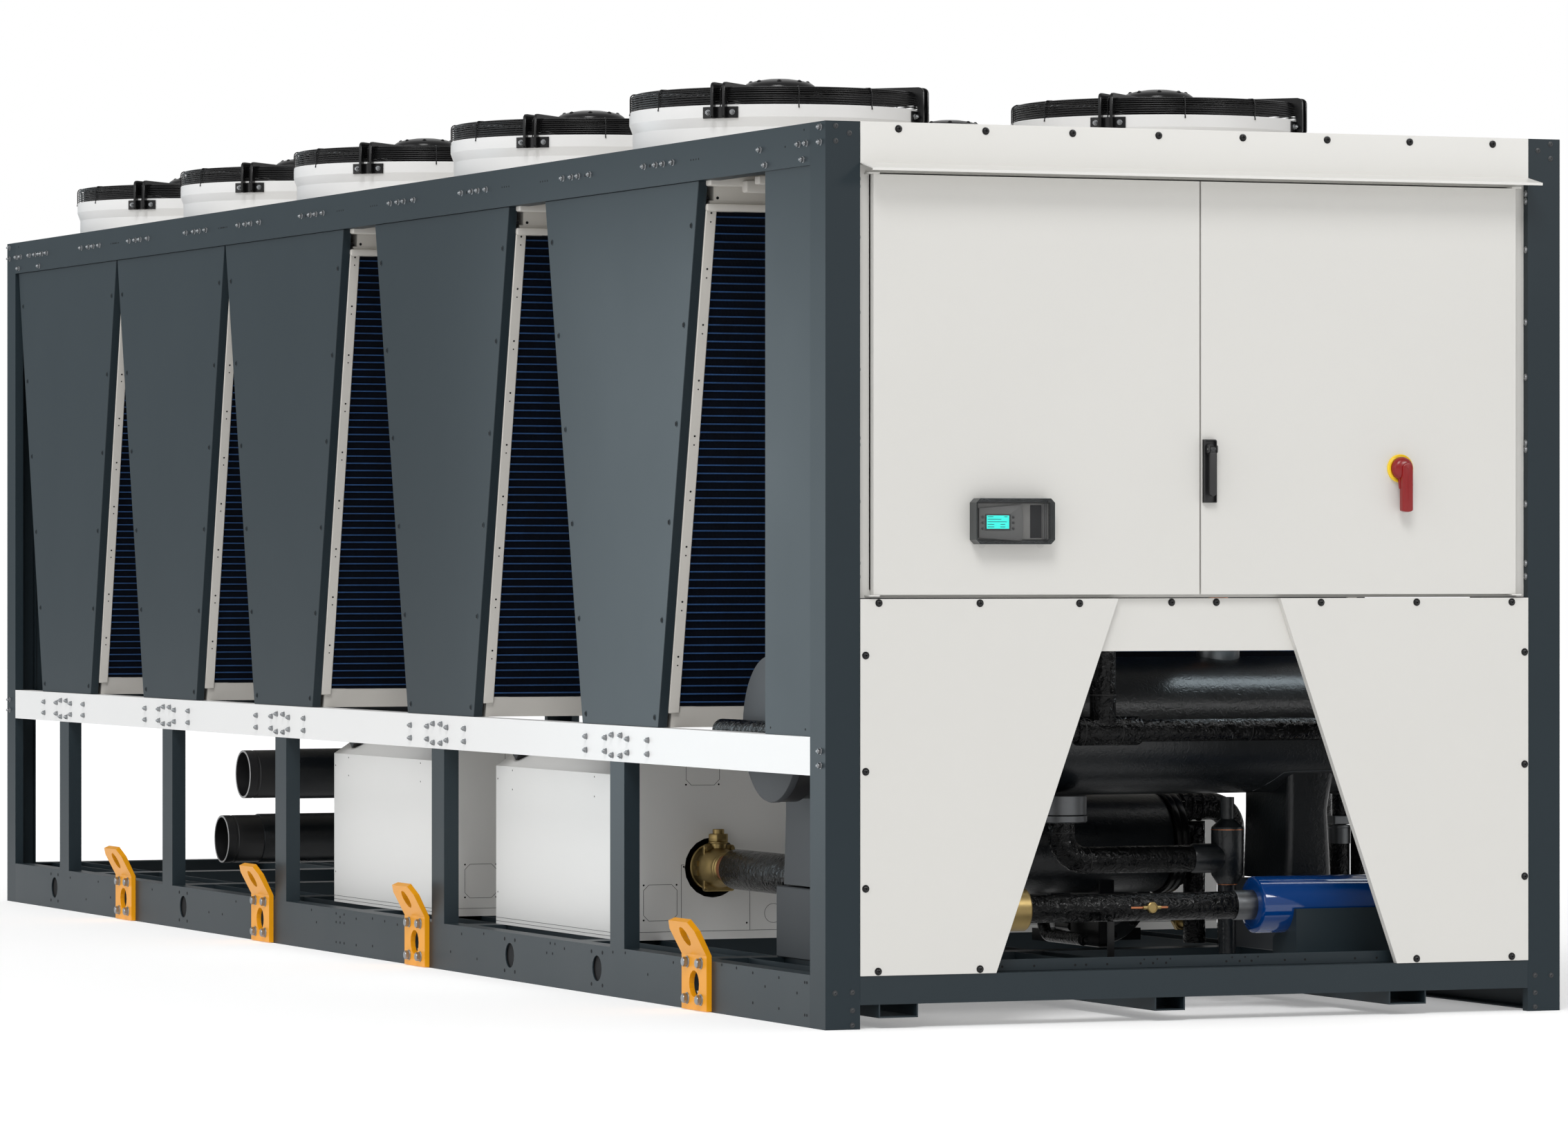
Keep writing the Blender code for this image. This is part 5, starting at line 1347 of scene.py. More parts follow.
# %% [markdown]
# ## Lines, vessel and machinery
# The lines are tube in foam sleeves, glued at seams. A line is a route with round bends, swept to a tube.
# Each seam is a narrow dark ring, and a tee is a thicker sleeve. Where a line is straight it could be a
# turned shape too, but one way of making them keeps every joint the same.

# %% Routes, seams and shapes laid along the unit
def laid(shape, facing, spot):
    """Lay a shape that was made standing up in one of the six directions."""
    return moved(shape, Matrix.Translation(spot) @ FACING[facing])


def bent(corners, bend, steps=7):
    """A route through corners with a quarter bend at each inner one."""
    corners = [Vector(corner) for corner in corners]
    route = [corners[0]]
    for before, corner, after in zip(corners, corners[1:], corners[2:]):
        back = (before - corner).normalized() * bend
        onward = (after - corner).normalized() * bend
        for i in range(steps + 1):
            turn = math.pi / 2 * i / steps
            route.append(corner + back * (1 - math.sin(turn)) + onward * (1 - math.cos(turn)))
    return route + [corners[-1]]


def sleeve(radius, length, edge=0.003, sides=40):
    """A straight sleeve with rounded ends, standing on z = 0."""
    section = [
        (0, 0), (radius - edge, 0), (radius - edge * 0.3, edge * 0.3), (radius, edge),
        (radius, length - edge), (radius - edge * 0.3, length - edge * 0.3), (radius - edge, length),
        (0, length)
    ]
    return lathe(section, sides)


def seam(radius, width=0.003):
    return lathe(
        [(radius - 0.004, 0), (radius + 0.0006, 0), (radius + 0.0006, width), (radius - 0.004, width)], 40,
        closed=True
    )


LINE_SIDES = 28
SEAM = make_material(
    "glued_foam_seam", recipe(moulded, 0.0, Colour=paint(0.002, 0.002, 0.002), Roughness=0.6)
)
floor_z = low("refrigerant_vessel").z
print("machinery stands at z", round(floor_z, 4))

# %% [markdown]
# The vessel is a welded drum on two legs under smooth foam board. A grey disc and a black band close each
# end. The legs are boxes with soft corners that widen where the board was folded out to meet the drum. A
# loft through rounded rectangles gives that flare, which a block can't.

# %% Rounded rectangles lofted into a leg
def rounded(low_a, high_a, low_b, high_b, radii, steps=5):
    """A rectangle with its own radius at each corner, from the low-low corner and round anticlockwise."""
    outline = []
    corners = ((low_a, low_b), (high_a, low_b), (high_a, high_b), (low_a, high_b))
    for i, ((a, b), radius) in enumerate(zip(corners, radii)):
        side_a = 1 if i in (0, 3) else -1
        side_b = 1 if i in (0, 1) else -1
        for j in range(steps + 1):
            turn = math.pi * (1 + i / 2) + math.pi / 2 * j / steps
            a_off, b_off = radius * math.cos(turn), radius * math.sin(turn)
            outline.append((a + side_a * radius + a_off, b + side_b * radius + b_off))
    return outline


def loft(rings, closed=False):
    """Skin rings of equally many points. A closed loft joins the last ring to the first."""
    count, points, faces = len(rings[0]), [Vector(point) for ring in rings for point in ring], []
    for i in range(len(rings) if closed else len(rings) - 1):
        a, b = i * count, (i + 1) % len(rings) * count
        for j in range(count):
            k = (j + 1) % count
            faces.append([a + j, a + k, b + k, b + j])
    if not closed:
        faces += [list(range(count))[::-1], list(range((len(rings) - 1) * count, len(rings) * count))]
    return points, faces


def leg(low_corner, high_corner, levels, radius):
    """A leg that widens by the given amounts at the given heights."""
    rings = []
    for z, left, right, depth in levels:
        outline = rounded(
            low_corner[0] - left, high_corner[0] + right,
            low_corner[1] - depth, high_corner[1] + depth, [radius] * 4
        )
        rings.append([(x, y, z) for x, y in outline])
    return loft(rings)


print("leg helpers ready")

# %% [markdown]
# The drum itself is a plain turned shape, so its section is a short list of points. The discs and bands
# at its ends are short sleeves on the same axis. Each leg stands on a smaller foot and runs up to the
# height of the drum's axis, so that no gap shows where the flare meets the round.

# %% Vessel, end discs and legs
DISC_RADIUS = 0.207
vessel_low, vessel_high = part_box("refrigerant_vessel")
vessel_y = (vessel_low.y + vessel_high.y) / 2
vessel_z = vessel_high.z - DISC_RADIUS
VESSEL_RADIUS = 0.197
LEG_FOOT = 0.35
LEG_FRONT = 0.14
leg_places = ((0.27, 0.5, 0.19), (1.706, 1.837, 0.156))

vessel_length = vessel_high.x - vessel_low.x
barrel = [
    (0.15, 0.02), (VESSEL_RADIUS, 0.02), (VESSEL_RADIUS, vessel_length - 0.02), (0.15, vessel_length - 0.02)
]
vessel_body = laid(lathe(barrel, 72), "right", (vessel_low.x, vessel_y, vessel_z))
discs, bands = [], []
for x, facing in ((vessel_low.x + 0.024, "left"), (vessel_high.x - 0.024, "right")):
    discs.append(laid(sleeve(DISC_RADIUS, 0.024, 0.004, 64), facing, (x, vessel_y, vessel_z)))
    inward = "right" if facing == "left" else "left"
    bands.append(laid(sleeve(DISC_RADIUS - 0.0015, 0.05, 0.002, 64), inward, (x, vessel_y, vessel_z)))
legs, feet = [], []
for left, right, back in leg_places:
    low_corner = (across(left), vessel_y - LEG_FRONT)
    high_corner = (across(right), vessel_y + back)
    flare = [
        (LEG_FOOT + 0.002, 0.006, 0.012, 0), (0.55, 0, 0, 0), (0.6, 0, 0.008, 0), (0.65, 0, 0.02, 0),
        (vessel_z, 0, 0.03, 0)
    ]
    legs.append(leg(low_corner, high_corner, flare, 0.022))
    steps = [(floor_z, 0.012, 0.012, 0.036), (LEG_FOOT - 0.004, 0.012, 0.012, 0.036)]
    feet.append(leg(low_corner, high_corner, steps, 0.016))
feet = softened(joined(feet), 0.003, 1)
print("vessel", round(vessel_length, 3), "m long on", len(legs), "legs")

# %% [markdown]
# Under the vessel hangs a drain line: down from a steel outlet, along under the drum and up to a valve. The
# steel outlet has a bright clamp ring. The valve's sleeve is tapered foam between two thin copper rings.

# %% The drain line
DRAIN_LEFT, DRAIN_RIGHT = 0.9948, 1.5192
DRAIN_Y = vessel_y - 0.12
DRAIN_Z = 0.418
DRAIN_RADIUS = 0.0388
drain_x = [across(DRAIN_LEFT), across(DRAIN_RIGHT)]
route = bent(
    [(drain_x[0], DRAIN_Y, 0.53), (drain_x[0], DRAIN_Y, DRAIN_Z), (drain_x[1] - 0.02, DRAIN_Y, DRAIN_Z)],
    0.075
)
drain_pipe = sweep(route, DRAIN_RADIUS, LINE_SIDES)
neck = [
    (0.02, 0.592), (0.02, 0.53), (0.0455, 0.506), (0.0465, 0.495), (0.046, 0.37), (0.03, 0.345),
    (0.0245, 0.34), (0.0245, floor_z)
]
valve_stem = moved(lathe(neck, 32), Matrix.Translation((drain_x[1], DRAIN_Y, 0)))
elbow = laid(sleeve(DRAIN_RADIUS + 0.0035, 0.1, 0.012), "right", (drain_x[1] - 0.12, DRAIN_Y, DRAIN_Z))
drain_seams = [
    laid(seam(DRAIN_RADIUS), "right", (drain_x[0] + 0.078, DRAIN_Y, DRAIN_Z)),
    moved(seam(DRAIN_RADIUS), Matrix.Translation((drain_x[0], DRAIN_Y, DRAIN_Z + 0.078)))
]
outlet = [(0.03, 0.548), (0.071, 0.548), (0.0725, 0.55), (0.0725, 0.602), (0.07, 0.604), (0, 0.604)]
clamp_ring = [(0.03, 0.527), (0.071, 0.527), (0.0745, 0.53), (0.0745, 0.546), (0.03, 0.548)]
outlet_parts = [
    moved(lathe(section, 48), Matrix.Translation((drain_x[0], DRAIN_Y, 0)))
    for section in (outlet, clamp_ring)
]
copper_rings = [
    moved(seam(radius, 0.002), Matrix.Translation((drain_x[1], DRAIN_Y, z)))
    for radius, z in ((0.0462, 0.4985), (0.0285, 0.341))
]
print("drain line ends", DRAIN_LEFT, DRAIN_RIGHT, "m across")

# %% Top fitting, jacket seam and the finished vessel
TOP_U = 1.548
top_spot = Matrix.Translation((across(TOP_U), vessel_y, vessel_z + VESSEL_RADIUS - 0.015))
top_fitting = moved(sleeve(0.0625, 0.052, 0.003), top_spot)
top_copper = moved(lathe([(0.05, 0.05), (0.045, 0.06), (0.03, 0.064), (0.028, 0.3), (0, 0.3)], 24), top_spot)
jacket = []
for u, height in ((1.634, -0.19), (1.66, -0.165), (1.69, -0.135), (1.72, -0.132), (1.98, -0.13)):
    forward = math.sqrt(VESSEL_RADIUS ** 2 - height ** 2)
    jacket.append((across(u), vessel_y - forward, vessel_z + height))
jacket_seam = sweep(jacket, 0.0022, 8)
# The right leg takes the black foam skin where the left one is grey board: painted shade for the shadow it
# stands in.
vessel_parts = [
    (vessel_body, SMOOTH_FOAM), (jacket_seam, GREY_FOAM), (joined(discs), GREY_FOAM),
    (joined(bands), BLACK_PLASTIC), (legs[0], GREY_FOAM), (legs[1], SMOOTH_FOAM), (feet, GREY_FOAM),
    (drain_pipe, FOAM), (joined([elbow, valve_stem]), SMOOTH_FOAM), (joined(drain_seams), SEAM),
    (joined([*outlet_parts, top_fitting]), DULL_STEEL), (joined([*copper_rings, top_copper]), COPPER)
]
make_piece("vessel_and_drain", vessel_parts, "insulation_foam", replaces=["refrigerant_vessel"])

# %% [markdown]
# The header line runs in front of the vessel, with a tee for the riser behind the cabinet. Foam tube is cut
# and glued at each tee, so the pieces stay separate tubes that meet, with thin rings for the seams.

# %% Header line
header_low, header_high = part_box("header_line")
HEADER_Z = 0.79
HEADER_RADIUS = 0.032
RISER_RADIUS = 0.037
RISER_U = 1.045
header_y = header_low.y + 0.0435
header_end = across(1.9)
corner_x = header_low.x + 0.0375
back_y = header_high.y
route = bent(
    [(header_end, header_y, HEADER_Z), (corner_x, header_y, HEADER_Z), (corner_x, back_y, HEADER_Z)], 0.06
)
run = sweep(route, HEADER_RADIUS, LINE_SIDES)
riser_x = across(RISER_U)
riser = moved(
    sleeve(RISER_RADIUS, header_high.z - HEADER_Z, 0.004), Matrix.Translation((riser_x, header_y, HEADER_Z))
)
tee = laid(sleeve(HEADER_RADIUS + 0.009, 0.2, 0.006), "right", (across(0.958), header_y, HEADER_Z))
end_cap = laid(sleeve(HEADER_RADIUS + 0.003, 0.05, 0.006), "left", (header_end + 0.002, header_y, HEADER_Z))
seams = [laid(seam(HEADER_RADIUS + 0.009), "right", (across(u), header_y, HEADER_Z)) for u in (0.975, 1.09)]
seams += [laid(seam(HEADER_RADIUS), "right", (across(u), header_y, HEADER_Z)) for u in (0.5, 1.5)]
seams.append(moved(seam(RISER_RADIUS), Matrix.Translation((riser_x, header_y, HEADER_Z + 0.1))))
header_parts = [(joined([run, riser, tee, end_cap]), FOAM), (joined(seams), SEAM)]
make_piece("header_line_in_foam", header_parts, "insulation_foam", replaces=["header_line"])

# %% [markdown]
# The liquid line crosses low from a brass union to the filter drier, and carries a small brass sight
# glass on copper stubs. Brass fittings are turned and have hexagons, so each is a lathe shape or a
# six-sided push, and the glass sits a little sunk in its turned rim.

# %% Liquid line and union
LIQUID_Z = 0.297
LIQUID_RADIUS = 0.0392
UNION_U = (0.658, 0.753)
DRIER_START = 1.46
liquid_y = (low("filter_drier").y + high("filter_drier").y) / 2
pipe_end = across(1.402)
pipe = laid(
    sleeve(LIQUID_RADIUS, pipe_end - across(0.74), 0.003), "right", (across(0.74), liquid_y, LIQUID_Z)
)
union_length = UNION_U[1] - UNION_U[0]
union = [
    (0, 0), (0.05, 0), (0.058, 0.004), (0.058, 0.03), (0.0605, 0.033), (0.0605, union_length - 0.004),
    (0.057, union_length), (0.036, union_length), (0, union_length)
]
union = laid(lathe(union, 56), "right", (across(UNION_U[0]), liquid_y, LIQUID_Z))
union_hex = push(
    [(liquid_y + a * 1.02, LIQUID_Z + b * 1.02) for a, b in hexagon(0.1)], "X", across(0.62),
    across(UNION_U[0]) + 0.002
)
stub = laid(sleeve(0.034, 0.08, 0.004), "left", (across(0.63), liquid_y, LIQUID_Z))
print("union", round(union_length, 3), "m long")

# %% The sight glass on its stubs
glass_spot = (across(1.128), liquid_y - LIQUID_RADIUS + 0.002, LIQUID_Z)
glass = [(0, 0), (0.0155, 0), (0.0155, 0.009), (0.013, 0.011), (0.0115, 0.011), (0.011, 0.0095), (0, 0.0095)]
glass = laid(joined([lathe(glass, 24), hex_head(0.029, 0.007, 0)]), "front", glass_spot)
arm_z = LIQUID_Z
arm_ends = [
    (glass_spot[0] - 0.027, glass_spot[1] - 0.003, arm_z),
    (glass_spot[0] + 0.027, glass_spot[1] - 0.003, arm_z)
]
arms = sweep(arm_ends, 0.0052, 12)
stub_ends = [(glass_spot[0] - 0.064, glass_spot[1], arm_z), (glass_spot[0] + 0.05, glass_spot[1], arm_z)]
stubs = sweep(stub_ends, 0.0034, 10)
saddle_low = (across(1.02), liquid_y + 0.02, floor_z)
saddle_high = (across(1.04), liquid_y + 0.026, LIQUID_Z - 0.02)
saddle = block(saddle_low, saddle_high)
liquid_parts = [
    (joined([pipe, stub]), FOAM), (joined([union, union_hex, glass, arms]), BRASS), (stubs, COPPER),
    (saddle, BLACK_COAT)
]
make_piece("liquid_line_in_foam", liquid_parts, "insulation_foam", replaces=["liquid_line"])

# %% [markdown]
# The filter drier is a short pressure vessel in glossy blue enamel, so its end is a turned curve with a
# rolled edge and the coat is nearly a mirror. A steel sleeve joins it to the line. Its cradle is folded
# from anthracite sheet with a notch that the drum rests in.

# %% Filter drier
drier_end = high("filter_drier").x
DRIER_RADIUS = 0.0805
drum_length = drier_end - across(DRIER_START)
drum = [
    (0, 0), (0.06, 0), (DRIER_RADIUS - 0.005, 0.001), (DRIER_RADIUS - 0.001, 0.004),
    (DRIER_RADIUS, 0.009), (DRIER_RADIUS, drum_length - 0.03),
    (DRIER_RADIUS - 0.006, drum_length - 0.012), (0.055, drum_length), (0, drum_length)
]
drum = laid(lathe(drum, 96), "right", (across(DRIER_START), liquid_y, LIQUID_Z))
steel_sleeve = laid(sleeve(0.042, 0.066, 0.002, 48), "right", (across(1.399), liquid_y, LIQUID_Z))
print("drier", round(drum_length, 3), "m long")

# %% The drier's cradle
CRADLE_U = (1.553, 1.86)
cradle_front, cradle_back = liquid_y - 0.095, liquid_y + 0.095
CRADLE_TOP = 0.288
plate = [
    (across(CRADLE_U[0]), floor_z), (across(CRADLE_U[1]), floor_z),
    (across(CRADLE_U[1]), CRADLE_TOP - 0.05), (across(CRADLE_U[1] - 0.03), CRADLE_TOP),
    (across(CRADLE_U[0]), CRADLE_TOP)
]
gusset = [
    (cradle_front + 0.003, floor_z), (cradle_back - 0.04, floor_z), (cradle_back - 0.04, 0.2),
    (cradle_front + 0.03, CRADLE_TOP), (cradle_front + 0.003, CRADLE_TOP)
]
cradle = [push(plate, "Y", cradle_front, cradle_front + 0.003)]
cradle += [push(gusset, "X", across(u), across(u) + 0.003) for u in (CRADLE_U[0], CRADLE_U[1] - 0.003)]
cradle.append(
    block(
        (across(CRADLE_U[0]) + 0.003, cradle_front + 0.003, floor_z),
        (across(CRADLE_U[1]) - 0.003, cradle_back - 0.04, floor_z + 0.003)
    )
)
cradle.append(
    block(
        (across(CRADLE_U[0]) + 0.02, liquid_y - 0.05, floor_z + 0.003),
        (across(CRADLE_U[1]) - 0.02, liquid_y + 0.05, LIQUID_Z - DRIER_RADIUS + 0.004)
    )
)
drier_parts = [(drum, BLUE), (steel_sleeve, DULL_STEEL), (joined(cradle), ANTHRACITE)]
make_piece("filter_drier_and_cradle", drier_parts, "blue_enamel", replaces=["filter_drier"])

# %% [markdown]
# Behind the lines lies an oil drum with a bolted end flange. A compressor's end cover shows its lower
# bolts under it, with two open gauge stubs. Discharge pipes rise beside them. None of this was meant to
# be seen, so all but two brass taps and a steel collar is black, and only edges and bolts catch light.

# %% Oil drum
black_bolt = joined([washer(0.012, 0.003), hex_head(0.019, 0.012, 0.003)])
drum_low, drum_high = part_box("oil_separator")
separator_y = (drum_low.y + drum_high.y) / 2
SEPARATOR_Z = 0.445
SEPARATOR_RADIUS = 0.145
SEPARATOR_END = 1.575
separator_length = across(SEPARATOR_END) - drum_low.x
shell = [
    (0, 0), (0.06, 0.002), (0.11, 0.014), (0.137, 0.04), (SEPARATOR_RADIUS, 0.08),
    (SEPARATOR_RADIUS, separator_length - 0.06), (SEPARATOR_RADIUS - 0.004, separator_length - 0.052),
    (SEPARATOR_RADIUS - 0.012, separator_length - 0.05), (0, separator_length - 0.05)
]
shell = laid(lathe(shell, 64), "right", (drum_low.x, separator_y, SEPARATOR_Z))
flange_x = across(SEPARATOR_END) - 0.045
flanges = [
    laid(sleeve(0.152, 0.018, 0.002, 56), "right", (flange_x, separator_y, SEPARATOR_Z)),
    laid(sleeve(0.15, 0.022, 0.003, 56), "right", (flange_x + 0.02, separator_y, SEPARATOR_Z))
]
ears = []
flange_middle = Matrix.Translation((flange_x + 0.042, separator_y, SEPARATOR_Z))
for i in range(10):
    turn = Matrix.Rotation(math.pi / 5 * i, 4, "X")
    stand = flange_middle @ turn @ Matrix.Translation((0, 0, 0.138)) @ FACING["right"]
    ears.append(moved(black_bolt, stand))
supports = []
for u in (0.74, 1.3):
    low_corner = (across(u), separator_y - 0.1, floor_z)
    supports.append(
        softened(block(low_corner, (across(u) + 0.05, separator_y + 0.1, SEPARATOR_Z - 0.08)), 0.003, 1)
    )
print("drum bolts", len(ears))

# %% The compressor's end cover
COVER_Y = along(1.36)
COVER_U, COVER_Z = 1.455, 0.3
cover_spot = (across(COVER_U), COVER_Y + 0.2, COVER_Z)
cover = [
    (0, 0), (0.14, 0), (0.145, 0.004), (0.145, 0.165), (0.166, 0.167), (0.168, 0.169), (0.168, 0.186),
    (0.165, 0.189), (0.165, 0.193), (0.163, 0.2), (0.12, 0.2), (0.11, 0.208), (0.05, 0.214), (0, 0.214)
]
cover = laid(lathe(cover, 56), "front", cover_spot)
cover_bolts = []
cover_middle = Matrix.Translation((cover_spot[0], COVER_Y, COVER_Z))
for i in range(12):
    turn = Matrix.Rotation(math.pi / 6 * i + 0.25, 4, "Y")
    stand = cover_middle @ turn @ Matrix.Translation((0, 0, 0.143)) @ FACING["front"]
    cover_bolts.append(moved(black_bolt, stand))
foot_plate_low = (across(1.3), COVER_Y + 0.03, floor_z)
foot_plate_high = (across(1.6), COVER_Y + 0.15, 0.18)
cover_foot = block(foot_plate_low, foot_plate_high)
stub_section = [(0.0135, 0), (0.0135, 0.09), (0.0125, 0.091), (0.0105, 0.091), (0.0105, 0.01), (0, 0.01)]
gauge_stubs = [
    laid(lathe(stub_section, 20), "front", (across(u), COVER_Y - 0.02, z))
    for u, z in ((1.31, 0.195), (1.43, 0.172))
]
print("cover bolts", len(cover_bolts))

# %% Pipes behind the lines
discharge = bent(
    [
        (across(SEPARATOR_END) - 0.03, separator_y, 0.548), (across(1.776), separator_y, 0.548),
        (across(1.776), separator_y, floor_z)
    ],
    0.07
)
rises = [
    sweep(discharge, 0.04, LINE_SIDES),
    moved(sleeve(0.033, 0.36, 0.003), Matrix.Translation((across(1.675), separator_y + 0.04, floor_z)))
]
rings = [
    laid(sleeve(0.0435, 0.012, 0.004), "right", (across(u), separator_y, 0.548))
    for u in (1.6, 1.632, 1.664)
]
side_riser = Matrix.Translation((across(2.062), along(1.0), 0))
riser_section = [
    (0.031, floor_z), (0.031, 0.438), (0.02, 0.438), (0.02, 0.52), (0.022, 0.521), (0.022, 1.0), (0, 1.0)
]
rises.append(moved(lathe(riser_section, 28), side_riser))
for u, v, radius, top in ((2.12, 0.98, 0.028, 0.9), (2.165, 1.05, 0.028, 0.9), (2.1, 1.2, 0.035, 0.9)):
    rises.append(
        moved(sleeve(radius, top - floor_z, 0.003), Matrix.Translation((across(u), along(v), floor_z)))
    )
collar_steel = [(0.02, 0.438), (0.0325, 0.438), (0.0325, 0.484), (0.034, 0.486), (0.034, 0.492)]
side_steel = [lathe(collar_steel + [(0.02, 0.494)], 28)]
steel_block = push(rounded(-0.033, 0.033, -0.03, 0.03, [0.006] * 4), "Z", 0.495, 0.52)
side_steel.append(softened(steel_block, 0.002, 1))
side_steel = [moved(shape, side_riser) for shape in side_steel]
print("rising pipes", len(rises))

# %% Brass taps and a hose
brass_tap = joined(
    [hex_head(0.05, 0.02, 0), lathe([(0.016, 0.018), (0.016, 0.04), (0.012, 0.045), (0, 0.045)], 18)]
)
brass_taps = [
    moved(brass_tap, Matrix.Translation((across(1.98), along(1.05), 0.31))),
    laid(brass_tap, "front", (across(1.66), along(1.25), 0.205))
]
hose = bent(
    [(across(1.24), along(1.3), 0.26), (across(1.24), along(1.3), 0.17), (across(1.24), along(1.02), 0.17)],
    0.05
)
behind_parts = [
    (joined([shell, cover]), SMOOTH_FOAM),
    (joined([*flanges, *ears, *supports, *cover_bolts, cover_foot, *gauge_stubs]), BLACK_COAT),
    (joined([*rises, *rings, sweep(hose, 0.018, 16)]), FOAM), (joined(side_steel), DULL_STEEL),
    (joined(brass_taps), BRASS)
]
make_piece("oil_drum_and_pipes", behind_parts, "insulation_foam", replaces=["oil_separator"])

# %% [markdown]
# The suction line meets the near enclosure at a brass valve in a dark round hole. The valve is turned: a
# flange ring, a cone and a bead where the copper tube enters. Behind the cone is a flat plate with bolts
# at its corners, and a hexagon cap points up.

# %% The valve body
suction_low, suction_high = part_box("suction_line")
suction_x = (suction_low.x + suction_high.x) / 2
enclosure_front = low("compressor_enclosure_1").y
SUCTION_Z = 0.36
valve_back = enclosure_front + 0.05
valve_section = [
    (0, 0), (0.066, 0), (0.066, 0.04), (0.0705, 0.041), (0.0705, 0.046), (0.067, 0.048), (0.0625, 0.06),
    (0.061, 0.07), (0.0625, 0.098), (0.0615, 0.104), (0.0508, 0.149), (0.0475, 0.155), (0.0475, 0.163),
    (0.0452, 0.166), (0.0468, 0.17), (0.0462, 0.176), (0.043, 0.18), (0, 0.18)
]
valve_body = laid(lathe(valve_section, 64), "front", (suction_x, valve_back, SUCTION_Z))
copper_tube = laid(
    lathe([(0, 0.17), (0.0425, 0.17), (0.0425, 0.25), (0, 0.25)], 40), "front",
    (suction_x, valve_back, SUCTION_Z)
)
print("valve stands", valve_back - enclosure_front, "m inside the face")

# %% The valve's plate and cap
plate_y = enclosure_front - 0.045
plate_outline = rounded(
    suction_x - 0.049, suction_x + 0.049, SUCTION_Z - 0.071, SUCTION_Z + 0.067, [0.008] * 4
)
valve_plate = softened(push(plate_outline, "Y", plate_y - 0.007, plate_y + 0.007), 0.0015, 1)
plate_bolt = joined([washer(0.0085, 0.002), hex_head(0.013, 0.009, 0.002)])
plate_bolts = spread(
    plate_bolt,
    [(suction_x + a, plate_y - 0.007, SUCTION_Z + b) for a in (-0.039, 0.039) for b in (-0.061, 0.057)],
    "front"
)
cap_spot = Matrix.Translation((suction_x, plate_y, SUCTION_Z))
cap_neck = moved(
    lathe([(0.024, 0.05), (0.024, 0.07), (0.03, 0.072), (0.03, 0.075), (0, 0.075)], 32), cap_spot
)
cap_nut = moved(softened(push(hexagon(0.054), "Z", 0.0755, 0.0995), 0.0015, 1), cap_spot)
cap_top = moved(lathe([(0.0172, 0.0995), (0.0172, 0.112), (0.0158, 0.1135), (0, 0.1135)], 28), cap_spot)
pads = [
    block(
        (suction_x - 0.066, enclosure_front - 0.038, SUCTION_Z + z),
        (suction_x - 0.055, enclosure_front - 0.012, SUCTION_Z + z + 0.016)
    )
    for z in (0.004, -0.024)
]
print("pads", len(pads))

# %% The wrapped line and the dark hole
line_start = enclosure_front - 0.19
line_end = vessel_y + leg_places[0][2] - 0.01
foam_line = laid(sleeve(0.0592, line_start - line_end, 0.004), "front", (suction_x, line_start, SUCTION_Z))
# The hole's black lining is painted shade inside the round hole.
hole_shade_lining = laid(
    lathe([(0.0893, 0), (0.0893, 0.118), (0.0888, 0.118), (0.0888, 0.0005), (0, 0.0005), (0, 0)], 48),
    "front", (suction_x, enclosure_front + 0.1185, SUCTION_Z - 0.002)
)
suction_parts = [
    (foam_line, FOAM), (copper_tube, COPPER), (hole_shade_lining, HOLE),
    (joined([valve_body, valve_plate, plate_bolts, cap_neck, cap_nut, cap_top, *pads]), BRASS)
]
make_piece("suction_line_and_valve", suction_parts, "insulation_foam", replaces=["suction_line"])

# %% [markdown]
# The two water pipes are steel tube with a rolled groove near the mouth for a clamp. Bare paint shows on
# the first stretch, and the foam wrap starts behind it. The mouths are real bores, dark inside with a
# light cut edge. The evaporator behind them is a stack of plates between two thick covers, in foam.

# %% Water pipes
WATER_RADIUS = 0.0845
MOUTH_U = 0.2
FOAM_START = 0.13
BORE = 0.0765
water_y = (along(5.69), along(5.93))
water_z = (0.533, 0.3)
evaporator_low, evaporator_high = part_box("evaporator")
block_x = across(0.9)
BARE_PIPE = make_material(
    "bare_black_pipe",
    recipe(powder_coat, 0.00003, Colour=paint(0.012, 0.012, 0.013), Drift=0.1, Roughness=0.4)
)
CUT_EDGE = make_material(
    "cut_steel_edge", recipe(bare_metal, 0.00002, 0.6, Colour=paint(0.5, 0.5, 0.5), Roughness=0.35)
)
bare_section = [
    (BORE, 0.15), (BORE, 0.0015), (0.083, 0.0015), (0.083, 0.03), (0.0815, 0.032), (0.0815, 0.038),
    (0.083, 0.04), (0.083, FOAM_START + 0.01), (0.07, FOAM_START + 0.01), (0.07, 0.151), (0, 0.151),
    (0, 0.15)
]
edge_section = [(BORE, 0.0016), (BORE, 0.0), (0.0825, 0.0), (0.083, 0.0005), (0.083, 0.0016)]
bare_pipes, edges, wrapped = [], [], []
for y, z in zip(water_y, water_z):
    spot = (across(MOUTH_U), y, z)
    bare_pipes.append(laid(lathe(bare_section, 56), "right", spot))
    edges.append(laid(lathe(edge_section, 56), "right", spot))
    length = block_x + 0.06 - across(MOUTH_U) - FOAM_START
    wrapped.append(
        laid(sleeve(WATER_RADIUS + 0.002, length, 0.003, 48), "right", (across(MOUTH_U + FOAM_START), y, z))
    )
print("water pipe mouths", len(bare_pipes))

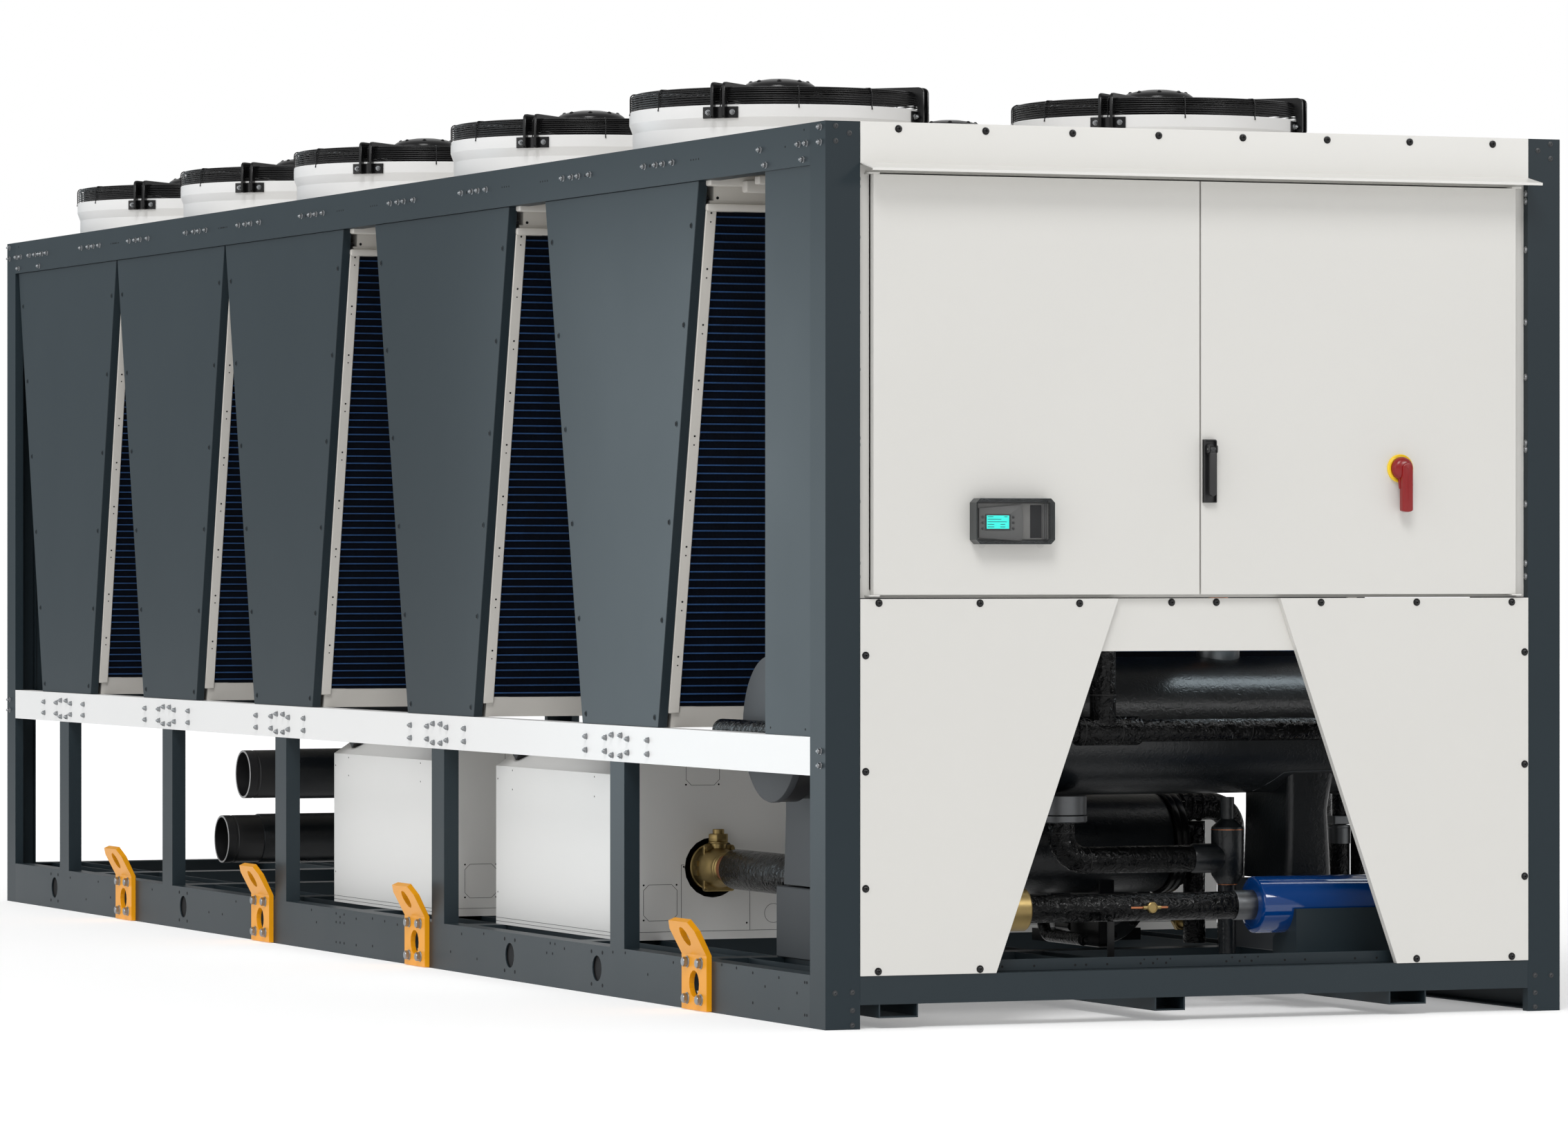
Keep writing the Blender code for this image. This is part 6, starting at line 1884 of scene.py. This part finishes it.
# %% The evaporator and its straps
plates_outline = rounded(block_x, evaporator_high.x, evaporator_low.y, evaporator_high.y, [0.05] * 4)
evaporator_body = softened(push(plates_outline, "Z", evaporator_low.z, evaporator_high.z), 0.012, 2)
straps = []
for z in (0.25, 0.4, 0.55):
    ring = rounded(
        block_x - 0.002, evaporator_high.x + 0.002, evaporator_low.y - 0.002, evaporator_high.y + 0.002,
        [0.052] * 4
    )
    straps.append(push(ring, "Z", z, z + 0.025))
water_parts = [
    (joined(bare_pipes), BARE_PIPE), (joined(edges), CUT_EDGE),
    (joined([*wrapped, evaporator_body]), SMOOTH_FOAM), (joined(straps), BLACK_PLASTIC)
]
make_piece("evaporator_and_water_pipes", water_parts, "insulation_foam", replaces=["evaporator"])

# %% [markdown]
# ## The compressor enclosures
# The enclosures are sheet boxes. Their panels show as thin dark gaps, and knock-outs for cables are cut as
# octagons and circles with small tabs at the corners. Lines less than half a millimetre proud give all of
# that without cutting the solid.

# %% Gap lines and octagons
GAP = 0.0011
GAP_PROUD = 0.0004
enclosure_left = low("compressor_enclosure_1").x
OCTAGON_HALF = 0.0535
OCTAGON_CUT = 0.017


def gap_line(start, end, axis, level):
    """A thin dark strip on a flat face between two points given in the face's own two axes."""
    direction = Vector(end) - Vector(start)
    across_line = Vector((-direction.y, direction.x)).normalized() * GAP / 2
    corners = [
        Vector(start) - across_line, Vector(end) - across_line, Vector(end) + across_line,
        Vector(start) + across_line
    ]
    return push([tuple(corner) for corner in corners], axis, level - GAP_PROUD, level)


def octagon(middle_a, middle_b, high=OCTAGON_HALF):
    h, c = OCTAGON_HALF, OCTAGON_CUT
    points = [
        (h, c - high), (h, high - c), (h - c, high), (c - h, high), (-h, high - c), (-h, c - high),
        (c - h, -high), (h - c, -high)
    ]
    points = [(middle_a + a, middle_b + b) for a, b in points]
    return list(zip(points, points[1:] + points[:1]))


print("octagon sides", len(octagon(0, 0)))

# %% All the lines on one enclosure
def enclosure_trim(front, back):
    left = enclosure_left
    gaps, dots, wedges = [], [], []
    lines = octagon(left + 0.116, 0.2555) + octagon(left + 0.252, 0.641, 0.038)
    lines += [((left + 0.183, 0.17), (left + 0.183, 0.367)), ((left + 0.403, 0.17), (left + 0.403, 0.367))]
    lines += [((left + 0.183, 0.367), (left + 0.192, 0.367)), ((left + 0.376, 0.367), (left + 0.403, 0.367))]
    lines += [((left + 0.002, 0.169), (-left - 0.002, 0.169)), ((left + 0.63, 0.2), (left + 0.63, 0.66))]
    lines += octagon(left + 1.6, 0.2555)
    gaps += [gap_line(a, b, "Y", front) for a, b in lines]
    gaps += [gap_line(a, b, "Y", back + GAP_PROUD) for a, b in lines]
    for y, facing in ((front, "front"), (back, "rear")):
        circle = lathe([(0.028, 0), (0.029, 0), (0.029, GAP_PROUD), (0.028, GAP_PROUD)], 32, closed=True)
        gaps.append(laid(circle, facing, (left + 0.479, y, 0.2185)))
        corner_dots = [(a, b) for a in (0.063, 0.168) for b in (0.204, 0.308)]
        corner_dots += [
            (0.198, 0.605), (0.303, 0.605), (0.191, 0.361), (0.393, 0.191), (0.62, 0.3), (0.62, 0.5)
        ]
        dots += [laid(hole_disc(0.003, 8), facing, (left + a, y, b)) for a, b in corner_dots]
    seams_left = [((front + 0.001, z), (back - 0.001, z)) for z in (0.154, 0.165)]
    side_gaps = [gap_line(a, b, "X", left) for a, b in seams_left]
    places = [
        (back - 0.016, 0.595), (back - 0.016, 0.244), (front + 0.016, 0.595), (front + 0.016, 0.244),
        (back - 0.147, 0.565), (back - 0.147, 0.624), (front + 0.244, 0.624), (front + 0.244, 0.565)
    ]
    side_dots = [laid(hole_disc(0.0026, 8), "left", (left, y, z)) for y, z in places]
    for y in (front + 0.12, back - 0.12):
        wedge = [(y - 0.045, 0.685), (y, 0.655), (y + 0.045, 0.685)]
        wedges.append(push(wedge, "X", left + 0.02, left + 0.07))
    side = joined(side_gaps + side_dots)
    wedges = joined(wedges)
    return joined([*gaps, *dots, side, mirrored(side)]), joined([wedges, mirrored(wedges)])


print("enclosure_trim ready")

# %% Trim on both enclosures
for number in (1, 2):
    box_low, box_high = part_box(f"compressor_enclosure_{number}")
    lines, wedges = enclosure_trim(box_low.y, box_high.y)
    make_piece(f"enclosure_trim_{number}", [(lines, HOLE), (wedges, BLACK_COAT)], "cream_paint")

# %% [markdown]
# Behind the front rail stands a narrow upstand with a row of fixing holes. It could be part of the rail's
# solid, but it is three millimetres thick, so a softened strip with dark discs for holes does the job.

# %% The front rail's upstand
FRAME_WIDTH = RIGHT - LEFT
STRIP_V = 0.058
STRIP_TOP = 0.177
RAIL_TOP = 0.1445
STRIP_HOLES = (
    0.55, 0.646, 0.77, 0.803, 0.867, 0.969, 1.007, 1.047, 1.232, 1.273, 1.31, 1.413, 1.476, 1.632, 1.7
)
strip = softened(
    block(
        (across(0.11), along(STRIP_V), RAIL_TOP),
        (across(FRAME_WIDTH - 0.11), along(STRIP_V) + 0.003, STRIP_TOP)
    ),
    0.001, 1
)
# The dark discs are painted shade for the holes.
strip_holes = [laid(hole_disc(0.0034, 10), "front", (across(u), along(STRIP_V), 0.1575)) for u in STRIP_HOLES]
strip_holes += [
    laid(hole_disc(0.0026, 8), "front", (across(u), along(STRIP_V), 0.1685))
    for u in (0.98, 1.02, 1.06, 1.25, 1.29, 1.33)
]
make_piece("front_rail_upstand", [(strip, ANTHRACITE), (joined(strip_holes), HOLE)], "anthracite_paint")

# %% [markdown]
# ## The cabinet end
# Black button-head screws hold the cream sheets, dark ones the posts. Silver screw heads stand in a row
# in the narrow gap between each post and the cabinet.

# %% Where the screws are
FASCIA_SCREWS = (0.214, 0.473, 0.734, 0.995, 1.253, 1.514, 1.772, 2.034)
FASCIA_SCREW_Z = 2.442
APRON_SCREWS = (
    (0.156, 1.155), (0.456, 1.154), (0.755, 1.153), (0.117, 1.013), (0.117, 0.698), (0.117, 0.381),
    (0.154, 0.156), (0.456, 0.156), (1.495, 1.154), (1.794, 1.154), (2.095, 1.154), (2.136, 1.013),
    (2.136, 0.697), (2.136, 0.381), (1.794, 0.156), (2.095, 0.156),
)
HEADER_SCREWS = ((1.044, 1.155), (1.181, 1.155))
POST_SCREWS = (
    (0.03, 2.446), (0.07, 2.427), (0.03, 2.405), (0.028, 0.1), (0.079, 0.101), (0.079, 0.052),
    (0.079, 0.012)
)
STRIP_SCREWS = (2.305, 2.284, 2.147, 1.943, 1.788, 1.602, 1.584, 1.43, 1.263, 1.226)
BACK_RAIL_U = (0.2, 0.5, 0.8, 1.45, 1.75, 2.05)
fascia_face = FRONT - 0.003
apron_face = low("apron_left").y
header_face = low("apron_header").y
print("fascia screws", len(FASCIA_SCREWS))

# %% Spread the screws
cream_places = [(across(u), fascia_face, FASCIA_SCREW_Z) for u in FASCIA_SCREWS]
cream_places += [(across(u), apron_face, z) for u, z in APRON_SCREWS]
cream_places += [(across(u), header_face, z) for u, z in HEADER_SCREWS]
post_places = []
for u, z in POST_SCREWS:
    post_places += [(across(u), FRONT, z), (across(FRAME_WIDTH - u), FRONT, z)]
rear_places = [(across(side), REAR, z) for u, z in POST_SCREWS for side in (u, FRAME_WIDTH - u)]
rear_places += [(across(u), REAR, z) for u in BACK_RAIL_U for z in (2.43, 2.38, 0.755, 0.72)]
post_inner = across(0.102)
strip_left = spread(dome_screw(0.0072), [(post_inner, along(0.012), z) for z in STRIP_SCREWS], "right")
DARK_SCREW = make_material(
    "dark_coated_screw", recipe(moulded, 0.00002, Colour=paint(0.03, 0.033, 0.036), Roughness=0.35)
)
parts = [
    (spread(panel_screw, cream_places, "front"), BLACK_COAT),
    (spread(small_screw, post_places, "front"), DARK_SCREW),
    (spread(small_screw, rear_places, "rear"), DARK_SCREW),
    (joined([strip_left, mirrored(strip_left)]), ZINC)
]
make_piece("end_screws", parts, "cream_paint")

# %% [markdown]
# The door handle is a swing lever in a long dish. The dish is a rim on the lock plate that surrounds the
# lever. The lever is an outline with a round foot, pushed through its thickness and softened, so it looks
# moulded. It turns on a steel pin between the ears of its hub.

# %% Lock plate rim
lock_u = (1.128, 1.166)
lever_low, lever_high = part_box("handle_lever")
hub_low, hub_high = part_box("handle_hub")
pivot_z = (hub_low.z + hub_high.z) / 2
lock_middle = (lever_low.x + lever_high.x) / 2
plate_front = hub_high.y
rim_front = plate_front - 0.0085
plate_low, plate_high = pivot_z - 0.148, pivot_z + 0.027

outer = rounded(across(lock_u[0]), across(lock_u[1]), plate_low, plate_high, (0.003, 0.003, 0.006, 0.003))
inner = rounded(
    across(lock_u[0]) + 0.0024, across(lock_u[1]) - 0.0024, plate_low + 0.0024, plate_high - 0.003,
    (0.003, 0.003, 0.005, 0.003)
)
rim_points, rim_faces = [], []
for y, outline in (
    (plate_front + 0.004, outer), (rim_front, outer), (rim_front, inner), (plate_front + 0.004, inner)
):
    rim_points.append([Vector((x, y, z)) for x, z in outline])
count = len(outer)
for i in range(4):
    for j in range(count):
        k = (j + 1) % count
        a, b = i * count, (i + 1) % 4 * count
        rim_faces.append([a + j, a + k, b + k, b + j])
rim = (sum(rim_points, []), rim_faces)
make_piece("lock_plate_rim", [(rim, BLACK_PLASTIC)], "black_plastic", body="door_right")

# %% Hub and pin
hub_disc = lathe(
    [(0.016, 0), (0.016, 0.006), (0.0145, 0.008), (0.008, 0.008), (0.0075, 0.0072), (0, 0.0072)], 32
)
hub_disc = moved(hub_disc, Matrix.Translation((lock_middle, hub_high.y, pivot_z)) @ FACING["front"])
hub_parts = [(hub_disc, BLACK_PLASTIC)]
for sign in (-1, 1):
    x0, x1 = sorted((lock_middle + sign * 0.0103, lock_middle + sign * 0.0143))
    ear = push(
        rounded(
            hub_low.y, hub_high.y - 0.006, hub_low.z + 0.005, hub_high.z - 0.005,
            (0.006, 0.001, 0.001, 0.006)
        ),
        "X", x0, x1
    )
    hub_parts.append((softened(ear, 0.0006, 1), BLACK_PLASTIC))
pin_y = (lever_low.y + lever_high.y) / 2
pin = push(
    [
        (pin_y + 0.0025 * math.cos(t), pivot_z + 0.0025 * math.sin(t))
        for t in (math.pi * i / 6 for i in range(12))
    ],
    "X", lock_middle - 0.0147, lock_middle + 0.0147
)
hub_parts.append((pin, ZINC))
make_piece("handle_hub_with_pin", hub_parts, "black_plastic", body="handle_hub", replaces=["handle_hub"])

# %% The lever
lever_outline = rounded(
    lever_low.x, lever_high.x, lever_low.z, pivot_z - 0.009, (0.0098, 0.0098, 0.002, 0.002), 7
)
grip = softened(push(lever_outline, "Y", lever_low.y, lever_high.y - 0.001), 0.0028, 3)
knuckle_circle = [
    (pin_y + 0.0068 * math.cos(math.pi * i / 10), pivot_z + 0.0068 * math.sin(math.pi * i / 10))
    for i in range(20)
]
knuckle = softened(push(knuckle_circle, "X", lever_low.x + 0.001, lever_high.x - 0.001), 0.001, 1)
neck = block(
    (lever_low.x + 0.002, lever_low.y + 0.002, pivot_z - 0.012),
    (lever_high.x - 0.002, lever_high.y - 0.003, pivot_z - 0.002)
)
barrel = [(0.0062, 0), (0.0062, 0.0012), (0.005, 0.0022), (0.0026, 0.0022), (0.0026, 0.0008), (0, 0.0008)]
barrel_spot = Matrix.Translation((lock_middle, lever_low.y + 0.0022, pivot_z)) @ FACING["front"]
barrel = moved(lathe(barrel, 24), barrel_spot)
make_piece(
    "handle_lever_moulded", [(joined([grip, knuckle, neck]), BLACK_PLASTIC), (barrel, DARK_SCREW)],
    "black_plastic", body="handle_lever", replaces=["handle_lever"]
)

# %% [markdown]
# The main switch has a thick yellow disc with turned grooves and a red pistol grip. The grip's dome is
# turned, its arm is a rounded outline pushed forward, and a sloping web joins the two, as a mould for
# such a part would.

# %% The switch's disc
switch_low, switch_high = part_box("switch_handle")
switch_x = (switch_low.x + switch_high.x) / 2
switch_z = switch_high.z - 0.032
switch_back = switch_high.y
disc_section = [(0.0394, 0), (0.0394, 0.0068), (0.0386, 0.0079)]
for radius in (0.0375, 0.0364, 0.0353, 0.0342):
    disc_section += [(radius + 0.0003, 0.0086), (radius, 0.0081)]
disc_section += [(0.0334, 0.0084), (0.0334, 0)]
disc = moved(lathe(disc_section, 64), Matrix.Translation((switch_x, door_face, switch_z)) @ FACING["front"])
make_piece("switch_disc", [(disc, YELLOW)], "cream_paint", body="door_right", crease=20)

# %% The grip
dome_section = [
    (0, 0), (0.0315, 0), (0.032, 0.001), (0.032, 0.008), (0.0308, 0.014), (0.0275, 0.0195), (0.022, 0.0235),
    (0.014, 0.026), (0, 0.027)
]
dome = moved(lathe(dome_section, 48), Matrix.Translation((switch_x, switch_back, switch_z)) @ FACING["front"])
GRIP_HALF = 0.016
GRIP_SIDE = 0.006
grip_back, grip_front = switch_back - 0.0095, switch_low.y
top_arc = [
    (switch_x + GRIP_HALF * math.cos(math.pi * i / 12), switch_z + GRIP_HALF * math.sin(math.pi * i / 12))
    for i in range(13)
]
foot_arc = [(switch_x + GRIP_HALF * (i / 3 - 1), switch_low.z + 0.004 * (i / 3 - 1) ** 2) for i in range(7)]
arm = softened(push(top_arc + foot_arc, "Y", grip_front, grip_back), 0.0035, 3)
arm = moved(arm, Matrix.Translation((GRIP_SIDE, 0, 0)))
web_side = [
    (switch_back - 0.002, switch_z - 0.028), (grip_back - 0.001, switch_z - 0.058),
    (grip_back - 0.006, switch_z - 0.058), (grip_back - 0.006, switch_z), (switch_back - 0.002, switch_z)
]
web = softened(push(web_side, "X", switch_x - 0.0125, switch_x + 0.0125), 0.003, 2)
groove = [(switch_x + 0.006, switch_low.z + 0.03), (switch_x + 0.006, switch_z - 0.004)]
groove += [
    (switch_x + 0.006 * math.cos(math.pi * i / 8), switch_z - 0.004 + 0.006 * math.sin(math.pi * i / 8))
    for i in range(1, 8)
]
groove += [(switch_x - 0.006, switch_z - 0.004), (switch_x - 0.006, switch_low.z + 0.03)]
line = sweep([(x, grip_front - 0.0001, z) for x, z in groove], 0.0005, 5)
make_piece(
    "switch_grip", [(joined([dome, arm, web, line]), RED_PLASTIC)], "red_plastic", body="switch_handle",
    replaces=["switch_handle"]
)

# %% [markdown]
# ## The display
# The control panel sits behind a clear hinged hood on the left door. Under the hood are a grey faceplate
# with a bowed edge, a lit screen between two columns of buttons, a dark window and a few ribs. The screen
# shows plain bars in place of writing. Clear plastic is given as see-through paint with gloss, which
# stays bright inside where real refraction would need far more light paths.

# %% Display finishes
def clear_plastic(name, colour, alpha):
    material = make_material(name, recipe(moulded, 0.0, Colour=paint(*colour), Roughness=0.08))
    material.node_tree.nodes["Principled BSDF"].inputs["Alpha"].default_value = alpha
    return material


CLEAR = clear_plastic("clear_hood", (0.3, 0.31, 0.32), 0.03)
# The hood's dark walls are painted shade: the dark bands that the walls show through the clear face.
HOOD_WALL_SHADE = clear_plastic("hood_edge", (0.035, 0.04, 0.042), 0.85)
FACEPLATE = make_material(
    "grey_faceplate", recipe(moulded, 0.00003, Colour=paint(0.09, 0.09, 0.088), Roughness=0.45)
)
BACKPLATE = make_material(
    "warm_grey_backplate", recipe(moulded, 0.00003, Colour=paint(0.15, 0.148, 0.14), Roughness=0.5)
)
SCREEN_INK = make_material("screen_bars", recipe(moulded, 0.0, Colour=paint(0.0, 0.12, 0.12), Roughness=0.4))
SCREEN = make_material(
    "teal_screen", recipe(moulded, 0.0, Colour=paint(0.02, 0.55, 0.5), Roughness=0.3),
    Emission_Color=paint(0.02, 0.8, 0.68), Emission_Strength=0.55
)
print("clear parts", CLEAR.name, HOOD_WALL_SHADE.name)

# %% [markdown]
# All parts of the display are placed by shares of the hood's width and height, from 0 at its low left
# corner to 1 at its high right corner. One pair of functions turns the shares into metres, so a part can
# be read off a picture of the display and put down where it was seen.

# %% Places on the display
hood_low, hood_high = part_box("display_unit")
HOOD_SIDE_MARGIN = 0.035
HOOD_FOOT_MARGIN = 0.16
hood_width = hood_high.x - hood_low.x
hood_low = hood_low + Vector(
    (hood_width * HOOD_SIDE_MARGIN, 0, (hood_high.z - hood_low.z) * HOOD_FOOT_MARGIN)
)
hood_high = hood_high - Vector((hood_width * HOOD_SIDE_MARGIN, 0, 0.004))
HOOD_CORNER = 0.012
HOOD_WALL = 0.003
hood_back, hood_front = hood_high.y, hood_low.y


def display_x(share):
    return hood_low.x + (hood_high.x - hood_low.x) * share


def display_z(share):
    return hood_low.z + (hood_high.z - hood_low.z) * share


def on_panel(left, right, foot, head, near, far):
    """A block on the display, by shares of its width and height and depths in front of the door."""
    return block(
        (display_x(left), hood_back - far, display_z(foot)),
        (display_x(right), hood_back - near, display_z(head))
    )


def chamfered(inset):
    c = HOOD_CORNER
    x0, x1, z0, z1 = hood_low.x + inset, hood_high.x - inset, hood_low.z + inset, hood_high.z - inset
    return [
        (x0 + c, z0), (x1 - c, z0), (x1, z0 + c), (x1, z1 - c), (x1 - c, z1), (x0 + c, z1), (x0, z1 - c),
        (x0, z0 + c)
    ]


print("hood", round(hood_high.x - hood_low.x, 3), "m wide")

# %% Hood walls and plates
walls = []
outline, inside = chamfered(0), chamfered(HOOD_WALL)
for i in range(8):
    j = (i + 1) % 8
    wall = push([outline[i], outline[j], inside[j], inside[i]], "Y", hood_front, hood_back)
    walls.append(wall)
side_walls = joined([walls[i] for i in (1, 2, 3, 5, 6, 7)])
# Dark bars across the foot and the head widen those bands of painted shade.
foot_bar = on_panel(0.04, 0.96, 0.02, 0.085, 0.004, 0.014)
head_bar = on_panel(0.04, 0.96, 0.915, 0.98, 0.004, 0.014)
bars = joined([walls[0], walls[4], foot_bar, head_bar])
hood_face = push(chamfered(0.0005), "Y", hood_front, hood_front + 0.0015)
tray_back = push(chamfered(0.004), "Y", hood_back - 0.004, hood_back)
backplate = on_panel(0.075, 0.97, 0.11, 0.89, 0.004, 0.016)
bow = [
    (display_x(0.61) + 0.006 * math.cos(t), display_z(0.465) + 0.0505 * math.sin(t))
    for t in (math.pi * (i / 8 - 0.5) for i in range(9))
]
plate_outline = [(display_x(0.075), display_z(0.14)), *bow, (display_x(0.075), display_z(0.79))]
faceplate = softened(push(plate_outline, "Y", hood_back - 0.024, hood_back - 0.016), 0.0015, 2)
print("hood walls", len(walls))

# %% Screen, window and buttons
bezel = on_panel(0.148, 0.476, 0.297, 0.653, 0.024, 0.0255)
screen = on_panel(0.167, 0.451, 0.337, 0.627, 0.0255, 0.026)
ink = []
for row, (start, end) in enumerate(((0.18, 0.25), (0.18, 0.35), (0.18, 0.42), (0.18, 0.26), (0.18, 0.26))):
    head = 0.605 - row * 0.055
    ink.append(on_panel(start, end, head - 0.014, head, 0.026, 0.0262))
ink += [
    on_panel(0.39, 0.43, 0.59, 0.605, 0.026, 0.0262), on_panel(0.34, 0.4, 0.426, 0.44, 0.026, 0.0262),
    on_panel(0.34, 0.4, 0.371, 0.385, 0.026, 0.0262)
]
window = on_panel(0.736, 0.881, 0.135, 0.86, 0.016, 0.0165)
ribs = [on_panel(x, x + 0.012, 0.12, 0.88, 0.016, 0.022) for x in (0.89, 0.912, 0.934)]
buttons = []
for x in (0.118, 0.507):
    for z in (0.592, 0.47, 0.345):
        spot = Matrix.Translation((display_x(x), hood_back - 0.024, display_z(z))) @ FACING["front"]
        buttons.append(moved(lathe([(0.0042, 0), (0.0042, 0.001), (0.003, 0.0018), (0, 0.002)], 16), spot))
print("buttons", len(buttons))

# %% Clips, tabs and the finished display
clips = []
for x in (0.106, 0.498, 0.89):
    clip_low = (display_x(x) - 0.007, hood_front + 0.012, hood_high.z)
    clip_high = (display_x(x) + 0.007, hood_front + 0.02, hood_high.z + 0.005)
    clips.append(softened(block(clip_low, clip_high), 0.001, 1))
tabs = []
for x in (0.13, 0.87):
    spot = Matrix.Translation((display_x(x), hood_back - 0.012, hood_low.z - 0.001)) @ FACING["front"]
    tabs.append(moved(lathe([(0, 0), (0.0105, 0), (0.0105, 0.003), (0, 0.003)], 20), spot))
display_parts = [
    (hood_face, CLEAR), (joined(clips + tabs), CLEAR), (joined([side_walls, bars]), HOOD_WALL_SHADE),
    (tray_back, FACEPLATE), (backplate, BACKPLATE), (faceplate, FACEPLATE), (bezel, BLACK_PLASTIC),
    (screen, SCREEN), (joined(ink), SCREEN_INK), (window, HOLE), (joined(ribs), FACEPLATE),
    (joined(buttons), BLACK_PLASTIC)
]
make_piece("control_display", display_parts, "grey_plastic", body="door_left", replaces=["display_unit"])

# %% [markdown]
# The dressed model must keep the solids' size. Both boxes, the solids' and the dressed
# model's, are shown as plain numbers.

# %% Show the two boxes and finish
boxes = {"solids": solids_box, "dressed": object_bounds()}
{name: [list(corner) for corner in box] for name, box in boxes.items()}
